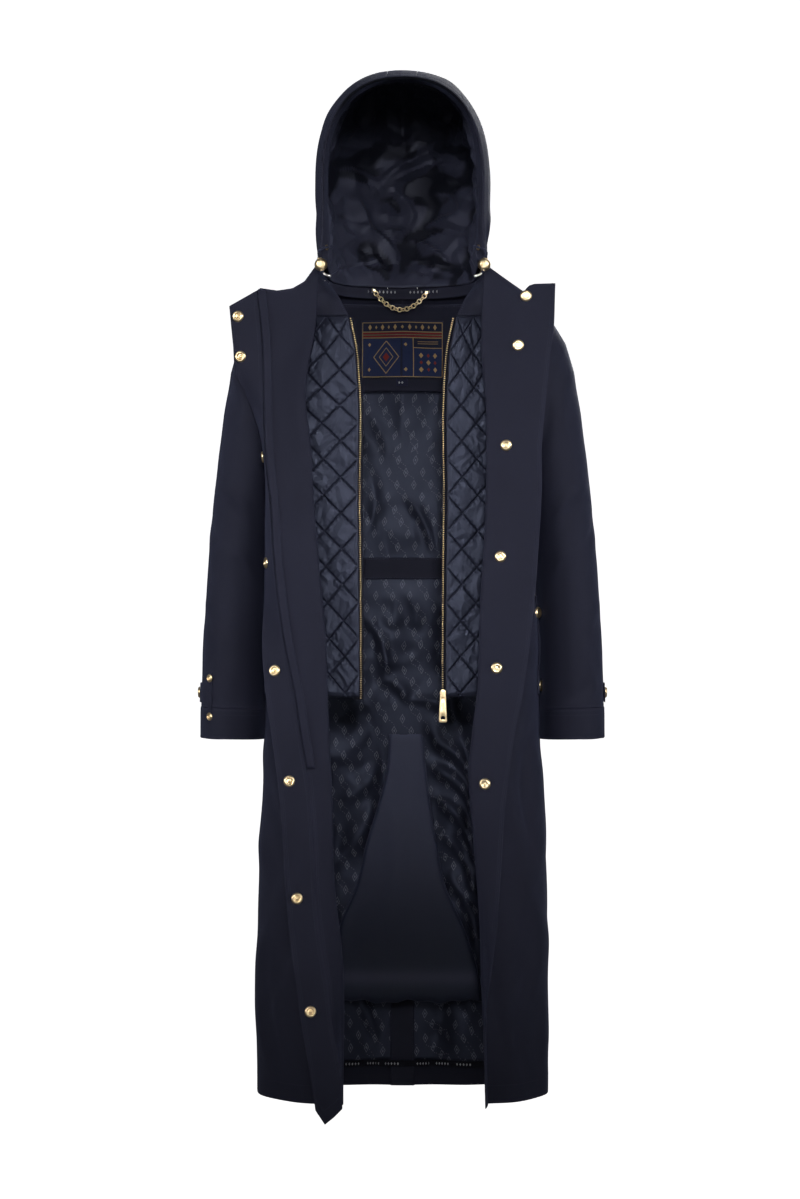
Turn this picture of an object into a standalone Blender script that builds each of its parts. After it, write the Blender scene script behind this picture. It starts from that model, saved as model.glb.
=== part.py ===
"""Hooded raincoat, worn open: the filled-out cloth shell with both fronts turned back,
its hood, quilted inner bibs, lining, vent gusset, zips, snaps and toggles.

The origin is the middle of the neck base. X runs to the wearer's left, -Y is the front
and Z is up. Every cloth piece is a wall on a grid of points, in rows from top to bottom
and in columns round the body, and each row is worked out from the tables below.
"""
import math

import bmesh
import bpy
import numpy as np
from mathutils import Vector

# ------------------------------------------------------------------ sizes in metres
SHELL = 0.0014          # wall of the outer cloth
LINING = 0.0010         # wall of the lining
SEAM = 0.0005           # space between two pieces at a seam
LAY = 0.0004            # space between a piece and the cloth that it lies on
TRIM = 0.0010           # wall of tapes and labels

SHOULDER_TIP = (0.2000, 0.0000, -0.0220)
NECK_SIDE = (0.1120, 0.0000, 0.0270)
NAPE = (0.0000, 0.0750, 0.0200)
NECK_FRONT_Z = 0.0430   # where the neckline meets the front's roll
NECK_FRONT_Y = -0.0880
UNDERARM = (0.1720, 0.0000, -0.2300)
ARMHOLE_DEPTH = 0.0860
ROLL = 0.0065           # radius of the roll where a front turns back
VENT_TOP = -0.6600
HEM_SIDE, HEM_FRONT, HEM_BACK = -1.1810, -1.1860, -1.1960
QUILT_WIDE, QUILT_HIGH = 0.0520, 0.0530
BIB_HEM = -0.5930


def table(columns, *rows):
    """A short table as its named columns."""
    return dict(zip(columns.split(), np.array(rows, float).T))


BODY = table(
    "z half_width front back",
    (-0.230, 0.1720, 0.122, 0.112),
    (-0.300, 0.1800, 0.123, 0.109),
    (-0.360, 0.1880, 0.124, 0.107),
    (-0.420, 0.1945, 0.125, 0.107),
    (-0.470, 0.1990, 0.126, 0.108),
    (-0.530, 0.2015, 0.127, 0.110),
    (-0.675, 0.2050, 0.130, 0.115),
    (-0.795, 0.2100, 0.132, 0.119),
    (-0.915, 0.2145, 0.134, 0.123),
    (-1.035, 0.2160, 0.136, 0.126),
    (-1.200, 0.2165, 0.138, 0.129),
)
# The inner line of each front, where it turns back on itself.
FOLD_LEFT = table(
    "z x",
    (0.045, 0.1180), (-0.033, 0.1156), (-0.106, 0.1170), (-0.148, 0.1214),
    (-0.254, 0.1229), (-0.353, 0.1208), (-0.431, 0.1156), (-0.510, 0.1126),
    (-0.574, 0.1104), (-0.646, 0.1024), (-0.697, 0.0974), (-0.747, 0.0995),
    (-0.797, 0.1039), (-0.909, 0.1112), (-1.040, 0.1137), (-1.200, 0.1190),
)
FOLD_RIGHT = table(
    "z x",
    (0.045, 0.1215), (-0.040, 0.1260), (-0.126, 0.1406), (-0.160, 0.1421),
    (-0.213, 0.1355), (-0.310, 0.1305), (-0.378, 0.1245), (-0.444, 0.1187),
    (-0.510, 0.1128), (-0.587, 0.1105), (-0.722, 0.1040), (-0.898, 0.0967),
    (-0.936, 0.0916), (-1.163, 0.0841), (-1.200, 0.0840),
)
# The free edge of the left front, and the zip line that ends the right one.
EDGE_LEFT = table(
    "z x y",
    (0.017, 0.2248, -0.100), (-0.052, 0.2215, -0.110), (-0.096, 0.2161, -0.115),
    (-0.159, 0.2100, -0.119), (-0.233, 0.2037, -0.122), (-0.274, 0.2041, -0.123),
    (-0.378, 0.1986, -0.124), (-0.470, 0.1912, -0.126), (-0.536, 0.1832, -0.128),
    (-0.600, 0.1737, -0.131), (-0.640, 0.1650, -0.134), (-0.716, 0.1533, -0.140),
    (-0.772, 0.1474, -0.145), (-0.822, 0.1445, -0.149), (-0.945, 0.1342, -0.160),
    (-1.009, 0.1254, -0.166), (-1.052, 0.1200, -0.170), (-1.200, 0.1195, -0.176),
)
ZIP_LINE = table(
    "z x y",
    (0.004, 0.2146, -0.110), (-0.067, 0.2071, -0.118), (-0.131, 0.2048, -0.121),
    (-0.195, 0.2039, -0.123), (-0.260, 0.1997, -0.125), (-0.300, 0.1952, -0.126),
    (-0.378, 0.1902, -0.127), (-0.457, 0.1822, -0.128), (-0.523, 0.1718, -0.129),
    (-0.587, 0.1586, -0.131), (-0.646, 0.1493, -0.133), (-0.722, 0.1367, -0.137),
    (-0.821, 0.1292, -0.143), (-0.884, 0.1267, -0.147), (-0.944, 0.1205, -0.151),
    (-1.014, 0.1090, -0.158), (-1.064, 0.1028, -0.164), (-1.102, 0.0951, -0.169),
    (-1.155, 0.0878, -0.175), (-1.200, 0.0870, -0.178),
)
# The free edge of the storm flap, which bends back towards the sleeve at the chest.
STORM_EDGE = table(
    "z x y",
    (-0.019, 0.2545, -0.105), (-0.077, 0.2487, -0.108), (-0.118, 0.2434, -0.106),
    (-0.142, 0.2327, -0.102), (-0.174, 0.2199, -0.094), (-0.238, 0.2048, -0.085),
    (-0.353, 0.2032, -0.086), (-0.440, 0.2035, -0.093), (-0.523, 0.2061, -0.108),
    (-0.574, 0.2017, -0.124), (-0.653, 0.1904, -0.137), (-0.722, 0.1810, -0.143),
    (-0.822, 0.1730, -0.150), (-0.944, 0.1625, -0.158), (-1.060, 0.1470, -0.168),
    (-1.130, 0.1350, -0.175), (-1.200, 0.1240, -0.180),
)
# How far each front's top edge dips below the neckline, along the turned-back part.
TOP_LEFT = table(
    "along dip", (0.0, 0.0), (0.27, -0.020), (0.55, -0.040), (0.60, -0.031),
    (0.70, -0.028), (1.0, -0.027),
)
TOP_RIGHT = table(
    "along dip", (0.0, 0.0), (0.20, -0.0245), (0.40, -0.035), (0.65, -0.0385),
    (0.93, -0.035), (1.0, -0.039),
)
SLEEVE = table(
    "outer_x outer_z inner_x inner_z depth",
    (0.2026, -0.0214, 0.1753, -0.2310, 0.086),
    (0.2260, -0.0380, 0.1780, -0.2360, 0.083),
    (0.2430, -0.0660, 0.1810, -0.2500, 0.080),
    (0.2560, -0.1100, 0.1850, -0.2750, 0.077),
    (0.2660, -0.1700, 0.1890, -0.3050, 0.073),
    (0.2750, -0.2400, 0.1945, -0.3450, 0.069),
    (0.2830, -0.3150, 0.2000, -0.3950, 0.065),
    (0.2895, -0.3900, 0.2050, -0.4500, 0.062),
    (0.2945, -0.4600, 0.2075, -0.5050, 0.060),
    (0.2985, -0.5300, 0.2090, -0.5550, 0.058),
    (0.3005, -0.6090, 0.2110, -0.6120, 0.056),
)
CUFF = table(
    "outer_x outer_z inner_x inner_z depth",
    (0.3013, -0.6096, 0.2104, -0.6126, 0.0568),
    (0.3017, -0.6340, 0.2104, -0.6355, 0.0566),
    (0.3020, -0.6560, 0.2110, -0.6575, 0.0562),
)
# Arches of the hood from its rim (turn 0) down to the back of the neck (turn 1). The
# sides rise over the first part, side, of the height, and the rest is a rounded top.
HOOD = table(
    "turn apex_y apex_z wide side power",
    (0.00, -0.118, 0.318, 0.1240, 0.41, 2.4),
    (0.15, -0.055, 0.336, 0.1325, 0.41, 2.4),
    (0.30, 0.012, 0.336, 0.1345, 0.40, 2.4),
    (0.45, 0.072, 0.315, 0.1335, 0.37, 2.3),
    (0.60, 0.118, 0.268, 0.1310, 0.32, 2.3),
    (0.72, 0.138, 0.205, 0.1280, 0.25, 2.2),
    (0.84, 0.130, 0.125, 0.1220, 0.15, 2.2),
    (0.93, 0.103, 0.060, 0.1160, 0.05, 2.2),
    (1.00, 0.075, 0.020, 0.1120, 0.00, 2.2),
)
# The bibs hang behind the folds: their zip edge, and how far they tuck in past the fold.
BIB = table(
    "z inner_x tuck inner_y outer_y",
    (-0.030, 0.0800, 0.0030, -0.074, -0.064),
    (-0.080, 0.0700, 0.0040, -0.078, -0.068),
    (-0.130, 0.0660, 0.0060, -0.080, -0.071),
    (-0.300, 0.0655, 0.0120, -0.084, -0.075),
    (-0.440, 0.0640, 0.0170, -0.090, -0.082),
    (-0.593, 0.0635, 0.0190, -0.094, -0.086),
)
YOKE_FOOT = 0.0006      # between a bib and the plain yoke above it
GUSSET = table(
    "z left right y",
    (-0.6550, 0.0150, 0.0260, 0.083),
    (-0.7100, 0.0190, 0.0310, 0.081),
    (-0.7650, 0.0330, 0.0380, 0.080),
    (-0.8200, 0.0500, 0.0470, 0.079),
    (-0.8850, 0.0650, 0.0600, 0.078),
    (-0.9540, 0.0920, 0.0900, 0.078),
    (-1.0100, 0.0930, 0.1080, 0.079),
    (-1.0600, 0.0920, 0.1160, 0.080),
)


# ------------------------------------------------------------------ working out points
def smooth(tab, column, at, key="z"):
    """A column's value at each place of the key column, on a curve through the rows."""
    x, y = tab[key], tab[column]
    if x[0] > x[-1]:
        x, y = x[::-1], y[::-1]
    slope = np.gradient(y, x)
    at = np.clip(at, x[0], x[-1])
    i = np.clip(np.searchsorted(x, at) - 1, 0, len(x) - 2)
    h = x[i + 1] - x[i]
    t = (at - x[i]) / h
    return (
        (2 * t**3 - 3 * t**2 + 1) * y[i] + (t**3 - 2 * t**2 + t) * h * slope[i]
        + (3 * t**2 - 2 * t**3) * y[i + 1] + (t**3 - t**2) * h * slope[i + 1]
    )


def line(a, b, count):
    return np.linspace(a, b, count)


def along(points, fractions):
    """The points at these fractions of a line's length."""
    points = np.asarray(points, float)
    run = np.concatenate([[0], np.cumsum(np.linalg.norm(np.diff(points, axis=0), axis=1))])
    at = np.asarray(fractions) * run[-1]
    return np.stack([np.interp(at, run, points[:, k]) for k in range(3)], axis=1)


def coons(top, bottom, left, right):
    """A patch between four edge lines: rows run from top to bottom."""
    u = np.linspace(0, 1, len(top))[None, :, None]
    v = np.linspace(0, 1, len(left))[:, None, None]
    ruled = (1 - v) * top[None] + v * bottom[None] + (1 - u) * left[:, None] + u * right[:, None]
    corners = (
        (1 - u) * (1 - v) * top[0] + u * (1 - v) * top[-1]
        + (1 - u) * v * bottom[0] + u * v * bottom[-1]
    )
    return ruled - corners


def sampled(grid, v, u):
    """Points of a grid at fractions v of its rows and u of its columns."""
    rows, columns = grid.shape[0] - 1, grid.shape[1] - 1
    a = np.clip(np.asarray(v, float) * rows, 0, rows - 1e-9)
    b = np.clip(np.asarray(u, float) * columns, 0, columns - 1e-9)
    i, j = a.astype(int), b.astype(int)
    s, t = (a - i)[..., None], (b - j)[..., None]
    return (
        (1 - s) * (1 - t) * grid[i, j] + (1 - s) * t * grid[i, j + 1]
        + s * (1 - t) * grid[i + 1, j] + s * t * grid[i + 1, j + 1]
    )


def normals(grid):
    """Unit normals of a grid of points, by its rows and columns."""
    across = np.gradient(grid, axis=1)
    down = np.gradient(grid, axis=0)
    n = np.cross(across, down)
    return n / np.maximum(np.linalg.norm(n, axis=2, keepdims=True), 1e-12)


def mirrored(grid):
    return grid * np.array([-1.0, 1.0, 1.0])


def waves(z, along_row, top, bottom, depth, count, phase):
    """Skirt folds that grow from nothing at the top to their depth at the bottom."""
    grow = np.clip((top - z) / (top - bottom), 0, 1) ** 1.4
    window = np.sin(np.pi * np.clip(along_row, 0, 1)) ** 0.7
    drift = 0.8 * np.sin(3.1 * z + phase)
    return depth * grow * window * np.sin(2 * np.pi * count * along_row + phase + drift)


def half_section(z, depth, power, end_x, count):
    """A body row in plan from the side seam round to where x is end_x."""
    width = smooth(BODY, "half_width", z)
    last = math.acos(min(1.0, max(0.0, end_x / width)) ** (power / 2))
    t = np.linspace(0, last, 160)
    x = width * np.cos(t) ** (2 / power)
    y = depth * np.sin(t) ** (2 / power)
    row = np.stack([x, y, np.full_like(x, z)], axis=1)
    return along(row, np.linspace(0, 1, count))


def armhole(turn, towards):
    """Points of the armhole from the shoulder tip (turn 0) to the underarm (turn 1)."""
    tip, arm = np.array(SHOULDER_TIP), np.array(UNDERARM)
    middle, half = (tip + arm) / 2, (tip - arm) / 2
    a = np.pi * np.asarray(turn)[:, None]
    side = np.array([0.0, towards * ARMHOLE_DEPTH, 0.0])
    return middle + np.cos(a) * half + np.sin(a) * side


def neck_back(t):
    """The back neckline from the neck side (t 0) to the nape (t 1)."""
    a = np.asarray(t) * np.pi / 2
    power = 2.2
    x = NECK_SIDE[0] * np.cos(a) ** (2 / power)
    y = NAPE[1] * np.sin(a) ** (2 / power)
    z = NECK_SIDE[2] + (NAPE[2] - NECK_SIDE[2]) * y / NAPE[1]
    return np.stack([x, y, z], axis=1)


def neck_front(t, fold):
    """The front neckline from the neck side (t 0) to the roll of the front (t 1)."""
    t = np.asarray(t)[:, None]
    end = np.array([smooth(fold, "x", NECK_FRONT_Z) + 0.006, NECK_FRONT_Y, NECK_FRONT_Z])
    bulge = np.array([0.004, 0.0, -0.004]) * np.sin(np.pi * t)
    return (1 - t) * np.array(NECK_SIDE) + t * end + bulge


def shoulder(count):
    t = np.linspace(0, 1, count)[:, None]
    rise = np.array([0.0, 0.0, 0.003]) * np.sin(np.pi * t)
    return (1 - t) * np.array(SHOULDER_TIP) + t * np.array(NECK_SIDE) + rise


UPPER, LOWER, ACROSS = 41, 121, 61   # rows and columns of the worked-out surfaces
ARM_ROWS = 0.22                       # share of the rows that lie above the underarm


def rows_of(v):
    """Splits v, from 0 at the neckline to 1 at the hem, at the underarm's row."""
    v = np.asarray(v, float)
    return v < ARM_ROWS, v / ARM_ROWS, (v - ARM_ROWS) / (1 - ARM_ROWS)


def body_points(upper, lower, v, u):
    above, v_up, v_low = rows_of(v)
    return np.where(above[..., None], sampled(upper, v_up, u), sampled(lower, v_low, u))


def back_surface():
    """The left half of the back, from the armhole and side seam to the centre line."""
    half = ACROSS // 2 + 1
    top = np.concatenate([shoulder(half), along(neck_back(line(0, 1, 80)), line(0, 1, half))[1:]])
    low = half_section(UNDERARM[2], smooth(BODY, "back", UNDERARM[2]), 2.4, 0.0, ACROSS)
    t = np.linspace(0, 1, UPPER)
    centre_y = np.interp(t, (0, 0.1, 0.3, 0.6, 1), (0.075, 0.083, 0.099, 0.110, low[-1, 1]))
    centre = np.stack([0 * t, centre_y, NAPE[2] + (UNDERARM[2] - NAPE[2]) * t], axis=1)
    upper = coons(top, low, armhole(t, 1), centre)
    lower = []
    for w in np.linspace(0, 1, LOWER):
        z = UNDERARM[2] + (HEM_BACK - UNDERARM[2]) * w
        row = half_section(z, smooth(BODY, "back", z), 2.4, 0.0, ACROSS)
        share = np.linspace(0, 1, ACROSS)
        push = waves(z, share, -0.50, -1.19, 0.0065, 2.5, 0.6)
        row[:, 1] += push * np.sqrt(share)
        row[:, 2] += w * (HEM_SIDE - HEM_BACK) * (1 - share) ** 2
        lower.append(row)
    return upper, np.array(lower)


def front_surface(fold, phase):
    """One front from the armhole and side seam to the start of its roll."""
    half = ACROSS // 2 + 1
    neck = along(neck_front(line(0, 1, 80), fold), line(0, 1, half))
    top = np.concatenate([shoulder(half), neck[1:]])

    def roll_x(z):
        return smooth(fold, "x", z) + 0.006

    z0 = UNDERARM[2]
    low = half_section(z0, -smooth(BODY, "front", z0), 2.8, roll_x(z0), ACROSS)
    t = np.linspace(0, 1, UPPER)
    z = NECK_FRONT_Z + (z0 - NECK_FRONT_Z) * t
    y = NECK_FRONT_Y + (low[-1, 1] - NECK_FRONT_Y) * t
    upper = coons(top, low, armhole(t, -1), np.stack([roll_x(z), y, z], axis=1))
    lower = []
    for w in np.linspace(0, 1, LOWER):
        z = z0 + (HEM_FRONT - z0) * w
        row = half_section(z, -smooth(BODY, "front", z), 2.8, roll_x(z), ACROSS)
        share = np.linspace(0, 1, ACROSS)
        row[:, 1] -= waves(z, share, -0.56, -1.18, 0.0075, 1.5, phase) * np.sqrt(share)
        row[:, 2] += w * (HEM_SIDE - HEM_FRONT) * (1 - share) ** 2
        lower.append(row)
    return upper, np.array(lower)


def bezier(a, b, c, d, t):
    t = np.asarray(t)[:, None]
    return (1 - t) ** 3 * a + 3 * t * (1 - t) ** 2 * b + 3 * t**2 * (1 - t) * c + t**3 * d


def front_grid(surface, edge, top, v, u, roll, flap):
    """A whole front: its body columns at u, the roll at its fractions and then the part
    that is turned back, out to its free edge, at the fractions flap."""
    upper, lower = surface
    rows = []
    for at in v:
        body = body_points(upper, lower, np.full(len(u), at), np.array(u))
        before = body_points(upper, lower, np.array([at]), np.array([0.94]))[0]
        start = body[-1]
        heading = (start - before) / np.linalg.norm(start - before)
        level = start[2]
        fade = np.clip(1 - at / (0.75 * ARM_ROWS), 0, 1) ** 1.5
        dip = np.interp(flap, top["along"], top["dip"]) * fade
        z_end = level + dip[-1]
        end = np.array([smooth(edge, "x", z_end), smooth(edge, "y", z_end), level])
        begin = start + np.array([-0.001, -2 * ROLL, 0.0])
        run = (end - begin) / np.linalg.norm(end - begin)
        handle = 4 / 3 * ROLL
        turn = bezier(start, start + heading * handle, begin - run * handle, begin, roll)
        s = np.array(flap)[:, None]
        back = begin + (end - begin) * s
        back[:, 1] -= 0.0025 * np.sin(np.pi * np.array(flap))
        back[:, 2] += dip
        rows.append(np.concatenate([body, turn, back]))
    return np.array(rows)


def hood_arch(turn, count, base_fold):
    """One arch of the hood's left half, from the neckline up to the middle."""
    base = neck_front([1 - turn], base_fold)[0]
    if turn > 0.999:
        base = np.array(NECK_SIDE)
    apex_y, apex_z, wide, side, power = (
        float(smooth(HOOD, c, turn, "turn")) for c in ("apex_y", "apex_z", "wide", "side", "power")
    )
    side = max(side, 0.0)
    t = np.linspace(0, 1, 160)
    low = t < 0.3
    share = np.where(low, t / 0.3 * side, 0.0)
    a = np.clip((t - 0.3) / 0.7, 0, 1) * np.pi / 2
    h = np.where(low, share, side + (1 - side) * np.sin(a) ** (2 / power))
    rise = base[0] + (wide - base[0]) * np.sin(np.pi / 2 * np.clip(t / 0.3, 0, 1))
    x = np.where(low, rise, wide * np.cos(a) ** (2 / power))
    y = base[1] + (apex_y - base[1]) * h
    z = base[2] + (apex_z - base[2]) * h
    if turn > 0.999:
        return along(neck_back(t), np.linspace(0, 1, count))
    return along(np.stack([x, y, z], axis=1), np.linspace(0, 1, count))


def hood_surface(fold, rows=61, columns=61):
    """The left half of the hood: rows of arches from the rim to the nape."""
    turns = np.linspace(0, 1, rows)
    return np.array([hood_arch(t, columns, fold) for t in turns])


def ring(tab, at, out=0.0, count=16, start=0.0, stop=None):
    """Closed rings, or arcs from start to stop, round a sleeve at rows at of its table."""
    rows = []
    index = np.arange(len(tab["depth"]), dtype=float)
    if stop is None:
        angles = np.linspace(0, 2 * np.pi, count, endpoint=False)
    else:
        angles = np.linspace(start, stop, count)
    for i in at:
        ox, oz, ix, iz, depth = (
            np.interp(i, index, tab[c])
            for c in ("outer_x", "outer_z", "inner_x", "inner_z", "depth")
        )
        outer, inner = np.array([ox, 0, oz]), np.array([ix, 0, iz])
        middle, half = (outer + inner) / 2, (outer - inner) / 2
        half = half * (1 + out / np.linalg.norm(half))
        a = angles[:, None]
        rows.append(middle + np.cos(a) * half - np.sin(a) * np.array([0, depth + out, 0]))
    return np.array(rows)


# ------------------------------------------------------------------ making objects
def look(name, colour, roughness, metallic=0.0):
    made = bpy.data.materials.new(name)
    made.use_nodes = True
    shader = made.node_tree.nodes["Principled BSDF"]
    shader.inputs["Base Color"].default_value = (*colour, 1)
    shader.inputs["Roughness"].default_value = roughness
    shader.inputs["Metallic"].default_value = metallic
    made.diffuse_color = (*colour, 1)
    return made


def added(name, mesh, material):
    made = bpy.data.objects.new(name, mesh)
    COAT.objects.link(made)
    mesh.materials.append(material)
    return made


def smoothed(mesh, angle=50):
    mesh.shade_smooth()
    mesh.set_sharp_from_angle(angle=math.radians(angle))


def grid_mesh(name, grid, out, at=(0.5, 0.25), closed=False):
    """A surface on a grid of points whose faces look along out at the place at."""
    count, columns = grid.shape[:2]
    shape = bmesh.new()
    points = [[shape.verts.new(p) for p in row] for row in grid]
    last = columns if closed else columns - 1
    row = min(int(at[0] * (count - 1)), count - 2)
    column = min(int(at[1] * (columns - 1)), columns - 2)
    a, b, c = grid[row, column], grid[row, column + 1], grid[row + 1, column]
    forward = np.dot(np.cross(b - a, c - a), out) > 0
    for i in range(count - 1):
        for j in range(last):
            k = (j + 1) % columns
            corners = [points[i][j], points[i][k], points[i + 1][k], points[i + 1][j]]
            shape.faces.new(corners if forward else corners[::-1])
    mesh = bpy.data.meshes.new(name)
    shape.to_mesh(mesh)
    shape.free()
    return mesh


def shell(name, grid, wall, material, out, at=(0.5, 0.25), closed=False):
    """A cloth wall: the grid is one face of it, and it thickens to the side out."""
    mesh = grid_mesh(name, grid, out, at, closed)
    smoothed(mesh)
    made = added(name, mesh, material)
    solid = made.modifiers.new("Wall", "SOLIDIFY")
    solid.thickness = wall
    solid.offset = 1.0
    return made


def padded(name, inside, outside, material, cuts):
    """A quilted wall between a plain grid and a raised one, closed by its rim."""
    shape = bmesh.new()
    count, columns = inside.shape[:2]
    below = [[shape.verts.new(p) for p in row] for row in inside]
    above = [[shape.verts.new(p) for p in row] for row in outside]
    for i in range(count - 1):
        for j in range(columns - 1):
            q = [above[i][j], above[i][j + 1], above[i + 1][j + 1], above[i + 1][j]]
            if not cuts(i, j):
                q = q[1:] + q[:1]
            shape.faces.new([q[0], q[1], q[2]])
            shape.faces.new([q[0], q[2], q[3]])
        top = below[i] if i == 0 else [below[i][0], below[i][-1]]
        low = below[i + 1] if i == count - 2 else [below[i + 1][0], below[i + 1][-1]]
        shape.faces.new(top + low[::-1])
    rim = (
        [(i, 0) for i in range(count)] + [(count - 1, j) for j in range(1, columns)]
        + [(i, columns - 1) for i in range(count - 2, -1, -1)]
        + [(0, j) for j in range(columns - 2, 0, -1)]
    )
    for (i, j), (k, m) in zip(rim, rim[1:] + rim[:1]):
        shape.faces.new([below[i][j], below[k][m], above[k][m], above[i][j]])
    loose = [v for v in shape.verts if not v.link_faces]
    bmesh.ops.delete(shape, geom=loose, context="VERTS")
    bmesh.ops.recalc_face_normals(shape, faces=shape.faces)
    mesh = bpy.data.meshes.new(name)
    shape.to_mesh(mesh)
    shape.free()
    smoothed(mesh, 70)
    return added(name, mesh, material)


def turned(name, profile, place, facing, material, steps=12, ring_shape=False):
    """A turned piece: its profile, in radius and height, goes round the facing axis."""
    mesh = bpy.data.meshes.new(name)
    count = len(profile)
    edges = [(i, i + 1) for i in range(count - 1)] + ([(count - 1, 0)] if ring_shape else [])
    mesh.from_pydata([(r, 0, h) for r, h in profile], edges, [])
    made = added(name, mesh, material)
    screw = made.modifiers.new("Turned", "SCREW")
    screw.steps = screw.render_steps = steps
    screw.use_merge_vertices = not ring_shape
    screw.merge_threshold = 0.00001
    screw.use_smooth_shade = True
    if ring_shape:
        weld = made.modifiers.new("Join", "WELD")
        weld.merge_threshold = 0.00001
    made.location = place
    made.rotation_mode = "QUATERNION"
    made.rotation_quaternion = Vector(facing).to_track_quat("Z", "Y")
    return made


def cord(name, points, radius, material):
    """A round cord through these points."""
    path = bpy.data.curves.new(name, "CURVE")
    path.dimensions = "3D"
    path.bevel_depth = radius
    path.bevel_resolution = 2
    path.use_fill_caps = True
    spline = path.splines.new("POLY")
    spline.points.add(len(points) - 1)
    for point, place in zip(spline.points, points):
        point.co = (*place, 1)
    spline.use_smooth = True
    made = bpy.data.objects.new(name, path)
    COAT.objects.link(made)
    path.materials.append(material)
    return made


def rounded(points, count):
    """A smooth line through a route's own points."""
    points = np.asarray(points, float)
    t = np.concatenate([[0], np.cumsum(np.linalg.norm(np.diff(points, axis=0), axis=1))])
    at = np.linspace(0, t[-1], count * 8)
    route = {"s": t, "x": points[:, 0], "y": points[:, 1], "z": points[:, 2]}
    fine = np.stack([smooth(route, c, at, "s") for c in "xyz"], axis=1)
    return along(fine, np.linspace(0, 1, count))


# ------------------------------------------------------------------ the scene
for old in list(bpy.data.objects):
    bpy.data.objects.remove(old, do_unlink=True)
COAT = bpy.data.collections.new("hooded_raincoat")
CUTTERS = bpy.data.collections.new("cutters")
bpy.context.scene.collection.children.link(COAT)
bpy.context.scene.collection.children.link(CUTTERS)

NAVY = look("shell_navy", (0.012, 0.014, 0.028), 0.62)
FACING = look("facing_navy", (0.014, 0.016, 0.030), 0.66)
SATIN = look("hood_satin", (0.008, 0.011, 0.030), 0.32)
PRINTED = look("printed_lining", (0.016, 0.019, 0.034), 0.48)
QUILT = look("quilted_nylon", (0.014, 0.018, 0.036), 0.40)
TAPE = look("tape_navy", (0.006, 0.007, 0.012), 0.75)
WOVEN = look("woven_label", (0.020, 0.022, 0.045), 0.70)
GOLD = look("light_gold", (0.83, 0.66, 0.38), 0.26, 1.0)
CORD = look("drawcord_navy", (0.010, 0.012, 0.022), 0.8)

FRONT_OUT, BACK_OUT = (0, -1, 0), (0, 1, 0)

# ------------------------------------------------------------------ back
BACK = back_surface()
ROW_V = np.concatenate([line(0, ARM_ROWS, 7)[:-1], line(ARM_ROWS, 1, 14)])
BACK_U = line(0, 1, 9)


def back_points(v, u):
    """Points of the back at v down it and u from a side (0 or 2) to the centre (1)."""
    u = np.asarray(u, float)
    left = body_points(*BACK, v, np.where(u > 1, 2 - u, u))
    left[..., 0] *= np.where(u > 1, -1, 1)
    return left


def back_grid(v, u):
    return back_points(*np.meshgrid(v, u, indexing="ij"))


def seam_gap(grid, side_y, centre):
    """Parts a panel from its neighbours at the side and shoulder seams and the centre."""
    grid = grid.copy()
    grid[:, 0, 1] += side_y
    grid[0, :, 1] += side_y
    if centre:
        grid[:, -1, 0] += centre
    return grid


half_back = seam_gap(back_grid(ROW_V, BACK_U), SEAM / 2 + 0.0002, 0.0)
half_back[:, -1, 0] = 0.0008
shell("back_left", half_back, SHELL, NAVY, BACK_OUT, (0.5, 0.8))
shell("back_right", mirrored(half_back), SHELL, NAVY, BACK_OUT, (0.5, 0.8))

DENSE_V, DENSE_U = line(0, 1, 161), line(0, 2, 121)
BACK_DENSE = back_grid(DENSE_V, DENSE_U)
BACK_NORMAL = normals(BACK_DENSE)
if BACK_NORMAL[80, 60, 1] < 0:
    BACK_NORMAL = -BACK_NORMAL


def on_back(x, z, inside):
    """Points at x and z on the back's inner side, moved in from it by inside."""
    x, z = np.broadcast_arrays(np.asarray(x, float), np.asarray(z, float))
    flat = BACK_DENSE.reshape(-1, 3)
    far = (flat[None, :, 0] - x.ravel()[:, None]) ** 2 + (flat[None, :, 2] - z.ravel()[:, None]) ** 2
    near = far.argmin(axis=1)
    v = DENSE_V[near // len(DENSE_U)]
    u = DENSE_U[near % len(DENSE_U)]
    step = 0.002
    for _ in range(8):
        here = back_points(v, u)
        dv = (back_points(np.minimum(v + step, 1), u) - back_points(np.maximum(v - step, 0), u))
        dv /= (np.minimum(v + step, 1) - np.maximum(v - step, 0))[:, None]
        du = (back_points(v, np.minimum(u + step, 2)) - back_points(v, np.maximum(u - step, 0)))
        du /= (np.minimum(u + step, 2) - np.maximum(u - step, 0))[:, None]
        ex, ez = x.ravel() - here[:, 0], z.ravel() - here[:, 2]
        det = dv[:, 0] * du[:, 2] - dv[:, 2] * du[:, 0]
        det = np.where(np.abs(det) < 1e-9, 1e-9, det)
        v = np.clip(v + 0.8 * (ex * du[:, 2] - ez * du[:, 0]) / det, 0, 1)
        u = np.clip(u + 0.8 * (dv[:, 0] * ez - dv[:, 2] * ex) / det, 0, 2)
    place = back_points(v, u)
    normal = sampled(BACK_NORMAL, v, u / 2)
    moved = place - normal * np.broadcast_to(inside, x.shape).ravel()[:, None]
    return moved.reshape(*x.shape, 3)


# ------------------------------------------------------------------ fronts
LEFT = front_surface(FOLD_LEFT, 0.3)
RIGHT = front_surface(FOLD_RIGHT, 1.4)
FRONT_U = line(0, 1, 9)
ROLL_S = (0.25, 0.5, 0.75)
LEFT_FLAP = (0.0, 0.30, 0.55, 0.60, 0.80, 1.0)
RIGHT_FLAP = (0.0, 0.25, 0.5, 0.75, 1.0)

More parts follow.
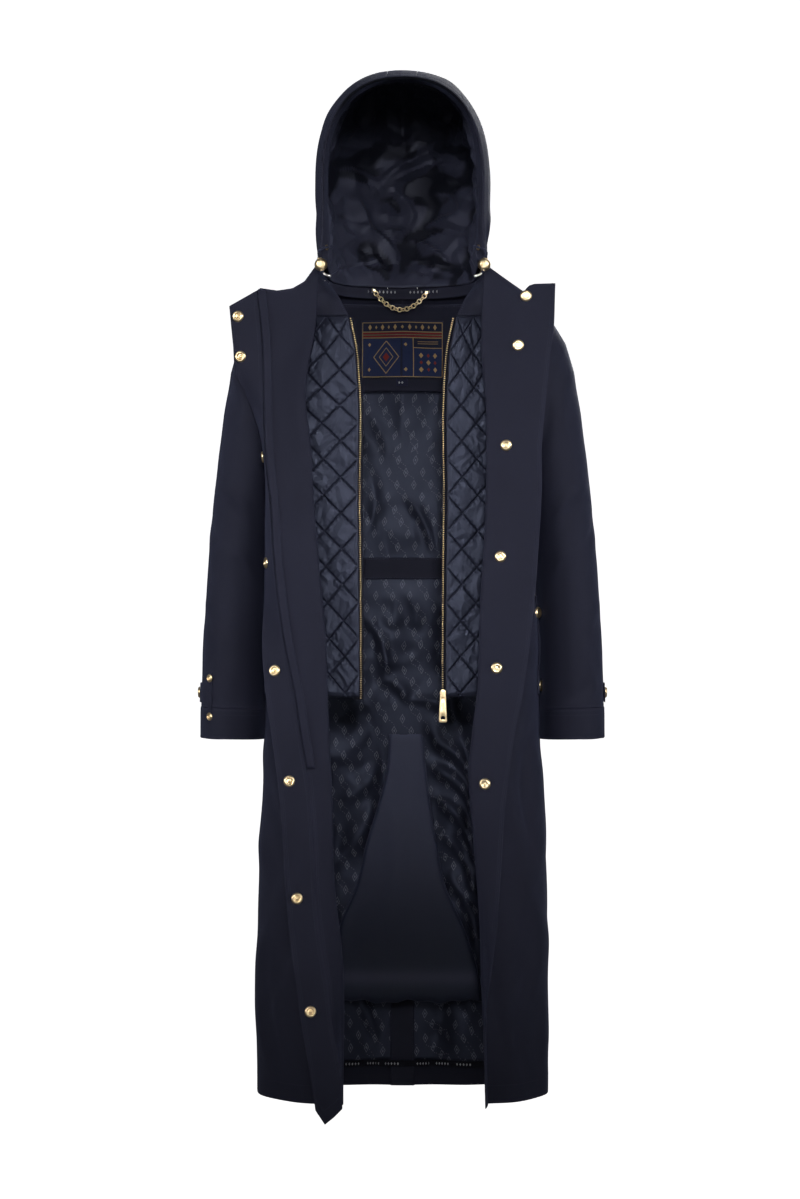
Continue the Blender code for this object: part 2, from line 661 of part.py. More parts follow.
left_front = front_grid(LEFT, EDGE_LEFT, TOP_LEFT, ROW_V, FRONT_U, ROLL_S, LEFT_FLAP)
right_front = front_grid(RIGHT, ZIP_LINE, TOP_RIGHT, ROW_V, FRONT_U, ROLL_S, RIGHT_FLAP)
for grid in (left_front, right_front):
    grid[:, 0, 1] -= SEAM / 2 + 0.0002
    grid[0, :5, 1] -= SEAM / 2 + 0.0002
shell("front_left", left_front, SHELL, NAVY, FRONT_OUT, (0.5, 0.2))
shell("front_right", mirrored(right_front), SHELL, NAVY, FRONT_OUT, (0.5, 0.2))


def storm_grid(v, s, forward=0.0):
    """The storm flap from the zip line (s 0) to its free edge (s 1)."""
    rows = []
    zip_edge = front_grid(RIGHT, ZIP_LINE, TOP_RIGHT, v, (0.9, 1.0), (0.5,), (0.8, 1.0))
    for at, start, before in zip(v, zip_edge[:, -1], zip_edge[:, -2]):
        heading = (start - before) / np.linalg.norm(start - before)
        z = start[2] - 0.022 * np.clip(1 - at / (0.75 * ARM_ROWS), 0, 1) ** 1.5
        end = np.array([smooth(STORM_EDGE, "x", z), smooth(STORM_EDGE, "y", z), z])
        away = (end - start) / np.linalg.norm(end - start)
        corner = np.linalg.norm(np.cross(heading, away))
        begin = start + heading * (SEAM + 0.0003 + 1.1 * SHELL * corner)
        t = np.array(s)[:, None]
        bend = np.sin(np.pi * t) * np.array([0.0015, -0.0015, 0.0])
        row = begin + (end - begin) * t + bend * np.clip(1 - abs(begin[2] + 0.3) / 0.25, 0, 1)
        rows.append(row)
    grid = np.array(rows)
    hem_drop = np.interp(s, (0, 0.3, 0.65, 1), (0.0, -0.012, -0.023, -0.002))
    grow = np.clip((np.array(v) - 0.93) / 0.07, 0, 1)[:, None]
    grid[:, :, 2] += grow * hem_drop
    grid[:, :, 1] -= forward
    return grid


shell("storm_flap", mirrored(storm_grid(ROW_V, line(0, 1, 5))), SHELL, NAVY, BACK_OUT)

tape_v = line(0.012, 0.60, 12)
tape_grid = front_grid(RIGHT, ZIP_LINE, TOP_RIGHT, tape_v, (0.9, 1.0), (0.5,), (0.80, 0.9, 1.0))
tape_rows = []
for row in tape_grid[:, -3:]:
    heading = (row[-1] - row[0]) / np.linalg.norm(row[-1] - row[0])
    tape_rows.append([row[-1] - heading * d for d in (0.014, 0.008, 0.002)])
tape_rows = np.array(tape_rows)
tape_rows[:, :, 1] -= 0.0012
shell("front_zip_tape", mirrored(tape_rows), TRIM, TAPE, FRONT_OUT)

# ------------------------------------------------------------------ pocket welts
for name, surface, side in (("left", LEFT, 1), ("right", RIGHT, -1)):
    v, u = np.meshgrid(line(0.395, 0.515, 7), line(0.10, 0.26, 3), indexing="ij")
    welt = body_points(*surface, v, u)
    lift = normals(welt)
    lift *= np.sign(lift[3, 1] @ np.array([0, -1.0, 0]))
    welt = welt + lift * (SHELL + LAY + 0.0003)
    welt = welt if side > 0 else mirrored(welt)
    shell("pocket_welt_" + name, welt, SHELL, NAVY, (side, -1, 0))

# ------------------------------------------------------------------ sleeves and cuffs
SLEEVE_ROWS = np.arange(len(SLEEVE["depth"]), dtype=float)
CUFF_ROWS = np.arange(len(CUFF["depth"]), dtype=float)
TAB = {"right": (0.62, 1.0), "left": (1.38, 0.0)}
for side, sign in (("left", 1), ("right", -1)):
    flip = np.array([sign, 1, 1])
    sleeve = ring(SLEEVE, SLEEVE_ROWS) * flip
    shell("sleeve_" + side, sleeve, SHELL, NAVY, (sign, 0, 0), (0.5, 0.0), closed=True)
    cuff = ring(CUFF, CUFF_ROWS) * flip
    shell("cuff_" + side, cuff, SHELL, NAVY, (sign, 0, 0), (0.5, 0.0), closed=True)
    reach, tee = TAB[side]
    # The strap goes from the sleeve's front round its outer side to the back.
    turn = line(np.pi / 2 - reach, -1.05, 9)
    columns = []
    for k, a in enumerate(turn):
        wide = 0.0145 + 0.017 * tee * max(0.0, 1 - k / 1.0)
        heights = np.array([-0.588 + wide, -0.588, -0.588 - wide])
        at = np.interp(-heights, -np.array([-0.5425, -0.6105]), (9.0, 10.0))
        rows = ring(SLEEVE, at, SHELL + LAY + 0.0007, 2, a, a + 0.01)[:, 0]
        rows[:, 2] = heights
        columns.append(rows)
    strap = np.transpose(np.array(columns), (1, 0, 2)) * flip
    shell("cuff_tab_" + side, strap, SHELL, NAVY, (sign, 0, 0), (0.5, 0.4))

# ------------------------------------------------------------------ hood
HOOD_FOLD = table("z x", (0.045, 0.1200), (-0.2, 0.12))
HOOD_LEFT = hood_surface(HOOD_FOLD)
HOOD_LIFT = np.array([0, 0, 0.0012])
CENTRE_HALF = 0.0225


def hood_points(turn, share):
    """Points of the whole hood: share runs from the left base (0) over the top (1) to 2."""
    share = np.asarray(share, float)
    p = sampled(HOOD_LEFT, turn, np.where(share > 1, 2 - share, share))
    p[..., 0] *= np.where(share > 1, -1, 1)
    return p


HOOD_LENGTH = np.linalg.norm(np.diff(HOOD_LEFT, axis=1), axis=2).sum(axis=1)


def centre_share(turn):
    """The share of an arch at which the centre panel starts."""
    return 1 - CENTRE_HALF / np.interp(turn, np.linspace(0, 1, len(HOOD_LENGTH)), HOOD_LENGTH)


HOOD_TURNS = np.array([0, 0.1, 0.22, 0.35, 0.48, 0.6, 0.71, 0.81, 0.9, 0.96, 1.0])
sides, middles = [], []
for t in HOOD_TURNS:
    stop = centre_share(t)
    gap = SEAM / 2 / CENTRE_HALF * (1 - stop)
    share = line(0, 1, 10) * (stop - gap)
    sides.append(hood_points(np.full(10, t), share))
    mid = line(stop + gap, 2 - stop - gap, 5)
    middles.append(hood_points(np.full(5, t), mid))
sides, middles = np.array(sides), np.array(middles)
for grid in (sides, middles):
    grid += np.array([0, 0, 0.0018])
    grid[-1, :, 2] += 0.0004
shell("hood_side_left", sides, SHELL, NAVY, (1, 0, 0), (0.4, 0.3))
shell("hood_side_right", mirrored(sides), SHELL, NAVY, (-1, 0, 0), (0.4, 0.3))
shell("hood_centre", middles, SHELL, NAVY, (0, 0, 1), (0.3, 0.5))

HOOD_DENSE = hood_points(*np.meshgrid(line(0, 1, 101), line(0, 2, 121), indexing="ij"))
HOOD_DENSE += np.array([0, 0, 0.0018])
HOOD_NORMAL = normals(HOOD_DENSE)
if HOOD_NORMAL[30, 20, 0] < 0:
    HOOD_NORMAL = -HOOD_NORMAL


def in_hood(turn, share, inside):
    """Points inside the hood, moved in from its cloth by inside."""
    turn, share = np.broadcast_arrays(np.asarray(turn, float), np.asarray(share, float))
    p = sampled(HOOD_DENSE, turn, share / 2)
    n = sampled(HOOD_NORMAL, turn, share / 2)
    return p - n / np.linalg.norm(n, axis=-1, keepdims=True) * np.asarray(inside)[..., None]


FACING_TURN = 0.075
face_turn, face_share = np.meshgrid((0.0, 0.03, FACING_TURN), line(0.02, 1.98, 29), indexing="ij")
face_in = np.broadcast_to(np.array([0.0022, 0.0070, 0.0125])[:, None], face_turn.shape)
shell("hood_facing", in_hood(face_turn, face_share, face_in + SHELL), SHELL, FACING,
      (1, 0, 0), (0.5, 0.2))

HOOD_CREASES = table(
    "turn share slant wide depth",
    (0.25, 0.35, 0.9, 0.10, 0.0050), (0.32, 0.75, -0.7, 0.09, 0.0045),
    (0.45, 1.20, 0.8, 0.11, 0.0050), (0.30, 1.62, -1.0, 0.10, 0.0050),
    (0.60, 0.55, -0.8, 0.10, 0.0050), (0.62, 1.45, 0.9, 0.11, 0.0055),
    (0.78, 0.95, 0.5, 0.10, 0.0045), (0.80, 1.60, -0.6, 0.10, 0.0040),
)


def creases(tab, a, b):
    """Soft ridges, each slanting across the cloth at its own place."""
    total = np.zeros(np.shape(a))
    for turn, share, slant, wide, depth in zip(*tab.values()):
        across = (b - share) - slant * (a - turn)
        run = (a - turn) + slant * (b - share)
        total += depth * np.exp(-((across / wide) ** 2)) * np.exp(-((run / (5 * wide)) ** 2))
    return total


line_turn, line_share = np.meshgrid(line(FACING_TURN + 0.012, 0.985, 14), line(0.03, 1.97, 17),
                                    indexing="ij")
depth = 0.0145 - 0.0075 * line_turn - creases(HOOD_CREASES, line_turn, line_share)
depth = np.maximum(depth, 0.0032) * np.where(line_turn > 0.93, 0.55, 1.0)
shell("hood_lining", in_hood(line_turn, line_share, depth), LINING, SATIN,
      (-1, 0, 0), (0.3, 0.2))

# ------------------------------------------------------------------ inside of the back
BACK_CREASES = table(
    "x z slant wide depth",
    (0.055, -0.20, 0.20, 0.016, 0.0030), (-0.060, -0.26, -0.25, 0.018, 0.0030),
    (0.020, -0.33, 0.15, 0.016, 0.0022), (-0.015, -0.50, 0.10, 0.016, 0.0022),
    (0.075, -0.80, 0.45, 0.018, 0.0050), (0.095, -0.92, 0.60, 0.016, 0.0045),
    (0.060, -0.98, 0.50, 0.015, 0.0040), (-0.085, -0.72, -0.20, 0.018, 0.0040),
    (-0.100, -0.90, -0.15, 0.018, 0.0035), (0.100, -1.08, 0.30, 0.016, 0.0035),
)


def lining_creases(x, z):
    total = np.zeros(np.shape(x))
    for cx, cz, slant, wide, depth in zip(*BACK_CREASES.values()):
        across = (x - cx) - slant * (z - cz)
        run = (z - cz) + slant * (x - cx)
        total += depth * np.exp(-((across / wide) ** 2)) * np.exp(-((run / 0.10) ** 2))
    calm = np.clip(np.abs(z + 0.405) / 0.03 - 0.6, 0, 1)
    vent = np.where(z < VENT_TOP + 0.05, np.clip((np.abs(x) - 0.030) / 0.02, 0, 1), 1.0)
    return total * calm * vent


def lining_points(x, z, inside=0.0):
    return on_back(x, z, 0.0050 + lining_creases(x, z) + inside)


BAND_TOP, BAND_BOTTOM = -0.3930, -0.4170
lining_rows = np.concatenate([line(-0.131, -0.389, 6), line(-0.421, VENT_TOP, 4),
                              line(VENT_TOP - 0.05, -1.156, 7)])
lining_share = line(-1, 1, 15)


def lining_grid(rows, share, inside=0.0):
    """Points over the lining's width at these heights."""
    z, across = np.meshgrid(rows, share, indexing="ij")
    half = smooth(BODY, "half_width", np.minimum(z, UNDERARM[2])) - 0.012
    half -= 0.28 * np.maximum(0.0, z - UNDERARM[2])
    return lining_points(across * half, z, inside)


shell("lining_back", lining_grid(lining_rows, lining_share), LINING, PRINTED, FRONT_OUT, (0.5, 0.5))


def back_strip(name, xs, zs, inside, wall, material):
    """A piece that lies on the inside of the back, between heights and widths."""
    z, x = np.meshgrid(zs, xs, indexing="ij")
    return shell(name, lining_points(x, z, inside), wall, material, FRONT_OUT, (0.5, 0.5))


back_strip("neck_facing", line(-0.098, 0.098, 13), (-0.1300, -0.100, -0.065, -0.030, 0.0020),
           0.0002, SHELL, FACING)
shell("waist_band", lining_grid((BAND_TOP, BAND_BOTTOM), lining_share[1:-1], LINING + LAY + 0.0003),
      TRIM, FACING, FRONT_OUT, (0.5, 0.5))
back_strip("vent_facing", (-0.0175, 0.0, 0.0175), line(VENT_TOP - 0.002, -1.190, 10),
           LINING + LAY + 0.0003, SHELL, FACING)
tape_x, tape_z = np.meshgrid(line(-0.170, 0.170, 15), (-1.1565, -1.1660), indexing="ij")
over_vent = np.where(np.abs(tape_x) < 0.045, SHELL + LINING + LAY + 0.0012, 0.0)
hem_tape = lining_points(tape_x, tape_z, 0.0002 + over_vent)
shell("hem_tape", np.swapaxes(hem_tape, 0, 1), TRIM, TAPE, FRONT_OUT, (0.5, 0.5))
back_strip("label", line(-0.064, 0.064, 9), (-0.0210, -0.065, -0.1090),
           0.0009 + SHELL + LAY, TRIM, WOVEN)

half_ring = along(neck_back(line(0, 1, 80)), line(0, 1, 5))[1:]
neck_ring = np.concatenate([half_ring, mirrored(half_ring)[-2::-1]])
inward = -neck_ring * np.array([1, 1, 0])
inward /= np.linalg.norm(inward, axis=1, keepdims=True)
tape = np.array([neck_ring + inward * (0.0005 + k * 0.0006) + np.array([0, 0, dz])
                 for k, dz in ((0, -0.0006), (1, -0.0126))])
shell("neck_tape", tape, TRIM, TAPE, FRONT_OUT, (0.5, 0.5))

# ------------------------------------------------------------------ vent gusset
BEHIND, TURN = 0.0150, 0.0040


def gusset_row(z, left, right, y):
    """One row of the folded fan: back layer, roll, front layer, roll, back layer."""
    xs = [-0.3 * left, -0.7 * left, -left, -left - TURN, -left]
    xs += [-0.5 * left, 0.0, 0.5 * right, right]
    xs += [right + TURN, right, 0.7 * right, 0.3 * right]
    behind = on_back(xs, np.full(len(xs), z), BEHIND)[:, 1]
    ys = np.where(np.arange(len(xs)) < 3, behind, y)
    ys = np.where(np.arange(len(xs)) > 9, behind, ys)
    ys[3], ys[9] = (behind[3] + y) / 2, (behind[9] + y) / 2
    return np.stack([xs, ys, np.full(len(xs), z)], axis=1)


gusset = np.array([gusset_row(*row) for row in zip(*(GUSSET[c] for c in ("z", "left", "right", "y")))])
shell("back_gusset", gusset, SHELL, NAVY, FRONT_OUT, (0.5, 0.5))

# ------------------------------------------------------------------ quilted bibs
QUILT_STEP_X, QUILT_STEP_Z = QUILT_WIDE / 4, QUILT_HIGH / 4
PUFF, BIB_WALL = 0.0042, 0.0026
BIB_COLUMNS = 7
BIB_ROWS = int(round((BIB["z"][0] - BIB_HEM) / QUILT_STEP_Z)) + 1


def bib_points(tab, fold, z, share, forward=0.0):
    outer = smooth(fold, "x", z) + smooth(tab, "tuck", z)
    x = smooth(tab, "inner_x", z) * (1 - share) + outer * share
    y = smooth(tab, "inner_y", z) * (1 - share) + smooth(tab, "outer_y", z) * share
    return np.stack([x, y - forward, z], axis=-1)


def quilt_cuts(i, j):
    """Whether a cell's diagonal runs down to the right, along a line of stitching."""
    return (i - j) % 4 == 0 or (i + j + 1) % 4 != 0


def quilt_rise(a, b):
    """Height of the padding between the crossed lines, from 0 on a line to 1."""
    return np.sqrt(np.abs(np.sin(np.pi * (a + b)) * np.sin(np.pi * (a - b))))


bib_z, bib_share = np.meshgrid(line(BIB["z"][0], BIB_HEM, BIB_ROWS), line(0, 1, BIB_COLUMNS),
                               indexing="ij")
row_count, column_count = np.meshgrid(np.arange(BIB_ROWS), np.arange(BIB_COLUMNS), indexing="ij")
rise = quilt_rise(column_count / 4, row_count / 4)
rise[:, 0] *= 0.2
rise[0] *= 0.3
rise[-1] *= 0.3
for side, sign, fold in (("left", 1, FOLD_LEFT), ("right", -1, FOLD_RIGHT)):
    flip = np.array([sign, 1, 1])
    plain = bib_points(BIB, fold, bib_z, bib_share) * flip
    raised = bib_points(BIB, fold, bib_z, bib_share, BIB_WALL + PUFF * rise) * flip
    padded("bib_" + side, plain, raised, QUILT, quilt_cuts)
    foot = bib_points(BIB, fold, np.full(5, BIB["z"][0]), line(0, 1, 5))
    foot[:, 2] += YOKE_FOOT
    crest = neck_front(line(0.12, 0.80, 5), fold) + np.array([-0.0008, 0.0, -0.0014])
    bow = np.array([0.0, -0.006, 0.004])
    yoke = np.array([foot * (1 - t) + crest * t + bow * np.sin(np.pi * t)
                     for t in line(0, 1, 5)])
    shell("bib_yoke_" + side, yoke * flip, SHELL, FACING, (-sign, -1, 0), (0.5, 0.5))
    z = line(BIB["z"][0] - 0.002, BIB_HEM - 0.004, 12)
    edge, inward = bib_points(BIB, fold, z, 0 * z), bib_points(BIB, fold, z, 0 * z + 1)
    lean = (inward - edge) / (inward - edge)[:, :1]
    tape = np.stack([edge + lean * dx + np.array([0, LAY + TRIM, 0])
                     for dx in (-0.0065, 0.0, 0.0070)], axis=1)
    shell("zip_tape_" + side, tape * flip, TRIM, TAPE, FRONT_OUT, (0.5, 0.5))

# ------------------------------------------------------------------ zip slider and pull
SLIDER_Z = -0.5900
slider_x = float(smooth(BIB, "inner_x", SLIDER_Z)) - 0.0035
slider_y = float(smooth(BIB, "inner_y", SLIDER_Z)) - 0.0030
bpy.ops.mesh.primitive_cube_add(size=1)
slider = bpy.context.object
slider.name = "zip_slider"
for vertex in slider.data.vertices:
    vertex.co = (vertex.co.x * 0.0085, vertex.co.y * 0.0040, vertex.co.z * 0.0150)
slider.location = (slider_x - 0.0006, slider_y - 0.0012, SLIDER_Z)
for collection in list(slider.users_collection):
    collection.objects.unlink(slider)
COAT.objects.link(slider)
slider.data.materials.append(GOLD)
bevel = slider.modifiers.new("Edges", "BEVEL")
bevel.width, bevel.segments = 0.0012, 2

PULL_TOP = Vector((slider.location.x, slider.location.y - 0.0020 - 0.0003 - 0.0011, SLIDER_Z + 0.001))


def plate_outline(width, top, bottom, narrow, steps=5):
    """The outline of a pull tab: narrow at the top, with a round lower end."""
    half = width / 2
    points = [(-narrow / 2, top), (-narrow / 2, top - 0.004), (-half, top - 0.008)]
    for k in range(steps + 1):
        a = math.pi + math.pi * k / steps
        points.append((half * math.cos(a), bottom + half * 0.55 + half * 0.55 * math.sin(a)))
    points += [(half, top - 0.008), (narrow / 2, top - 0.004), (narrow / 2, top)]
    return points


outline = bpy.data.curves.new("zip_pull", "CURVE")
outline.dimensions, outline.fill_mode, outline.extrude = "2D", "BOTH", 0.0009
for ring_points in (
    plate_outline(0.0105, 0.0, -0.0405, 0.0060),
    [(-0.0030, -0.0280), (0.0030, -0.0280), (0.0030, -0.0355), (-0.0030, -0.0355)],
):
    spline = outline.splines.new("POLY")
    spline.points.add(len(ring_points) - 1)
    for point, (x, y) in zip(spline.points, ring_points):
        point.co = (x, y, 0, 1)
    spline.use_cyclic_u = True
pull = bpy.data.objects.new("zip_pull", outline)
COAT.objects.link(pull)
outline.materials.append(GOLD)
pull.location = PULL_TOP
pull.rotation_euler = (math.radians(90), 0, 0)

# ------------------------------------------------------------------ hanger chain
CHAIN_ENDS = ((-0.0434, 0.0205), (0.0367, 0.0165))
CHAIN_Y, CHAIN_DIP, LINKS = 0.0668, 0.0270, 17
WIRE, LINK_HALF = 0.0008, 0.0032


def chain_path(t):
    (x0, z0), (x1, z1) = CHAIN_ENDS
    x = x0 + (x1 - x0) * t
    z = z0 + (z1 - z0) * t - CHAIN_DIP * 4 * t * (1 - t)
    return np.stack([x, np.full_like(x, CHAIN_Y), z], axis=1)


fine = chain_path(line(0, 1, 200))
stations = along(fine, line(0.5 / LINKS, 1 - 0.5 / LINKS, LINKS))
ahead = along(fine, np.clip(line(0.5 / LINKS, 1 - 0.5 / LINKS, LINKS) + 0.01, 0, 1))
links = bpy.data.collections.new("chain_links")
CUTTERS.children.link(links)
links.hide_render = True
chain = None
for k, (place, towards) in enumerate(zip(stations, ahead)):
    bpy.ops.mesh.primitive_torus_add(
        major_segments=8, minor_segments=4, major_radius=LINK_HALF - WIRE, minor_radius=WIRE
    )
    link = bpy.context.object
    link.name = "hanger_chain" if k == 0 else f"chain_link_{k:02d}"
    for vertex in link.data.vertices:
        vertex.co.x *= 1.22
    heading = Vector(towards - place).normalized()
    across = heading.cross(Vector((0, -1, 0))).normalized()
    tilt = math.radians(28 if k % 2 else -28)
    up = across * math.cos(tilt) + heading.cross(across) * math.sin(tilt)
    side = heading.cross(up)
    for vertex in link.data.vertices:
        p = vertex.co
        vertex.co = Vector(place) + heading * p.x + up * p.y + side * p.z
    for collection in list(link.users_collection):
        collection.objects.unlink(link)
    (COAT if k == 0 else links).objects.link(link)
    if k == 0:
        chain = link
        link.data.materials.append(GOLD)
    else:
        link.hide_render = True
        link.display_type = "WIRE"
union = chain.modifiers.new("Links", "BOOLEAN")
union.operation = "UNION"
union.operand_type = "COLLECTION"
union.collection = links

# ------------------------------------------------------------------ toggles and drawcords
TOGGLE_R, CORD_R = 0.0095, 0.0018
HOLE = CORD_R + 0.0009
ball_angle = math.acos(HOLE / TOGGLE_R)
ball = [(TOGGLE_R * math.cos(a), TOGGLE_R * math.sin(a)) for a in line(ball_angle, -ball_angle, 8)]
for side, sign in (("left", 1), ("right", -1)):
    eyelet = in_hood(0.035, 0.075, 0.0078 + SHELL + 0.0004)
    eyelet_out = in_hood(0.035, 0.075, 0.0140 + SHELL) - eyelet
    eyelet_out = eyelet_out / np.linalg.norm(eyelet_out) + np.array([0.0, -0.9, 0.1])
    centre = np.array([0.1195, -0.1235, 0.0410])
    axis = np.array([-0.22, -0.10, -0.97])
    axis /= np.linalg.norm(axis)
    flip = np.array([sign, 1, 1])
    turned("toggle_" + side, ball, centre * flip, axis * flip * -1, GOLD, 12, ring_shape=True)
    above, below = centre - axis * 0.0105, centre + axis * 0.0105
    route = [eyelet, eyelet + eyelet_out * 0.005, above - axis * 0.006 + np.array([0, 0.002, 0]),
             above, centre, below, (0.1130, -0.1280, 0.0262), (0.1045, -0.1290, 0.0235)]
    cord("drawcord_" + side, rounded(route, 14) * flip, CORD_R, CORD)

# ------------------------------------------------------------------ snaps
SNAP_R = 0.0085
DISC = [(0.0, 0.0030), (0.0050, 0.0026), (0.0078, 0.0014), (SNAP_R, 0.0), (0.0, 0.0)]
SOCKET = [(0.0034, 0.0026), (0.0066, 0.0026), (SNAP_R, 0.0012), (SNAP_R, 0.0), (0.0034, 0.0)]


def place_on(grid_point, normal, profile, name, closed, lift=0.0006):
    n = np.array(normal) / np.linalg.norm(normal)
    turned(name, profile, np.array(grid_point) + n * lift, n, GOLD, 10, ring_shape=closed)


def v_at(surface, z):
    """The row of a front whose roll lies at height z."""
    v = np.linspace(0, 1, 400)
    level = body_points(*surface, v, np.ones_like(v))[:, 2]
    return float(np.interp(-z, -level, v))


SOCKETS = table(
    "z share lift",
    (0.008, 0.72, 0.0006), (-0.078, 0.76, 0.0006), (-0.240, 0.50, 0.0014),
    (-0.395, 0.70, 0.0006), (-0.553, 0.55, 0.0006), (-0.714, 0.61, 0.0006),
    (-0.884, 0.64, 0.0006), (-1.047, 0.64, 0.0006),
)
for k, (z, s, lift) in enumerate(zip(*SOCKETS.values()), 1):
    v = v_at(RIGHT, z)
    near = mirrored(storm_grid((v - 0.004, v, v + 0.004), (s - 0.08, s, s + 0.08)))
    n = normals(near)[1, 1]
    n = n if n[1] < 0 else -n
    place_on(near[1, 1], n, SOCKET, f"snap_socket_{k}", True, lift)

STUDS = table(
    "z share", (-0.0080, 0.58), (-0.0760, 0.50), (-0.2230, 0.31), (-0.3860, 0.26),
    (-0.5490, 0.32), (-0.7180, 0.34),
)
for k, (z, s) in enumerate(zip(STUDS["z"], STUDS["share"]), 1):
    v = v_at(LEFT, z + (0.036 if k == 1 else 0.012 if k == 2 else 0.0))
    near = front_grid(LEFT, EDGE_LEFT, TOP_LEFT, (v - 0.004, v, v + 0.004), (0.9, 1.0), (0.5,),
                      (s - 0.08, s, s + 0.08))[:, -3:]
    n = normals(near)[1, 1]
    n = n if n[1] < 0 else -n
    place_on(near[1, 1], n, DISC, f"snap_stud_{k}", False)

for k, z in enumerate((-0.4690, -0.5790), 1):
    v = v_at(LEFT, z)
    vv, uu = np.meshgrid((v - 0.004, v, v + 0.004), (0.10, 0.13, 0.16), indexing="ij")
    near = body_points(*LEFT, vv, uu)
    n = normals(near)[1, 1]
    n = n if n[1] < 0 else -n
    place_on(near[1, 1] + n * (2 * SHELL + LAY + 0.0006), n, DISC, f"pocket_snap_{k}", False)


def on_sleeve(height, angle, lift):
    """A point and its normal on a sleeve at a height and an angle from its outer side."""
    at = np.interp(-height, -np.array([-0.5425, -0.6105]), (9.0, 10.0))
    tab, where = (SLEEVE, at) if height > -0.611 else (CUFF, 0.4)
    near = ring(tab, (where,), lift, 3, angle - 0.02, angle + 0.02)[0]
    near[:, 2] = height
    t = near[2] - near[0]
    n = np.array([-t[1], t[0], 0.0])
    n *= np.sign(n[0]) / np.linalg.norm(n)
    return near[1], n


front_angle = np.pi / 2 - TAB["right"][0] - 0.09
for k, (z, lift) in enumerate(((-0.5660, 0.0036), (-0.6230, 0.0026)), 1):
    place, n = on_sleeve(z, front_angle, 0.0)
    flip = np.array([-1, 1, 1])
    place_on((place + n * lift) * flip, n * flip, [(r * 0.72, h) for r, h in DISC],
             f"cuff_snap_{k}", False)
for side, sign in (("left", 1), ("right", -1)):
    place, n = on_sleeve(-0.588, 0.02, 0.0)
    flip = np.array([sign, 1, 1])
    place_on((place + n * (SHELL * 2 + LAY + 0.0004)) * flip, n * flip, DISC,
             "cuff_button_" + side, False)
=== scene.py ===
# %% [markdown]
# # A hooded raincoat, worn open
#
# The coat stands filled out as if it were worn, with both fronts turned back on
# themselves. Every panel of cloth is a grid of points worked out from a few short
# tables, the same way a pattern cutter grades a panel from a list of measurements.
# The solids are already there as a frame. This script dresses them: each cloth panel
# gets a finer grid with its creases pressed in, its weave and its stitching.

# %% Load the frame
import math

import bmesh
import bpy
import numpy as np
from mathutils import Matrix, Vector


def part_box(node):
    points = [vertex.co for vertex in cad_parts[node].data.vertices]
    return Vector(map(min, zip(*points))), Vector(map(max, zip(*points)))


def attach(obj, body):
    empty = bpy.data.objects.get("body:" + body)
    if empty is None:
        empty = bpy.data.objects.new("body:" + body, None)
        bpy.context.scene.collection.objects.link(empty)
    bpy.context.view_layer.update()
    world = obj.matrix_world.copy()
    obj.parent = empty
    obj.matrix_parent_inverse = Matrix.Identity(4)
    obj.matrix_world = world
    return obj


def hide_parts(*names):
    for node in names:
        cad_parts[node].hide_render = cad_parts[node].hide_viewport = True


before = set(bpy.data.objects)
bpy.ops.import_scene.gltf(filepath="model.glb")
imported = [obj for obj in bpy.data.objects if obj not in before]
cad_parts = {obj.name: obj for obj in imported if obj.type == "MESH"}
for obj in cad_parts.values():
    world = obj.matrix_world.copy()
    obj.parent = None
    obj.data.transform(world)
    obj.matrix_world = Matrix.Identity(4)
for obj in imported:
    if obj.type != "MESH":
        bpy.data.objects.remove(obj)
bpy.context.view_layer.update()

# %% [markdown]
# ## Measurements
#
# These are the coat's own sizes. X runs to the wearer's left, -Y is the front and Z is up,
# with the origin in the middle of the neck base. A table is one list of rows with named
# columns, so a size is changed in one place and the whole panel follows. Single sizes are
# in metres, and tables are in millimetres unless they say otherwise.

# %% Sizes
SHELL = 0.0014          # wall of the outer cloth
LINING = 0.0010         # wall of the lining
SEAM = 0.0005           # space between two pieces at a seam
LAY = 0.0004            # space between a piece and the cloth that it lies on
TRIM = 0.0010           # wall of tapes and labels

SHOULDER_TIP = (0.2000, 0.0000, -0.0220)
NECK_SIDE = (0.1120, 0.0000, 0.0270)
NAPE = (0.0000, 0.0750, 0.0200)
NECK_FRONT_Z = 0.0430   # where the neckline meets the front's roll
NECK_FRONT_Y = -0.0880
UNDERARM = (0.1720, 0.0000, -0.2300)
ARMHOLE_DEPTH = 0.0860
ROLL = 0.0065           # radius of the roll where a front turns back
VENT_TOP = -0.6600
HEM_SIDE, HEM_FRONT, HEM_BACK = -1.1810, -1.1860, -1.1960
QUILT_HIGH = 0.0530
BIB_HEM = -0.5930
SIDES = {"left": 1, "right": -1}


def table(columns, *rows, scale=1000):
    """A short table as its named columns, in millimetres unless scale is 1."""
    return dict(zip(columns.split(), np.array(rows, float).T / scale))


def folds(*rows):
    """A list of creases in millimetres, one in each row."""
    return np.array(rows, float) / 1000


# %% The tables of the body, the fronts and the storm flap
BODY = table(
    "z half_width front back", (-230, 172, 122, 112), (-300, 180, 123, 109), (-360, 188, 124, 107),
    (-420, 194.5, 125, 107), (-470, 199, 126, 108), (-530, 201.5, 127, 110), (-675, 205, 130, 115),
    (-795, 210, 132, 119), (-915, 214.5, 134, 123), (-1035, 216, 136, 126), (-1200, 216.5, 138, 129),
)
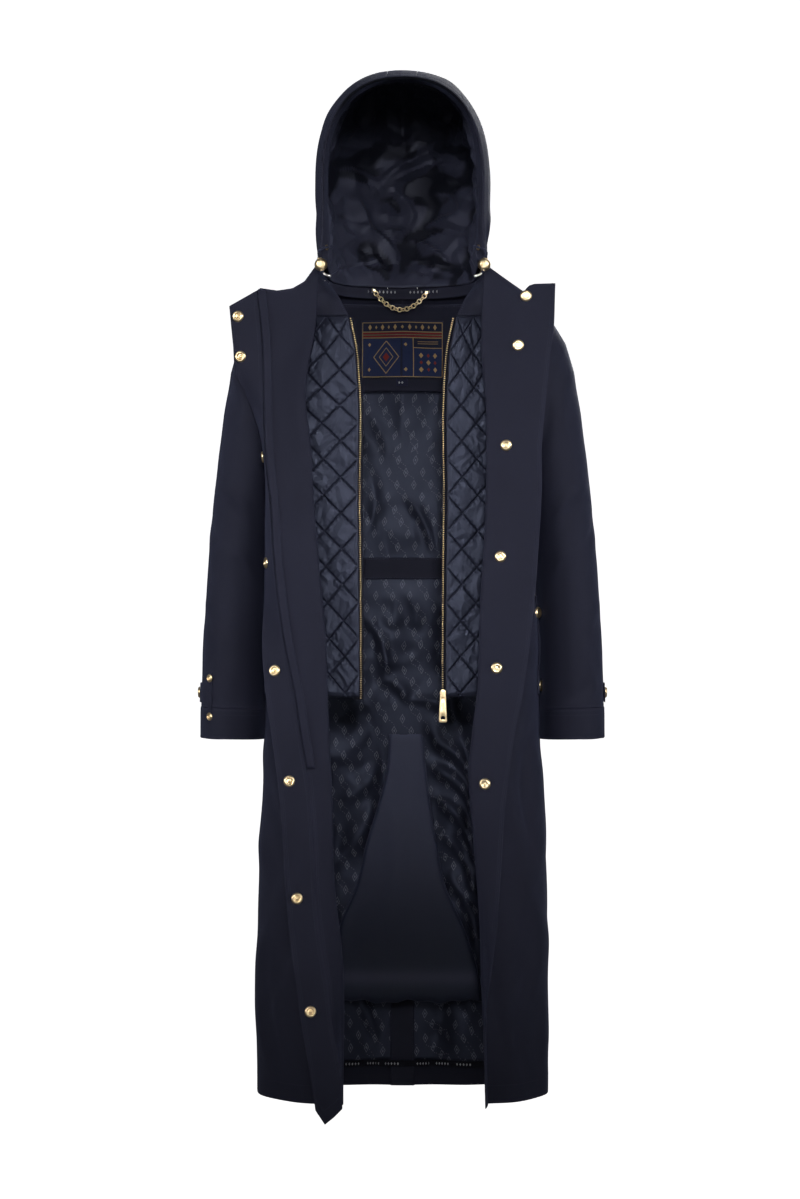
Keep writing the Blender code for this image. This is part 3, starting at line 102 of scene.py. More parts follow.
# The inner line of each front, where it turns back on itself.
FOLD_LEFT = table(
    "z x", (45, 118), (-33, 115.6), (-106, 117), (-148, 121.4), (-254, 122.9), (-353, 120.8),
    (-431, 115.6), (-510, 112.6), (-574, 110.4), (-646, 102.4), (-697, 97.4), (-747, 99.5), (-797, 103.9),
    (-909, 111.2), (-1040, 113.7), (-1200, 119),
)
FOLD_RIGHT = table(
    "z x", (45, 121.5), (-40, 126), (-126, 140.6), (-160, 142.1), (-213, 135.5), (-310, 130.5),
    (-378, 124.5), (-444, 118.7), (-510, 112.8), (-587, 110.5), (-722, 104), (-898, 96.7), (-936, 91.6),
    (-1163, 84.1), (-1200, 84),
)
# The free edge of the left front, and the zip line that ends the right one.
EDGE_LEFT = table(
    "z x y", (17, 224.8, -100), (-52, 221.5, -110), (-96, 216.1, -115), (-159, 210, -119),
    (-233, 203.7, -122), (-274, 204.1, -123), (-378, 198.6, -124), (-470, 191.2, -126),
    (-536, 183.2, -128), (-600, 173.7, -131), (-640, 165, -134), (-716, 153.3, -140), (-772, 147.4, -145),
    (-822, 144.5, -149), (-945, 134.2, -160), (-1009, 125.4, -166), (-1052, 120, -170),
    (-1200, 119.5, -176),
)
ZIP_LINE = table(
    "z x y", (4, 214.6, -110), (-67, 207.1, -118), (-131, 204.8, -121), (-195, 203.9, -123),
    (-260, 199.7, -125), (-300, 195.2, -126), (-378, 190.2, -127), (-457, 182.2, -128),
    (-523, 171.8, -129), (-587, 158.6, -131), (-646, 149.3, -133), (-722, 136.7, -137),
    (-821, 129.2, -143), (-884, 126.7, -147), (-944, 120.5, -151), (-1014, 109, -158),
    (-1064, 102.8, -164), (-1102, 95.1, -169), (-1155, 87.8, -175), (-1200, 87, -178),
)
# The free edge of the storm flap, which bends back towards the sleeve at the chest.
STORM_EDGE = table(
    "z x y", (-19, 254.5, -105), (-77, 248.7, -108), (-118, 243.4, -106), (-142, 232.7, -102),
    (-174, 219.9, -94), (-238, 204.8, -85), (-353, 203.2, -86), (-440, 203.5, -93), (-523, 206.1, -108),
    (-574, 201.7, -124), (-653, 190.4, -137), (-722, 181, -143), (-822, 173, -150), (-944, 162.5, -158),
    (-1060, 147, -168), (-1130, 135, -175), (-1200, 124, -180),
)
# How far each front's top edge dips below the neckline, along the turned-back part.
TOP_LEFT = table(
    "along dip", (0, 0), (0.27, -0.020), (0.55, -0.040), (0.60, -0.031), (0.70, -0.028), (1, -0.027), scale=1,
)
TOP_RIGHT = table(
    "along dip", (0, 0), (0.20, -0.0245), (0.40, -0.035), (0.65, -0.0385), (0.93, -0.035), (1, -0.039),
    scale=1,
)

# %% The tables of the sleeves, hood, bibs and gusset
SLEEVE = table(
    "outer_x outer_z inner_x inner_z depth", (202.6, -21.4, 175.3, -231, 86), (226, -38, 178, -236, 83),
    (243, -66, 181, -250, 80), (256, -110, 185, -275, 77), (266, -170, 189, -305, 73),
    (275, -240, 194.5, -345, 69), (283, -315, 200, -395, 65), (289.5, -390, 205, -450, 62),
    (294.5, -460, 207.5, -505, 60), (298.5, -530, 209, -555, 58), (300.5, -609, 211, -612, 56),
)
CUFF = table(
    "outer_x outer_z inner_x inner_z depth", (301.3, -609.6, 210.4, -612.6, 56.8),
    (301.7, -634, 210.4, -635.5, 56.6), (302, -656, 211, -657.5, 56.2),
)
# Arches of the hood from its rim (turn 0) down to the back of the neck (turn 1). The
# sides rise over the first part, side, of the height, and the rest is a rounded top.
HOOD = table(
    "turn apex_y apex_z wide side power",
    (0.00, -0.118, 0.318, 0.1240, 0.41, 2.4), (0.15, -0.055, 0.336, 0.1325, 0.41, 2.4),
    (0.30, 0.012, 0.336, 0.1345, 0.40, 2.4), (0.45, 0.072, 0.315, 0.1335, 0.37, 2.3),
    (0.60, 0.118, 0.268, 0.1310, 0.32, 2.3), (0.72, 0.138, 0.205, 0.1280, 0.25, 2.2),
    (0.84, 0.130, 0.125, 0.1220, 0.15, 2.2), (0.93, 0.103, 0.060, 0.1160, 0.05, 2.2),
    (1.00, 0.075, 0.020, 0.1120, 0.00, 2.2), scale=1,
)
# The bibs hang behind the folds: their zip edge, and how far they tuck in past the fold.
BIB = table(
    "z inner_x tuck inner_y outer_y", (-30, 80, 3, -74, -64), (-80, 70, 4, -78, -68),
    (-130, 66, 6, -80, -71), (-300, 65.5, 12, -84, -75), (-440, 64, 17, -90, -82),
    (-593, 63.5, 19, -94, -86),
)
BIB_TOP = BIB["z"][0]
YOKE_FOOT = 0.0006      # between a bib and the plain yoke above it
GUSSET = table(
    "z left right y", (-655, 15, 26, 83), (-710, 19, 31, 81), (-765, 33, 38, 80), (-820, 50, 47, 79),
    (-885, 65, 60, 78), (-954, 92, 90, 78), (-1010, 93, 108, 79), (-1060, 92, 116, 80),
)

# %% [markdown]
# ## Lines and grids of points
#
# A few small helpers do all the drafting. `smooth` reads a table as a curve, `along`
# walks a line by its length, `coons` fills a patch between four edges, and `sampled`
# reads any place on a grid. They work on whole arrays at once, which keeps a coat of
# many thousand points quick to make.

# %% Reading tables and walking lines
norm = np.linalg.norm
line = np.linspace


def smooth(tab, column, at, key="z"):
    """A column's value at each place of the key column, on a curve through the rows."""
    x, y = tab[key], tab[column]
    if x[0] > x[-1]:
        x, y = x[::-1], y[::-1]
    slope = np.gradient(y, x)
    at = np.clip(at, x[0], x[-1])
    i = np.clip(np.searchsorted(x, at) - 1, 0, len(x) - 2)
    h = x[i + 1] - x[i]
    t = (at - x[i]) / h
    return (
        (2 * t**3 - 3 * t**2 + 1) * y[i] + (t**3 - 2 * t**2 + t) * h * slope[i]
        + (3 * t**2 - 2 * t**3) * y[i + 1] + (t**3 - t**2) * h * slope[i + 1]
    )


def ramp(value):
    """A value that stops at 0 and at 1."""
    return np.clip(value, 0, 1)


def net(rows, columns):
    """Every pair of a row's value and a column's value, as two grids."""
    return np.meshgrid(rows, columns, indexing="ij")


def unit(vectors):
    return vectors / norm(vectors, axis=-1, keepdims=True)


def spin(count):
    """The angles of a full turn in equal steps."""
    return line(0, 2 * np.pi, count, endpoint=False)


def run_of(points):
    """How far each point lies along its line."""
    return np.concatenate([[0], np.cumsum(norm(np.diff(points, axis=0), axis=1))])


def along(points, fractions):
    """The points at these fractions of a line's length."""
    points = np.asarray(points, float)
    run = run_of(points)
    at = np.asarray(fractions) * run[-1]
    return np.stack([np.interp(at, run, points[:, k]) for k in range(3)], axis=1)


def coons(top, bottom, left, right):
    """A patch between four edge lines: rows run from top to bottom."""
    u = line(0, 1, len(top))[None, :, None]
    v = line(0, 1, len(left))[:, None, None]
    ruled = (1 - v) * top[None] + v * bottom[None] + (1 - u) * left[:, None] + u * right[:, None]
    corners = (
        (1 - u) * (1 - v) * top[0] + u * (1 - v) * top[-1]
        + (1 - u) * v * bottom[0] + u * v * bottom[-1]
    )
    return ruled - corners


def sampled(grid, v, u):
    """Points of a grid at fractions v of its rows and u of its columns."""
    rows, columns = grid.shape[0] - 1, grid.shape[1] - 1
    a = np.clip(np.asarray(v, float) * rows, 0, rows - 1e-9)
    b = np.clip(np.asarray(u, float) * columns, 0, columns - 1e-9)
    i, j = a.astype(int), b.astype(int)
    s, t = (a - i)[..., None], (b - j)[..., None]
    return (
        (1 - s) * (1 - t) * grid[i, j] + (1 - s) * t * grid[i, j + 1]
        + s * (1 - t) * grid[i + 1, j] + s * t * grid[i + 1, j + 1]
    )


def normals(grid):
    """Unit normals of a grid of points, by its rows and columns."""
    n = np.cross(np.gradient(grid, axis=1), np.gradient(grid, axis=0))
    return n / np.maximum(norm(n, axis=2, keepdims=True), 1e-12)


def mirrored(grid):
    return grid * np.array([-1.0, 1.0, 1.0])


# %% [markdown]
# ## The shape of the body
#
# Below the underarm each row of the body is a rounded oblong, cut in half at the side
# seam. Above it, a Coons patch joins four sewn edges: the shoulder and neckline, the
# armhole, the row at the underarm and the middle. The skirt's deep folds are waves that
# grow towards the hem.

# %% The edges and rows of the body
def waves(z, share, top, bottom, depth, count, phase):
    """Skirt folds that grow from nothing at the top to their depth at the bottom."""
    grow = ramp((top - z) / (top - bottom)) ** 1.4
    window = np.sin(np.pi * share) ** 0.7
    drift = 0.8 * np.sin(3.1 * z + phase)
    return depth * grow * window * np.sin(2 * np.pi * count * share + phase + drift)


def half_section(z, depth, power, end_x):
    """A body row in plan from the side seam round to where x is end_x."""
    width = smooth(BODY, "half_width", z)
    t = line(0, math.acos(min(1.0, max(0.0, end_x / width)) ** (power / 2)), 160)
    x = width * np.cos(t) ** (2 / power)
    y = depth * np.sin(t) ** (2 / power)
    return along(np.stack([x, y, np.full_like(x, z)], axis=1), line(0, 1, ACROSS))


def armhole(turn, towards):
    """Points of the armhole from the shoulder tip (turn 0) to the underarm (turn 1)."""
    tip, arm = np.array(SHOULDER_TIP), np.array(UNDERARM)
    a = np.pi * turn[:, None]
    side = np.array([0.0, towards * ARMHOLE_DEPTH, 0.0])
    return (tip + arm) / 2 + np.cos(a) * (tip - arm) / 2 + np.sin(a) * side


def neck_back(t):
    """The back neckline from the neck side (t 0) to the nape (t 1)."""
    a, power = t * np.pi / 2, 2.2
    x = NECK_SIDE[0] * np.cos(a) ** (2 / power)
    y = NAPE[1] * np.sin(a) ** (2 / power)
    z = NECK_SIDE[2] + (NAPE[2] - NECK_SIDE[2]) * y / NAPE[1]
    return np.stack([x, y, z], axis=1)


def neck_front(t, fold):
    """The front neckline from the neck side (t 0) to the roll of the front (t 1)."""
    t = np.asarray(t)[:, None]
    end = np.array([smooth(fold, "x", NECK_FRONT_Z) + 0.006, NECK_FRONT_Y, NECK_FRONT_Z])
    bulge = np.array([0.004, 0.0, -0.004]) * np.sin(np.pi * t)
    return (1 - t) * np.array(NECK_SIDE) + t * end + bulge


UPPER, LOWER, ACROSS = 81, 241, 121   # rows and columns of the worked-out surfaces
ARM_ROWS = 0.22                       # share of the rows above the underarm


def body_points(surface, v, u):
    """Points of half a body, from 0 at its neckline to 1 at its hem and u across."""
    v = np.asarray(v, float)
    above = sampled(surface[0], v / ARM_ROWS, u)
    below = sampled(surface[1], (v - ARM_ROWS) / (1 - ARM_ROWS), u)
    return np.where((v < ARM_ROWS)[..., None], above, below)


def half_surface(towards, column, power, neck, inner_x, centre, hem, skirt):
    """The left half of a back (towards 1) or a front (-1) from its armhole and side seam
    inwards, as two grids that meet at the underarm."""
    z0, t, share = UNDERARM[2], line(0, 1, UPPER), line(0, 1, ACROSS)

    def row_at(z):
        return half_section(z, towards * smooth(BODY, column, z), power, inner_x(z))

    half = line(0, 1, ACROSS // 2 + 1)[:, None]
    rise = np.array([0.0, 0.0, 0.003]) * np.sin(np.pi * half)
    shoulder = (1 - half) * np.array(SHOULDER_TIP) + half * np.array(NECK_SIDE) + rise
    top = np.concatenate([shoulder, along(neck, half[:, 0])[1:]])
    low = row_at(z0)
    upper = coons(top, low, armhole(t, towards), centre(t, low[-1, 1]))
    lower = []
    for w in line(0, 1, LOWER):
        z = z0 + (hem - z0) * w
        row = row_at(z)
        row[:, 1] += towards * waves(z, share, *skirt) * np.sqrt(share)
        row[:, 2] += w * (HEM_SIDE - hem) * (1 - share) ** 2
        lower.append(row)
    return upper, np.array(lower)


def back_surface():
    """The left half of the back, from the armhole and side seam to the centre line."""
    def centre(t, last_y):
        y = np.interp(t, (0, 0.1, 0.3, 0.6, 1), (0.075, 0.083, 0.099, 0.110, last_y))
        return np.stack([0 * t, y, NAPE[2] + (UNDERARM[2] - NAPE[2]) * t], axis=1)

    return half_surface(1, "back", 2.4, neck_back(line(0, 1, 80)), lambda z: 0.0, centre, HEM_BACK,
                        (-0.50, -1.19, 0.0065, 2.5, 0.6))


def front_surface(fold, phase):
    """One front from the armhole and side seam to the start of its roll."""
    def roll_x(z):
        return smooth(fold, "x", z) + 0.006

    def centre(t, last_y):
        z = NECK_FRONT_Z + (UNDERARM[2] - NECK_FRONT_Z) * t
        return np.stack([roll_x(z), NECK_FRONT_Y + (last_y - NECK_FRONT_Y) * t, z], axis=1)

    return half_surface(-1, "front", 2.8, neck_front(line(0, 1, 80), fold), roll_x, centre, HEM_FRONT,
                        (-0.56, -1.18, 0.0075, 1.5, phase))


# %% The roll where a front turns back
def bezier(a, b, c, d, t):
    t = np.asarray(t)[:, None]
    return (1 - t) ** 3 * a + 3 * t * (1 - t) ** 2 * b + 3 * t**2 * (1 - t) * c + t**3 * d


def front_grid(surface, edge, top, v, u, roll, flap):
    """A whole front: its body columns at u, the roll at its fractions and then the part
    that is turned back, out to its free edge, at the fractions flap."""
    flap = np.array(flap)
    rows = []
    for at in v:
        body = body_points(surface, np.full(len(u), at), np.array(u))
        before = body_points(surface, np.array([at]), np.array([0.94]))[0]
        start = body[-1]
        heading = unit(start - before)
        fade = ramp(1 - at / (0.75 * ARM_ROWS)) ** 1.5
        dip = np.interp(flap, top["along"], top["dip"]) * fade
        z_end = start[2] + dip[-1]
        end = np.array([smooth(edge, "x", z_end), smooth(edge, "y", z_end), start[2]])
        begin = start + np.array([-0.001, -2 * ROLL, 0.0])
        handle = 4 / 3 * ROLL
        turn = bezier(start, start + heading * handle, begin - unit(end - begin) * handle, begin, roll)
        back = begin + (end - begin) * flap[:, None]
        back[:, 1] -= 0.0025 * np.sin(np.pi * flap)
        back[:, 2] += dip
        rows.append(np.concatenate([body, turn, back]))
    return np.array(rows)


# %% The arches of the hood and the rings of a sleeve
def hood_arch(turn, count, base_fold):
    """One arch of the hood's left half, from the neckline up to the middle."""
    t = line(0, 1, 160)
    if turn > 0.999:
        return along(neck_back(t), line(0, 1, count))
    base = neck_front([1 - turn], base_fold)[0]
    apex_y, apex_z, wide, side, power = (
        float(smooth(HOOD, c, turn, "turn")) for c in ("apex_y", "apex_z", "wide", "side", "power")
    )
    side = max(side, 0.0)
    low = t < 0.3
    a = ramp((t - 0.3) / 0.7) * np.pi / 2
    h = np.where(low, t / 0.3 * side, side + (1 - side) * np.sin(a) ** (2 / power))
    rise = base[0] + (wide - base[0]) * np.sin(np.pi / 2 * ramp(t / 0.3))
    x = np.where(low, rise, wide * np.cos(a) ** (2 / power))
    y = base[1] + (apex_y - base[1]) * h
    z = base[2] + (apex_z - base[2]) * h
    return along(np.stack([x, y, z], axis=1), line(0, 1, count))


def ring(tab, at, angles, out=0.0):
    """Rings round a sleeve at rows at of its table, moved out from it by out."""
    rows = []
    index = np.arange(len(tab["depth"]), dtype=float)
    a = angles[:, None]
    for i in at:
        ox, oz, ix, iz, depth = (
            np.interp(i, index, tab[c])
            for c in ("outer_x", "outer_z", "inner_x", "inner_z", "depth")
        )
        outer, inner = np.array([ox, 0, oz]), np.array([ix, 0, iz])
        half = (outer - inner) / 2
        half = half * (1 + out / norm(half))
        rows.append((outer + inner) / 2 + np.cos(a) * half - np.sin(a) * np.array([0, depth + out, 0]))
    return np.array(rows)

# %% [markdown]
# ## Camera, floor and light
#
# The camera stands five metres off, level with the waist, with a long lens, so the coat
# keeps its true proportions. Soft lamps stand above the head, as in a garment
# studio: a key from the right, a fill from the left and one behind the camera that
# reaches inside the open coat. A grid narrows each, so the light falls off towards the
# hem, and the rim of the hood shades its top. Two weaker lamps light the outer sides of
# the sleeves, one the back, and a large dim card is there for the metal to reflect.

# %% Camera and studio
studio = bpy.context.scene
studio.view_settings.view_transform = "Standard"


def put(name, data, body=None):
    """A new object of the scene, which rides on a body if one is named."""
    made = bpy.data.objects.new(name, data)
    studio.collection.objects.link(made)
    if body:
        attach(made, body)
    return made


def lamp(name, place, aim, size, power, spread):
    """A soft lamp that looks at the point aim, with a grid that narrows it to spread degrees."""
    light = bpy.data.lights.new(name, "AREA")
    light.shape, light.size, light.size_y = "RECTANGLE", size[0], size[1]
    light.energy, light.spread = power, math.radians(spread)
    made = put(name, light)
    made.location = place
    made.rotation_euler = (Vector(aim) - Vector(place)).to_track_quat("-Z", "Y").to_euler()
    made.visible_camera = False
    return made


lens = bpy.data.cameras.new("camera")
lens.lens, lens.sensor_width = 100.08, 36.0
lens.clip_end = 60.0
camera = put("camera", lens)
camera.location = (-0.00375, -5.0, -0.449)
camera.rotation_euler = (math.pi / 2, 0, 0)
studio.camera = camera
lamp("key", (2.1, -2.1, 0.65), (0.12, 0, -0.33), (0.9, 0.9), 1.5, 36)
lamp("fill", (-2.1, -2.2, 0.65), (-0.12, 0, -0.33), (0.9, 0.9), 1.3, 36)
lamp("front", (0.10, -5.3, 0.95), (0, 0, -0.34), (0.8, 0.8), 2.0, 19)
lamp("side_left", (2.7, -1.2, 0.2), (0.2, 0, -0.30), (1.0, 1.4), 1.7, 30)
lamp("side_right", (-2.7, -1.2, 0.2), (-0.2, 0, -0.28), (1.0, 1.4), 1.8, 28)
lamp("back", (0.7, 3.4, 1.0), (0, 0.1, -0.45), (2.0, 2.0), 15, 60)
card = lamp("card", (0.0, -6.2, -0.3), (0, 0, -0.4), (5.0, 4.0), 45, 180)
card.visible_diffuse = False
world = bpy.data.worlds.new("studio")
world.use_nodes = True
world.node_tree.nodes["Background"].inputs["Color"].default_value = (1, 1, 1, 1)
world.node_tree.nodes["Background"].inputs["Strength"].default_value = 0.11
studio.world = world

# %% [markdown]
# ## Small node helpers
#
# A material is a handful of nodes joined by links. Writing them by hand is long, so
# `add` makes a node with its inputs already set or joined, and `calc` makes one sum.
# `mix` and `noise` are the two that every material here asks for. `group` makes a node
# group with named inputs and outputs: an effect that many cloths share, such as the
# weave, is built once and then placed with its own values.

# %% Node helpers
def feed(tree, node, inputs):
    """Sets a node's inputs to values, or joins them to other nodes' outputs."""
    for key, value in dict(inputs).items():
        if isinstance(value, bpy.types.NodeSocket):
            tree.links.new(value, node.inputs[key])
        else:
            node.inputs[key].default_value = value


def add(tree, kind, inputs=(), **settings):
    """A new node with its settings made and its inputs set or joined."""
    made = tree.nodes.new(kind)
    for name, value in settings.items():
        setattr(made, name, value)
    feed(tree, made, inputs)
    return made


def calc(tree, operation, *values):
    return add(tree, "ShaderNodeMath", dict(enumerate(values)), operation=operation).outputs[0]


def centred(tree, value, share):
    """A value from 0 to 1 made into one from minus to plus half the share."""
    return calc(tree, "MULTIPLY", calc(tree, "SUBTRACT", value, 0.5), share)


def mix(tree, factor, first, second):
    """A blend of two colours, each a socket or three numbers."""
    first, second = (c if isinstance(c, bpy.types.NodeSocket) else (*c, 1) for c in (first, second))
    return add(tree, "ShaderNodeMix", {0: factor, 6: first, 7: second}, data_type="RGBA").outputs[2]


def noise(tree, place, scale, detail):
    inputs = {"Vector": place, "Scale": scale, "Detail": detail}
    return add(tree, "ShaderNodeTexNoise", inputs).outputs["Fac"]


def sockets(tree, inputs, outputs):
    """Gives a tree its inputs (name, kind, default) and its outputs (name, kind)."""
    for label, what, default in inputs:
        socket = tree.interface.new_socket(label, in_out="INPUT", socket_type="NodeSocket" + what)
        if default is not None:
            socket.default_value = default
    for label, what in outputs:
        tree.interface.new_socket(label, in_out="OUTPUT", socket_type="NodeSocket" + what)


def group(name, inputs, outputs):
    """A shader node group, its inputs as sockets and the node that takes its outputs."""
    tree = bpy.data.node_groups.new(name, "ShaderNodeTree")
    sockets(tree, inputs, outputs)
    return tree, add(tree, "NodeGroupInput").outputs, add(tree, "NodeGroupOutput")


def use(tree, shared, inputs):
    """Places a node group in a material with its own values."""
    return add(tree, "ShaderNodeGroup", inputs, node_tree=shared).outputs


def new_look(name):
    """A new material with its tree, its shader and the place that its textures read."""
    made = bpy.data.materials.new(name)
    made.use_nodes = True
    tree = made.node_tree
    return made, tree, tree.nodes["Principled BSDF"], add(tree, "ShaderNodeTexCoord").outputs


# %% [markdown]
# ## Weave, tone and rubbed edges
#
# Woven cloth is two sets of threads that pass over and under each other. Seen close, each
# thread is a small rounded bump, and a twill steps them sideways into fine diagonals. The
# group works it out from the panel's own UV map, which is in metres, so that the threads
# follow the grain of the cloth. Two more groups vary the tone over the panel a little
# and lighten the edges, where a coat is rubbed first.

# %% Groups that the cloths share
weave, ins, outs = group(
    "tight_weave",
    [("UV", "Vector", None), ("Threads", "Float", 1400.0), ("Step", "Float", 0.5)],
    [("Height", "Float")],
)
split = add(weave, "ShaderNodeSeparateXYZ", {0: ins["UV"]})
warp = calc(weave, "MULTIPLY", split.outputs[0], ins["Threads"])
weft = calc(weave, "MULTIPLY", split.outputs[1], ins["Threads"])
stepped = calc(weave, "ADD", warp, calc(weave, "MULTIPLY", calc(weave, "FLOOR", weft), ins["Step"]))
over, under = (
    calc(weave, "ABSOLUTE", calc(weave, "SINE", calc(weave, "MULTIPLY", thread, math.pi)))
    for thread in (stepped, weft)
)
feed(weave, outs, {"Height": calc(weave, "MULTIPLY", over, under)})

tone, ins, outs = group(
    "cloth_tone",
    [("Place", "Vector", None), ("Size", "Float", 9.0), ("Amount", "Float", 0.2)],
    [("Factor", "Float"), ("Grain", "Float")],
)
broad = centred(tone, noise(tone, ins["Place"], ins["Size"], 3.0), ins["Amount"])
fine = noise(tone, ins["Place"], 420.0, 2.0)
grain = calc(tone, "MULTIPLY", centred(tone, fine, 0.5), ins["Amount"])
feed(tone, outs, {"Factor": calc(tone, "ADD", 0.5, calc(tone, "ADD", broad, grain)), "Grain": fine})

rubbed, ins, outs = group(
    "rubbed_edge",
    [("Place", "Vector", None), ("Edge", "Float", 0.0), ("Amount", "Float", 0.5)],
    [("Mask", "Float")],
)
worn = calc(rubbed, "MULTIPLY", noise(rubbed, ins["Place"], 60.0, 4.0), ins["Amount"])
feed(rubbed, outs, {"Mask": calc(rubbed, "MULTIPLY", ins["Edge"], worn)})
print("shared groups:", [g.name for g in bpy.data.node_groups])

# %% [markdown]
# ## The cloths
#
# The outer cloth is a matt technical twill, almost black but plainly blue where light
# falls on it. Its colour runs between a darker and a lighter navy by the tone group,
# the rubbed edges lighten it a little further, and its sheen is the soft bloom that
# short fibres give at a glancing angle. The same recipe with other numbers makes the
# tapes, the woven label and the thread.

# %% The recipe for a woven cloth
def cloth_look(name, dark, light, rough, threads=1400.0, step=0.5, bump=0.25, sheen=0.10,
               specular=0.08, amount=1.0, wear=0.30):
    """A woven cloth between two close colours, with its weave as a bump."""
    made, tree, shader, place = new_look(name)
    edge = add(tree, "ShaderNodeAttribute", attribute_name="edge").outputs["Fac"]
    shade = use(tree, tone, {"Place": place["Object"], "Amount": amount})
    rub = use(tree, rubbed, {"Place": place["Object"], "Edge": edge, "Amount": wear})
    colour = mix(tree, shade["Factor"], dark, light)
    paler = tuple(min(1, c * 2.2 + 0.006) for c in light)
    threads_up = use(tree, weave, {"UV": place["UV"], "Threads": threads, "Step": step})
    raised = calc(tree, "ADD", threads_up["Height"], calc(tree, "MULTIPLY", shade["Grain"], 0.4))
    relief = add(tree, "ShaderNodeBump", {"Height": raised, "Strength": bump, "Distance": 0.0004})
    dull = add(tree, "ShaderNodeMapRange", {0: shade["Factor"], 3: rough - 0.06, 4: rough + 0.06})
    feed(tree, shader, {
        "Base Color": mix(tree, rub["Mask"], colour, paler), "Roughness": dull.outputs[0],
        "Normal": relief.outputs[0], "Sheen Weight": sheen, "Sheen Roughness": 0.45,
        "Sheen Tint": (0.40, 0.46, 0.80, 1), "Specular IOR Level": specular})
    return made


def thread_look(name, dark, light, rough, bump=0.7):
    """Loose thread: finer than a cloth's, and rounder."""
    return cloth_look(name, dark, light, rough, 2600.0, 0.5, bump, 0.1)


SHELL_CLOTH = cloth_look("shell_cloth", (0.0120, 0.0127, 0.0235), (0.0165, 0.0174, 0.0315), 0.66)
FACING_CLOTH = cloth_look("facing_cloth", (0.0150, 0.0158, 0.0270), (0.0205, 0.0214, 0.0365), 0.68)
TAPE_CLOTH = cloth_look("woven_tape", (0.005, 0.0052, 0.009), (0.008, 0.0084, 0.014), 0.75, 900.0, 1.0, 0.5)
LABEL_CLOTH = cloth_look("label_ground", (0.012, 0.013, 0.028), (0.020, 0.022, 0.045), 0.7, 2200.0, 1.0, 0.4)
GOLD_THREAD = thread_look("gold_thread", (0.26, 0.175, 0.080), (0.40, 0.28, 0.13), 0.5)
RED_THREAD = thread_look("red_thread", (0.14, 0.018, 0.015), (0.22, 0.032, 0.026), 0.6)
PALE_THREAD = thread_look("pale_thread", (0.30, 0.31, 0.34), (0.42, 0.43, 0.46), 0.7, 0.6)
BLUE_THREAD = thread_look("blue_thread", (0.013, 0.019, 0.052), (0.021, 0.030, 0.080), 0.6, 0.5)
GUSSET_CLOTH = cloth_look(
    "gusset_cloth", (0.0430, 0.0470, 0.0780), (0.0540, 0.0590, 0.0970), 0.56, specular=0.1)
SEWING = cloth_look(
    "sewing_thread", (0.010, 0.011, 0.020), (0.018, 0.019, 0.034), 0.55, 5000.0, 0.5, 0.5, 0.2)
CORD_CLOTH = cloth_look(
    "braided_cord", (0.008, 0.009, 0.017), (0.014, 0.015, 0.027), 0.7, 900.0, 0.5, 0.9, 0.3)

# %% [markdown]
# ## Satin, nylon, printed lining and gold
#
# The hood's lining is a satin: smooth, close and shiny, so its folds show as bright
# and dark shapes. The quilted nylon is a little less shiny. Both, like the hood's facing
# and the gusset, carry painted shade: their colour is painted darker deep in a fold and
# in other shaded places, by an attribute that their panels store. The back's lining has
# a small staggered motif woven in, paler and shinier than its ground. The motif here is a
# plain lozenge with a dot and a dashed line between, set out on the panel's UV map, in metres.
# The metal is a light gold plate with fine scratches in its gloss.

# %% Satin, nylon and gold
def smooth_look(name, dark, light, rough, specular, tint=(0.62, 0.70, 1.0), bump=0.08):
    """A close, shiny cloth: satin or nylon. Its dye tints what it reflects."""
    made = cloth_look(name, dark, light, rough, 2600.0, 0.5, bump, 0.05, specular, 0.8, 0.1)
    made.node_tree.nodes["Principled BSDF"].inputs["Specular Tint"].default_value = (*tint, 1)
    return made


def recolour(material, mask, share, colour):
    """Blends a colour over what a material already has, where the mask is high."""
    tree = material.node_tree
    shader = tree.nodes["Principled BSDF"]
    ground = shader.inputs["Base Color"].links[0].from_socket
    feed(tree, shader, {"Base Color": mix(tree, calc(tree, "MULTIPLY", mask, share), ground, colour)})


HOOD_SATIN = smooth_look("hood_satin", (0.0300, 0.0320, 0.0520), (0.0400, 0.0425, 0.0690), 0.48, 0.25,
                         (0.74, 0.78, 1.0), 0.05)
QUILT_NYLON = smooth_look("quilted_nylon", (0.0120, 0.0132, 0.0225), (0.0170, 0.0186, 0.0310), 0.46, 0.32)
PRINTED = smooth_look("printed_lining", (0.0110, 0.0122, 0.0210), (0.0155, 0.0172, 0.0290), 0.48, 0.28)
# Painted shade: where a panel's stored seam value is high, its colour is blended towards near black, and on
# the gusset towards deep blue.
PAINTED_SHADE_BLACK, PAINTED_SHADE_BLUE = (0.0018, 0.0020, 0.0036), (0.0060, 0.0085, 0.0180)
for material, share, deep in (
    (HOOD_SATIN, 0.94, PAINTED_SHADE_BLACK), (QUILT_NYLON, 0.55, PAINTED_SHADE_BLACK), (FACING_CLOTH, 0.88, PAINTED_SHADE_BLACK),
    (GUSSET_CLOTH, 0.80, PAINTED_SHADE_BLUE),
):
    seam = add(material.node_tree, "ShaderNodeAttribute", attribute_name="seam")
    recolour(material, seam.outputs["Fac"], share, deep)

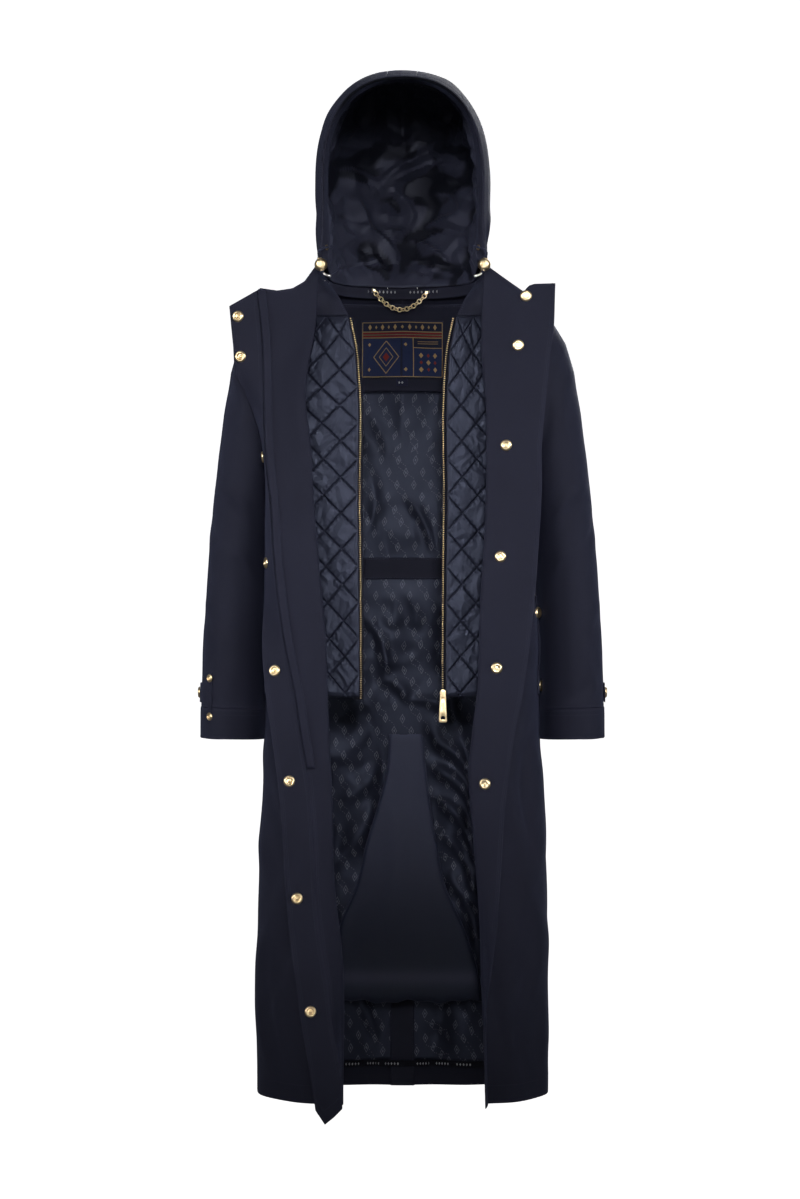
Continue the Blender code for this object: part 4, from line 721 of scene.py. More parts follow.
motif, ins, outs = group(
    "lozenge_motif",
    [("UV", "Vector", None), ("Across", "Float", 0.026), ("Down", "Float", 0.019), ("Size", "Float", 0.2)],
    [("Mask", "Float")],
)
split = add(motif, "ShaderNodeSeparateXYZ", {0: ins["UV"]})
down = calc(motif, "DIVIDE", split.outputs[1], ins["Down"])
odd = calc(motif, "MODULO", calc(motif, "ABSOLUTE", calc(motif, "FLOOR", down)), 2.0)
across = calc(motif, "DIVIDE", split.outputs[0], ins["Across"])
across = calc(motif, "ADD", across, calc(motif, "MULTIPLY", odd, 0.5))
a, b = (
    calc(motif, "ABSOLUTE", centred(motif, calc(motif, "FRACT", value), share))
    for value, share in ((across, 2.3), (down, 0.9))
)
reach = calc(motif, "ADD", a, b)
ring_line = calc(motif, "COMPARE", reach, calc(motif, "MULTIPLY", ins["Size"], 1.6), 0.045)
dot = calc(motif, "LESS_THAN", reach, calc(motif, "MULTIPLY", ins["Size"], 0.6))
slant = calc(motif, "FRACT", calc(motif, "MULTIPLY", calc(motif, "ADD", across, down), 0.5))
slant_line = calc(motif, "LESS_THAN", calc(motif, "ABSOLUTE", centred(motif, slant, 1.0)), 0.014)
beat = calc(motif, "SINE", calc(motif, "MULTIPLY", calc(motif, "SUBTRACT", across, down), 25.0))
dashes = calc(motif, "MULTIPLY", slant_line, calc(motif, "GREATER_THAN", beat, 0.2))
feed(motif, outs, {"Mask": calc(motif, "MAXIMUM", calc(motif, "MAXIMUM", ring_line, dot), dashes)})
lining_uv = add(PRINTED.node_tree, "ShaderNodeTexCoord").outputs["UV"]
recolour(PRINTED, use(PRINTED.node_tree, motif, {"UV": lining_uv})["Mask"], 0.85, (0.105, 0.110, 0.135))


def metal_look(name, dark, light, low, high):
    """Plated metal between two close colours, finely brushed, with its gloss from low to high."""
    made, tree, shader, place = new_look(name)
    stretch = add(tree, "ShaderNodeMapping", {0: place["Object"], 3: (300.0, 300.0, 2600.0)})
    brushed = noise(tree, stretch.outputs[0], 1.0, 3.0)
    gloss = add(tree, "ShaderNodeMapRange", {0: brushed, 3: low, 4: high})
    relief = add(tree, "ShaderNodeBump", {"Height": brushed, "Strength": 0.08, "Distance": 0.0002})
    feed(tree, shader, {
        "Base Color": mix(tree, noise(tree, place["Object"], 160.0, 2.0), dark, light),
        "Roughness": gloss.outputs[0], "Normal": relief.outputs[0], "Metallic": 1.0})
    return made


GOLD = metal_look("light_gold", (0.72, 0.54, 0.30), (0.86, 0.70, 0.44), 0.22, 0.38)
ZIP_GOLD = metal_look("zip_gold", (0.27, 0.20, 0.10), (0.39, 0.30, 0.17), 0.36, 0.48)
STEEL = metal_look("pale_metal", (0.62, 0.60, 0.58), (0.78, 0.76, 0.72), 0.22, 0.38)
print("materials:", len(bpy.data.materials))

# %% [markdown]
# ## Cutting a panel and pressing its creases
#
# A panel is a grid of points with a wall on one side, made by a Solidify modifier. Its UV
# map is the length walked along its rows and columns, in metres, which is close to
# the flat pattern piece. `creased` gives the height of creases that are placed one by one:
# each row of a table is a line with its width and depth, and it bows and fades at its
# ends like a real fold. `crumple` and `facets` add small sharp wrinkles with a fixed seed.
# Noise alone would look like crushed paper, so it only helps the listed creases.

# %% Creases
def creased(a, b, rows, sharp=1.7, steep=1.0):
    """The height of the creases at a, b: rows of start, end, width and depth.

    With steep over 1 a crease has one steep side and one long gentle one."""
    total = np.zeros(np.broadcast(a, b).shape)
    for a0, b0, a1, b1, wide, depth in rows:
        da, db = a1 - a0, b1 - b0
        length = math.hypot(da, db)
        t = ((a - a0) * da + (b - b0) * db) / length**2
        bow = 0.10 * length * np.sin(np.pi * ramp(t)) * (1 if depth > 0 else -1)
        across = ((a - a0) * db - (b - b0) * da) / length + bow
        fade = np.exp(-(np.abs(t - 0.5) / 0.42) ** 5)
        back = np.exp(-(((across - 1.9 * wide) / (1.4 * wide)) ** 2))
        side = np.where(across > 0, wide * steep, wide / steep)
        total += depth * fade * (np.exp(-np.abs(across / side) ** sharp) - 0.45 * back)
    return total


def cloud(points, size, seed):
    """Smooth noise from -1 to 1 at the points. The same seed gives the same cloth."""
    turn = np.array([[0.80, 0.36, -0.48], [-0.60, 0.48, -0.64], [0.0, 0.80, 0.60]])
    p = np.asarray(points) @ turn / size + 100.5
    low = np.floor(p).astype(int)
    f = p - low
    f = f * f * (3 - 2 * f)
    values = np.random.default_rng(seed).uniform(-1, 1, (24, 24, 24))
    total = 0.0
    for corner in np.ndindex(2, 2, 2):
        share = np.prod(np.where(np.array(corner) == 1, f, 1 - f), axis=-1)
        i, j, k = np.moveaxis((low + np.array(corner)) % 24, -1, 0)
        total = total + share * values[i, j, k]
    return total


def crumple(points, size, seed):
    """Wrinkles with sharp backs and round valleys, from 0 to 1."""
    first = 1 - np.abs(cloud(points, size, seed)) * 1.6
    second = 1 - np.abs(cloud(points, size * 0.45, seed + 1)) * 1.6
    return ramp(first) ** 2 + 0.35 * ramp(second) ** 2


def facets(a, b, size, seed):
    """Flat facets that meet in sharp edges, from -1 to 1: random heights on a net of triangles."""
    spot = np.stack([a, b, 0 * a], axis=-1)
    x = a / size + 0.8 * cloud(spot, 2.0 * size, seed + 1)
    y = b / size + 0.8 * cloud(spot, 2.0 * size, seed + 2)
    heights = np.random.default_rng(seed).uniform(-1, 1, (32, 32))
    x, y = x + 0.366 * (x + y) + 100, y + 0.366 * (x + y) + 100
    i, j = np.floor(x).astype(int), np.floor(y).astype(int)
    u, v = x - i, y - j
    step = (u > v).astype(int)
    far, near = np.maximum(u, v), np.minimum(u, v)
    corner = heights[(i + step) % 32, (j + 1 - step) % 32]
    opposite = heights[(i + 1) % 32, (j + 1) % 32]
    return heights[i % 32, j % 32] * (1 - far) + corner * (far - near) + opposite * near


def close_ends(count, tuck=0.006):
    """Fractions across a panel, closer together next to its two edges."""
    middle = line(2.5 * tuck, 1 - 2.5 * tuck, count)
    return np.concatenate([[0, tuck / 3, tuck], middle, [1 - tuck, 1 - tuck / 3, 1]])


# %% Making a mesh
PANELS = {}      # the finished grid of each panel, the normals of its outer face and its wall
CUTS = {}        # the flat width, length and area of each panel


def outward(grid, out, at, closed=False):
    """Normals of a grid, turned to the side out as seen at the place at."""
    if closed:
        n = normals(np.concatenate([grid[:, -1:], grid, grid[:, :1]], axis=1))[:, 1:-1]
    else:
        n = normals(grid)
    i, j = int(at[0] * (grid.shape[0] - 1)), int(at[1] * (grid.shape[1] - 1))
    return n if np.dot(n[i, j], out) > 0 else -n


def walked(grid, closed=False):
    """How far each point lies along its row and down its column."""
    ends = np.concatenate([grid, grid[:, :1]], axis=1) if closed else grid
    across = norm(np.diff(ends, axis=1), axis=2)
    across = np.concatenate([np.zeros((len(grid), 1)), np.cumsum(across, axis=1)], axis=1)
    down = norm(np.diff(ends, axis=0), axis=2)
    return across, np.concatenate([np.zeros((1, ends.shape[1])), np.cumsum(down, axis=0)])


def quads(rows, columns, wrap_rows=False, wrap_columns=False):
    """The four corners of every face between the points of a grid, and its row and column."""
    i, j = net(np.arange(rows - 1 + wrap_rows), np.arange(columns - 1 + wrap_columns))
    i1, j1 = (i + 1) % rows, (j + 1) % columns
    return np.stack([i * columns + j, i * columns + j1, i1 * columns + j1, i1 * columns + j], axis=-1), i, j


def mesh_of(name, points, faces, edges=()):
    mesh = bpy.data.meshes.new(name)
    faces = faces.reshape(-1, 4).tolist() if isinstance(faces, np.ndarray) else faces
    mesh.from_pydata(np.reshape(points, (-1, 3)).tolist(), edges, faces)
    return mesh


def poured(shape, name):
    """The mesh of a finished bmesh."""
    mesh = bpy.data.meshes.new(name)
    shape.to_mesh(mesh)
    shape.free()
    return mesh


def unfold(mesh, uv):
    """Gives a mesh its UV map, one pair for each corner of each face."""
    mesh.uv_layers.new(name="cloth").data.foreach_set("uv", uv.astype(np.float32).ravel())


def store(mesh, label, values):
    """Keeps one number for each point of a mesh."""
    mesh.attributes.new(label, "FLOAT", "POINT").data.foreach_set("value", values.astype(np.float32).ravel())


def finished(mesh, material, angle):
    """Dyes a mesh and shades it smooth, with an edge wherever it bends by more than the angle."""
    mesh.materials.clear()
    mesh.materials.append(material)
    mesh.shade_smooth()
    mesh.set_sharp_from_angle(angle=math.radians(angle))


def walled(made, wall, body):
    """Gives a thin piece its wall, on its outer side."""
    solid = made.modifiers.new("Wall", "SOLIDIFY")
    solid.thickness, solid.offset = wall, 1.0
    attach(made, body)
    return made


# %% Cutting a panel
def cut_panel(name, grid, wall, material, out, at=(0.5, 0.5), closed=False, angle=60):
    """A panel of cloth on its grid, with a wall on the side out."""
    rows, columns = grid.shape[:2]
    n = outward(grid, out, at, closed)
    PANELS[name] = (grid, n, wall)
    across, down = walked(grid, closed)
    faces, i, j = quads(rows, columns, wrap_columns=closed)
    a, b, c = grid[i, j], grid[i, (j + 1) % columns], grid[i + 1, j]
    square = np.cross(b - a, c - a)
    order = [0, 1, 2, 3] if np.einsum("ijk,ijk->ij", square, n[i, j]).sum() > 0 else [3, 2, 1, 0]
    mesh = mesh_of(name, grid, faces[..., order])
    r, s = np.stack([(i, j), (i, j + 1), (i + 1, j + 1), (i + 1, j)])[order].swapaxes(0, 1)
    unfold(mesh, np.stack([across[r, s], -down[r, s]], axis=-1).transpose(1, 2, 0, 3))
    border = np.minimum(down[:, :columns], down[-1:, :columns] - down[:, :columns])
    if not closed:
        border = np.minimum(border, np.minimum(across, across[:, -1:] - across))
    store(mesh, "edge", np.exp(-border / 0.004))
    finished(mesh, material, angle)
    width, length = across.max(), down.max()
    CUTS[name] = (width, length, min(norm(square, axis=-1).sum(), width * length))
    return walled(put(name, mesh), wall, "coat")


def store_painted_shade(made, value):
    """Stores a painted shade for each point of a panel, as its seam attribute: the cloth is painted darker
    there.
    """
    store(made.data, "seam", value)


def finish_sheet(made, replaces, ease=1.0):
    """Hides the solids that a finished panel replaces and prints its flat size, with the ease taken out."""
    width, length, area = CUTS[made.name]
    width, length, area = width / ease, length / ease, area / ease**2
    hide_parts(*replaces)
    print(f"{made.name}: cut {width:.3f} x {length:.3f} m, {area:.3f} m2, {len(made.data.vertices)} points")


# %% [markdown]
# ## The back
#
# The back is cut in two halves that meet in a middle seam and part below the vent. Its
# long skirt hangs in deep folds that come from the shape itself. The creases on top of
# them are pressed in one by one: drag lines from the shoulder blades towards the underarm,
# a few breaks at the waist, and long soft runs down the skirt, none of them alike. The
# lining, the label and the gusset lie on the same surface, so they follow every crease.

# %% The back's creases and its surface
BACK_FOLDS = folds(
    (150, -100, 60, -200, 14, 3.5), (-155, -110, -50, -230, 15, 3.5), (165, -190, 90, -330, 13, -3),
    (-160, -210, -100, -350, 14, -2.8), (40, -60, 30, -260, 16, 2.2), (-70, -300, -15, -420, 13, 2.8),
    (150, -400, 50, -450, 12, 3.4), (-160, -430, -70, -480, 12, 3.2), (110, -470, 20, -540, 13, -2.8),
    (-100, -520, -30, -600, 13, 2.6), (60, -560, 75, -900, 16, 4.5), (-50, -600, -85, -1000, 17, 4.5),
    (130, -620, 150, -1120, 18, 5), (-140, -660, -150, -1150, 18, 4.8), (100, -800, 108, -1170, 14, -4),
    (-110, -760, -118, -1100, 14, -3.8), (35, -850, 45, -1160, 13, 3), (-30, -900, -40, -1150, 12, 2.8),
    (175, -700, 180, -1050, 12, 3), (-178, -560, -172, -900, 12, 3),
)
BACK_OUT, FRONT_OUT = np.array([0, 1.0, 0]), np.array([0, -1.0, 0])


def pressed(surface, rows, out, at, sign, seed):
    """A worked-out surface with its creases pressed in, calm along its sewn side."""
    n = outward(surface, out, at)
    height = creased(surface[..., 0] * sign, surface[..., 2], rows)
    height = height + 0.0007 * cloud(surface * np.array([sign, 1, 1]), 0.05, seed)
    side = ramp(line(0, 1, surface.shape[1]) / 0.08)
    return surface + n * (height * side)[..., None]


def pressed_half(made, rows, out, sign, seed=3):
    """Both grids of a half, the one above the underarm fading out to its shoulder seam."""
    upper, lower = made
    calm = ramp(line(0, 1, UPPER) / 0.15)[:, None, None]
    upper = upper + (pressed(upper, rows, out, (0.8, 0.6), sign, seed) - upper) * calm
    lower = pressed(lower, rows, out, (0.5, 0.8), sign, seed)
    lower[0] = upper[-1]
    return upper, lower


BACK_HALVES = [pressed_half(back_surface(), BACK_FOLDS, BACK_OUT, sign) for sign in (1, -1)]


def back_points(v, u):
    """Points of the back at v down it and u from the left side (0) to the right side (2)."""
    u = np.asarray(u, float)
    left = body_points(BACK_HALVES[0], v, np.minimum(u, 1))
    right = mirrored(body_points(BACK_HALVES[1], v, np.minimum(2 - u, 1)))
    return np.where((u > 1)[..., None], right, left)


DENSE_V, DENSE_U = line(0, 1, 241), line(0, 2, 181)
BACK_DENSE = back_points(*net(DENSE_V, DENSE_U))
BACK_NORMAL = outward(BACK_DENSE, BACK_OUT, (0.5, 0.5))


def on_back(x, z, inside):
    """Points at x and z on the back's inner side, moved in from it by inside.

    It starts from the nearest point of a coarse grid and walks to the place in a few steps."""
    x, z = np.broadcast_arrays(np.asarray(x, float), np.asarray(z, float))
    shape, inside = x.shape, np.broadcast_to(inside, x.shape).reshape(-1, 1)
    x, z = x.ravel(), z.ravel()
    coarse = BACK_DENSE[::5, ::5]
    flat = coarse.reshape(-1, 3)
    near = np.concatenate([
        ((flat[None, :, 0] - x[i:i + 3000, None]) ** 2
         + (flat[None, :, 2] - z[i:i + 3000, None]) ** 2).argmin(axis=1)
        for i in range(0, x.size, 3000)])
    v = DENSE_V[::5][near // coarse.shape[1]]
    u = DENSE_U[::5][near % coarse.shape[1]]
    step = 0.002
    for _ in range(9):
        here = back_points(v, u)
        v1, v0 = np.minimum(v + step, 1), np.maximum(v - step, 0)
        u1, u0 = np.minimum(u + step, 2), np.maximum(u - step, 0)
        dv = (back_points(v1, u) - back_points(v0, u)) / (v1 - v0)[:, None]
        du = (back_points(v, u1) - back_points(v, u0)) / (u1 - u0)[:, None]
        ex, ez = x - here[:, 0], z - here[:, 2]
        det = dv[:, 0] * du[:, 2] - dv[:, 2] * du[:, 0]
        det = np.where(np.abs(det) < 1e-9, 1e-9, det)
        v = ramp(v + 0.8 * (ex * du[:, 2] - ez * du[:, 0]) / det)
        u = np.clip(u + 0.8 * (dv[:, 0] * ez - dv[:, 2] * ex) / det, 0, 2)
    moved = back_points(v, u) - sampled(BACK_NORMAL, v, u / 2) * inside
    return moved.reshape(*shape, 3)


# %% The two halves of the back
ROW_V = np.concatenate([line(0, ARM_ROWS, 38)[:-1], line(ARM_ROWS, 1, 142)])
EDGE_V = np.concatenate([[0, 0.0015, 0.004], ROW_V[2:-2], [0.9955, 0.9985, 1.0]])
for side, sign in SIDES.items():
    across = close_ends(40)
    half = back_points(*net(EDGE_V, across if side == "left" else 2 - across))
    half[:, 0, 1] += SEAM / 2 + 0.0002
    half[0, :, 1] += SEAM / 2 + 0.0002
    half[:, -1, 0] = sign * 0.0008
    made = cut_panel("back_panel_" + side, half, SHELL, SHELL_CLOTH, BACK_OUT, (0.5, 0.8))
    finish_sheet(made, ["back_" + side], ease=1.02)

# %% [markdown]
# ## The fronts, folded back on themselves
#
# Each front runs from its side seam towards the middle, rolls over and comes back as the
# turned-out facing that shows. Its three parts are one grid: body columns, the roll as
# a Bezier curve, then the turned part. The turned part is nearly flat, with a few
# shallow drags where the snaps pull; the body part behind it hangs in skirt folds.

# %% The creases of the fronts
FOLDS_LEFT_FRONT = folds(
    (170, -420, 190, -560, 12, 2.6), (196, -620, 199, -830, 8, -4), (183, -640, 180, -900, 11, 4.2),
    (176, -860, 186, -1050, 11, 4.6), (165, -800, 166, -1160, 12, -4), (198, -900, 202, -1150, 9, 2),
    (190, -980, 188, -1170, 8, -3.4), (150, -700, 150, -1000, 12, 3), (205, -700, 208, -1000, 7, 0.6),
    (185, -250, 160, -380, 14, 2.2),
)
FOLDS_RIGHT_FRONT = folds(
    (196, -640, 190, -880, 10, 4.2), (205, -700, 203, -1080, 8, -3.6), (180, -720, 172, -1000, 11, -3.8),
    (160, -820, 150, -1160, 12, 4.4), (187, -900, 186, -1170, 9, 4), (200, -440, 180, -560, 11, 2.6),
    (150, -640, 140, -860, 12, 2.6), (185, -250, 160, -380, 14, 2.2),
)
FLAP_LEFT = folds(
    (150, -30, 195, -110, 20, 1.8), (200, -80, 150, -180, 15, -1.4), (135, -240, 190, -330, 18, 1.4),
    (190, -300, 150, -420, 16, -1.2), (130, -450, 175, -560, 18, 1.6), (170, -480, 140, -660, 14, -1.3),
    (110, -600, 150, -760, 14, 1.6), (140, -740, 118, -930, 11, 1.6), (112, -900, 130, -1100, 10, -1.4),
)
FLAP_RIGHT = folds(
    (145, -60, 190, -170, 18, 1.8), (185, -130, 150, -290, 16, -1.4), (140, -260, 180, -400, 15, 1.6),
    (170, -400, 135, -540, 14, -1.2), (122, -520, 155, -660, 12, 1.6), (125, -700, 108, -900, 9, 1.4),
)


def pressed_strip(grid, rows, out, at=(0.5, 0.5), small=0.0004, keep=(0.1, 0.1)):
    """A strip of a panel with its creases, kept still near its first and last columns."""
    n = outward(grid, out, at)
    height = creased(grid[..., 0], grid[..., 2], rows) + small * cloud(grid, 0.045, 9)
    t = line(0, 1, grid.shape[1])
    return grid + n * (height * ramp(t / keep[0]) * ramp((1 - t) / keep[1]))[..., None]


# %% Both fronts
ROLL_S = line(0, 1, 9)[1:-1]
BODY_U = np.concatenate([[0, 0.004, 0.012], line(0.03, 1, 32)])
FLAP_S = np.concatenate([line(0, 0.97, 26), [0.985, 0.995, 1.0]])
LEFT = pressed_half(front_surface(FOLD_LEFT, 0.3), FOLDS_LEFT_FRONT, FRONT_OUT, 1, 5)
RIGHT = pressed_half(front_surface(FOLD_RIGHT, 1.4), FOLDS_RIGHT_FRONT, FRONT_OUT, 1, 6)
n_flap = len(FLAP_S)
for side, surface, edge, top, rows, held in (
    ("left", LEFT, EDGE_LEFT, TOP_LEFT, FLAP_LEFT, 0.02),
    ("right", RIGHT, ZIP_LINE, TOP_RIGHT, FLAP_RIGHT, 0.06),
):
    grid = front_grid(surface, edge, top, EDGE_V, BODY_U, ROLL_S, FLAP_S)
    grid[:, 0, 1] -= SEAM / 2 + 0.0002
    grid[0, : len(BODY_U) // 2, 1] -= SEAM / 2 + 0.0002
    grid[:, -n_flap:] = pressed_strip(grid[:, -n_flap:], rows, FRONT_OUT, keep=(0.12, held))
    grid = grid if side == "left" else mirrored(grid)
    made = cut_panel("front_panel_" + side, grid, SHELL, SHELL_CLOTH, FRONT_OUT, (0.5, 0.2))
    finish_sheet(made, ["front_" + side], ease=1.02)

# %% [markdown]
# ## The storm flap and the front zip
#
# A storm flap covers a zip so that no rain comes through it. Here it is sewn on beside
# the zip of the wearer's right front and carries the snap sockets. It swings back towards
# the sleeve at the chest and lies nearly flat below.

# %% The storm flap
STORM_FOLDS = folds(
    (225, -50, 240, -140, 10, 1), (200, -350, 195, -520, 6, 1), (170, -600, 180, -720, 8, -1),
    (150, -800, 155, -980, 8, 1.2), (120, -1020, 135, -1140, 8, -1),
)


def storm_grid(v, s):
    """The storm flap from the zip line (s 0) to its free edge (s 1)."""
    rows = []
    t = s[:, None]
    zip_edge = front_grid(RIGHT, ZIP_LINE, TOP_RIGHT, v, (0.9, 1.0), (0.5,), (0.8, 1.0))
    for at, start, before in zip(v, zip_edge[:, -1], zip_edge[:, -2]):
        heading = unit(start - before)
        z = start[2] - 0.022 * ramp(1 - at / (0.75 * ARM_ROWS)) ** 1.5
        end = np.array([smooth(STORM_EDGE, "x", z), smooth(STORM_EDGE, "y", z), z])
        corner = norm(np.cross(heading, unit(end - start)))
        begin = start + heading * (0.0001 + 0.35 * SHELL * corner)
        bend = np.sin(np.pi * t) * np.array([0.0015, -0.0015, 0.0])
        rows.append(begin + (end - begin) * t + bend * ramp(1 - abs(begin[2] + 0.3) / 0.25))
    grid = np.array(rows)
    hem_drop = np.interp(s, (0, 0.3, 0.65, 1), (0.0, -0.012, -0.023, -0.002))
    grid[:, :, 2] += ramp((v - 0.93) / 0.07)[:, None] * hem_drop
    return grid


grid = storm_grid(EDGE_V, close_ends(13, 0.02))
grid = pressed_strip(grid, STORM_FOLDS, BACK_OUT, (0.6, 0.5), 0.0003, (0.25, 0.15))
made = cut_panel("storm_flap_panel", mirrored(grid), SHELL, SHELL_CLOTH, BACK_OUT, (0.6, 0.5))
finish_sheet(made, ["storm_flap"], ease=1.02)

# %% The zip tape under the flap
tape_v = line(0.002, 0.60, 120)
tape_grid = front_grid(RIGHT, ZIP_LINE, TOP_RIGHT, tape_v, (0.9, 1.0), (0.5,), (0.80, 0.9, 1.0))
heading = unit(tape_grid[:, -1] - tape_grid[:, -3])
zip_tape = np.stack([tape_grid[:, -1] - heading * d for d in line(0.014, 0.002, 6)], axis=1)
zip_tape[:, :, 1] -= 0.0012 + 0.0003
FRONT_ZIP_LINE = mirrored(zip_tape[:, -1]) + np.array([-0.0008, -0.0014, 0])
made = cut_panel("front_zip_cloth", mirrored(zip_tape), TRIM, SHELL_CLOTH, FRONT_OUT)
finish_sheet(made, ["front_zip_tape"])

# %% [markdown]
# ## Sleeves and cuffs
#
# A sleeve is a tube of tilted rings from the armhole down. Its creases are placed on
# the cloth itself, by how far round the arm and how far down they are: drag lines under
# the arm, breaks inside the elbow, a few slack folds above the cuff. Where the sleeve
# lies next to the body its creases only go inwards, so that it stays clear.

# %% Rings with creases
SLEEVE_FOLDS = folds(
    (100, -140, 160, -240, 12, -3), (20, -100, 90, -200, 14, 2.2), (30, -280, 130, -330, 10, 3.4),
    (0, -320, 120, -380, 9, -2.8), (50, -370, 150, -410, 9, 3), (300, -300, 420, -350, 11, 3.4),
    (280, -360, 400, -390, 10, -2.6), (330, -420, 400, -470, 10, 2.6), (360, -160, 400, -270, 14, 2.6),
    (10, -450, 80, -500, 11, 2), (90, -500, 50, -590, 11, 1.8), (340, -520, 410, -570, 10, 2.2),
    (390, -60, 410, -150, 12, -1.8), (60, -560, 140, -600, 8, -1.8),
)


def pressed_ring(grid, rows, small=0.0006, seed=21, limit=0.15):
    """A tube with creases placed by length round it (from its outer side) and height."""
    n = outward(grid, (1, 0, 0), (0.5, 0.0), True)
    across = walked(grid, True)[0]
    share = across[:, :-1] / across[:, -1:]
    height = creased(share * 0.43, grid[..., 2], rows) + small * cloud(grid, 0.04, seed)
    inner = ramp((-np.cos(share * 2 * np.pi) - 0.25) / 0.5)
    height = height * (1 - inner) + np.minimum(height, 0) * inner * 0.6
    t = line(0, 1, len(grid))[:, None]
    fade = ramp(t / limit) * ramp((1 - t) / 0.04)
    lean = 0.0050 - 0.0020 * np.exp(-((grid[..., 2] + 0.52) / 0.07) ** 4)
    lean = lean * inner * ramp((-0.40 - grid[..., 2]) / 0.05)
    return grid + n * (height * fade + lean)[..., None]


SLEEVE_ROWS = np.concatenate([[0, 0.01, 0.03], line(0.08, 9.94, 136), [9.97, 9.99, 10.0]])
CUFF_ROWS = np.concatenate([[0, 0.02, 0.05], line(0.1, 1.93, 24), [1.96, 1.985, 2.0]])
AROUND = 84
for side, sign in SIDES.items():
    sleeve = pressed_ring(ring(SLEEVE, SLEEVE_ROWS, spin(AROUND)), SLEEVE_FOLDS, seed=21 + sign)
    inward = unit(sleeve[0].mean(axis=0) - sleeve[0])
    allowance = sleeve[0] + inward * 0.0040 + np.array([-0.0070, 0, 0])
    sleeve = np.concatenate([allowance[None], sleeve])
    cuff = pressed_ring(ring(CUFF, CUFF_ROWS, spin(AROUND)), (), small=0.0004, limit=0.3)
    for name, node, grid in (("sleeve_panel_", "sleeve_", sleeve), ("cuff_panel_", "cuff_", cuff)):
        grid = grid * np.array([sign, 1, 1])
        made = cut_panel(name + side, grid, SHELL, SHELL_CLOTH, (sign, 0, 0), (0.5, 0.0), True)
        finish_sheet(made, [node + side], ease=1.02)

# %% [markdown]
# ## Cuff straps and pocket welts
#
# The strap is a doubled strip that goes round the outside of the sleeve and fastens with
# a snap. The welt is the narrow folded strip that finishes a pocket mouth in the side of
# the front. Both are made from the points of what they lie on, moved out by its wall.

# %% Straps and welts
TAB = {"left": (1.38, 0.0), "right": (0.62, 1.0)}     # how far each reaches, and its T-shaped end
for side, sign in SIDES.items():
    reach, tee = TAB[side]
    columns = []
    for k, a in enumerate(line(np.pi / 2 - reach, -1.05, 41)):
        wide = 0.0145 + 0.017 * tee * max(0.0, 1 - k / 5.0)
        heights = -0.588 + wide * np.concatenate([[1, 0.96], line(0.86, -0.86, 9), [-0.96, -1]])
        at = np.interp(-heights, (0.5425, 0.6105), (9.0, 10.0))
        rows = ring(SLEEVE, at, np.array([a]), SHELL + LAY + 0.0007)[:, 0]
        rows[:, 2] = heights
        columns.append(rows)
    strap = np.transpose(np.array(columns), (1, 0, 2)) * np.array([sign, 1, 1])
    made = cut_panel("cuff_strap_" + side, strap, SHELL, SHELL_CLOTH, (sign, 0, 0), (0.5, 0.4))
    finish_sheet(made, ["cuff_tab_" + side])
for (side, sign), surface in zip(SIDES.items(), (LEFT, RIGHT)):
    welt = body_points(surface, *net(line(0.395, 0.515, 48), close_ends(9, 0.03) * 0.16 + 0.10))
    welt = welt + outward(welt, (1, -1, 0), (0.5, 0.5)) * (SHELL + LAY + 0.0003)
    welt = welt if sign > 0 else mirrored(welt)
    made = cut_panel("pocket_strip_" + side, welt, SHELL, SHELL_CLOTH, (sign, -1, 0))
    finish_sheet(made, ["pocket_welt_" + side])

# %% [markdown]
# ## The hood
#
# Two sides and a centre panel are sewn into a dome. Each row of its grid is an arch that
# starts at the neckline, and the arches turn from the rim back down to the nape, like
# the ribs of a folding pram hood. The centre panel keeps one width all the way over.

# %% The dome of the hood
HOOD_BASE = table("z x", (45, 120), (-200, 120))     # the line that the hood's neckline ends on
CENTRE_HALF = 0.0225
HOOD_DOME = np.array([hood_arch(turn, 121, HOOD_BASE) for turn in line(0, 1, 121)])
HOOD_LENGTH = norm(np.diff(HOOD_DOME, axis=1), axis=2).sum(axis=1)
HOOD_FOLDS = (      # by turn and by share of the arch
    (0.10, 0.10, 0.42, 0.22, 0.045, 0.0030), (0.35, 0.20, 0.75, 0.30, 0.04, 0.0034),
    (0.20, 0.50, 0.55, 0.42, 0.05, -0.0026), (0.60, 0.10, 0.92, 0.35, 0.04, 0.0036),
    (0.55, 0.62, 0.85, 0.50, 0.05, 0.0030), (0.12, 0.75, 0.40, 0.88, 0.05, 0.0022),
    (0.15, 1.80, 0.50, 1.90, 0.045, 0.0030), (0.30, 1.60, 0.72, 1.72, 0.04, -0.0028),
    (0.55, 1.45, 0.90, 1.66, 0.045, 0.0034), (0.18, 1.30, 0.52, 1.48, 0.05, 0.0026),
    (0.62, 1.22, 0.88, 1.35, 0.045, -0.0026), (0.70, 0.80, 0.95, 0.86, 0.04, 0.0028),
)


def hood_points(turn, share):
    """Points of the hood: share runs from the left base (0) over the top (1) to 2."""
    p = sampled(HOOD_DOME, turn, np.where(share > 1, 2 - share, share))
    p[..., 0] *= np.where(share > 1, -1, 1)
    return p + np.array([0, 0, 0.0018])


dense_turn, dense_share = line(0, 1, 161), line(0, 2, 201)
HOOD_DENSE = hood_points(*net(dense_turn, dense_share))
HOOD_NORMAL = outward(HOOD_DENSE, (1, 0, 0), (0.3, 0.1))
slack = np.interp(1 - np.abs(dense_share - 1), (0, 0.08, 0.25, 0.5, 1.0), (0, 0.0055, 0.0060, 0.0045, 0.0030))
HOOD_DENSE = HOOD_DENSE - HOOD_NORMAL * (slack * ramp((1 - dense_turn[:, None]) / 0.15))[..., None]


def in_hood(turn, share, inside):
    """Points inside the hood, moved in from its cloth by inside."""
    turn, share = np.broadcast_arrays(np.asarray(turn, float), np.asarray(share, float))
    n = unit(sampled(HOOD_NORMAL, turn, share / 2))
    return sampled(HOOD_DENSE, turn, share / 2) - n * np.asarray(inside)[..., None]


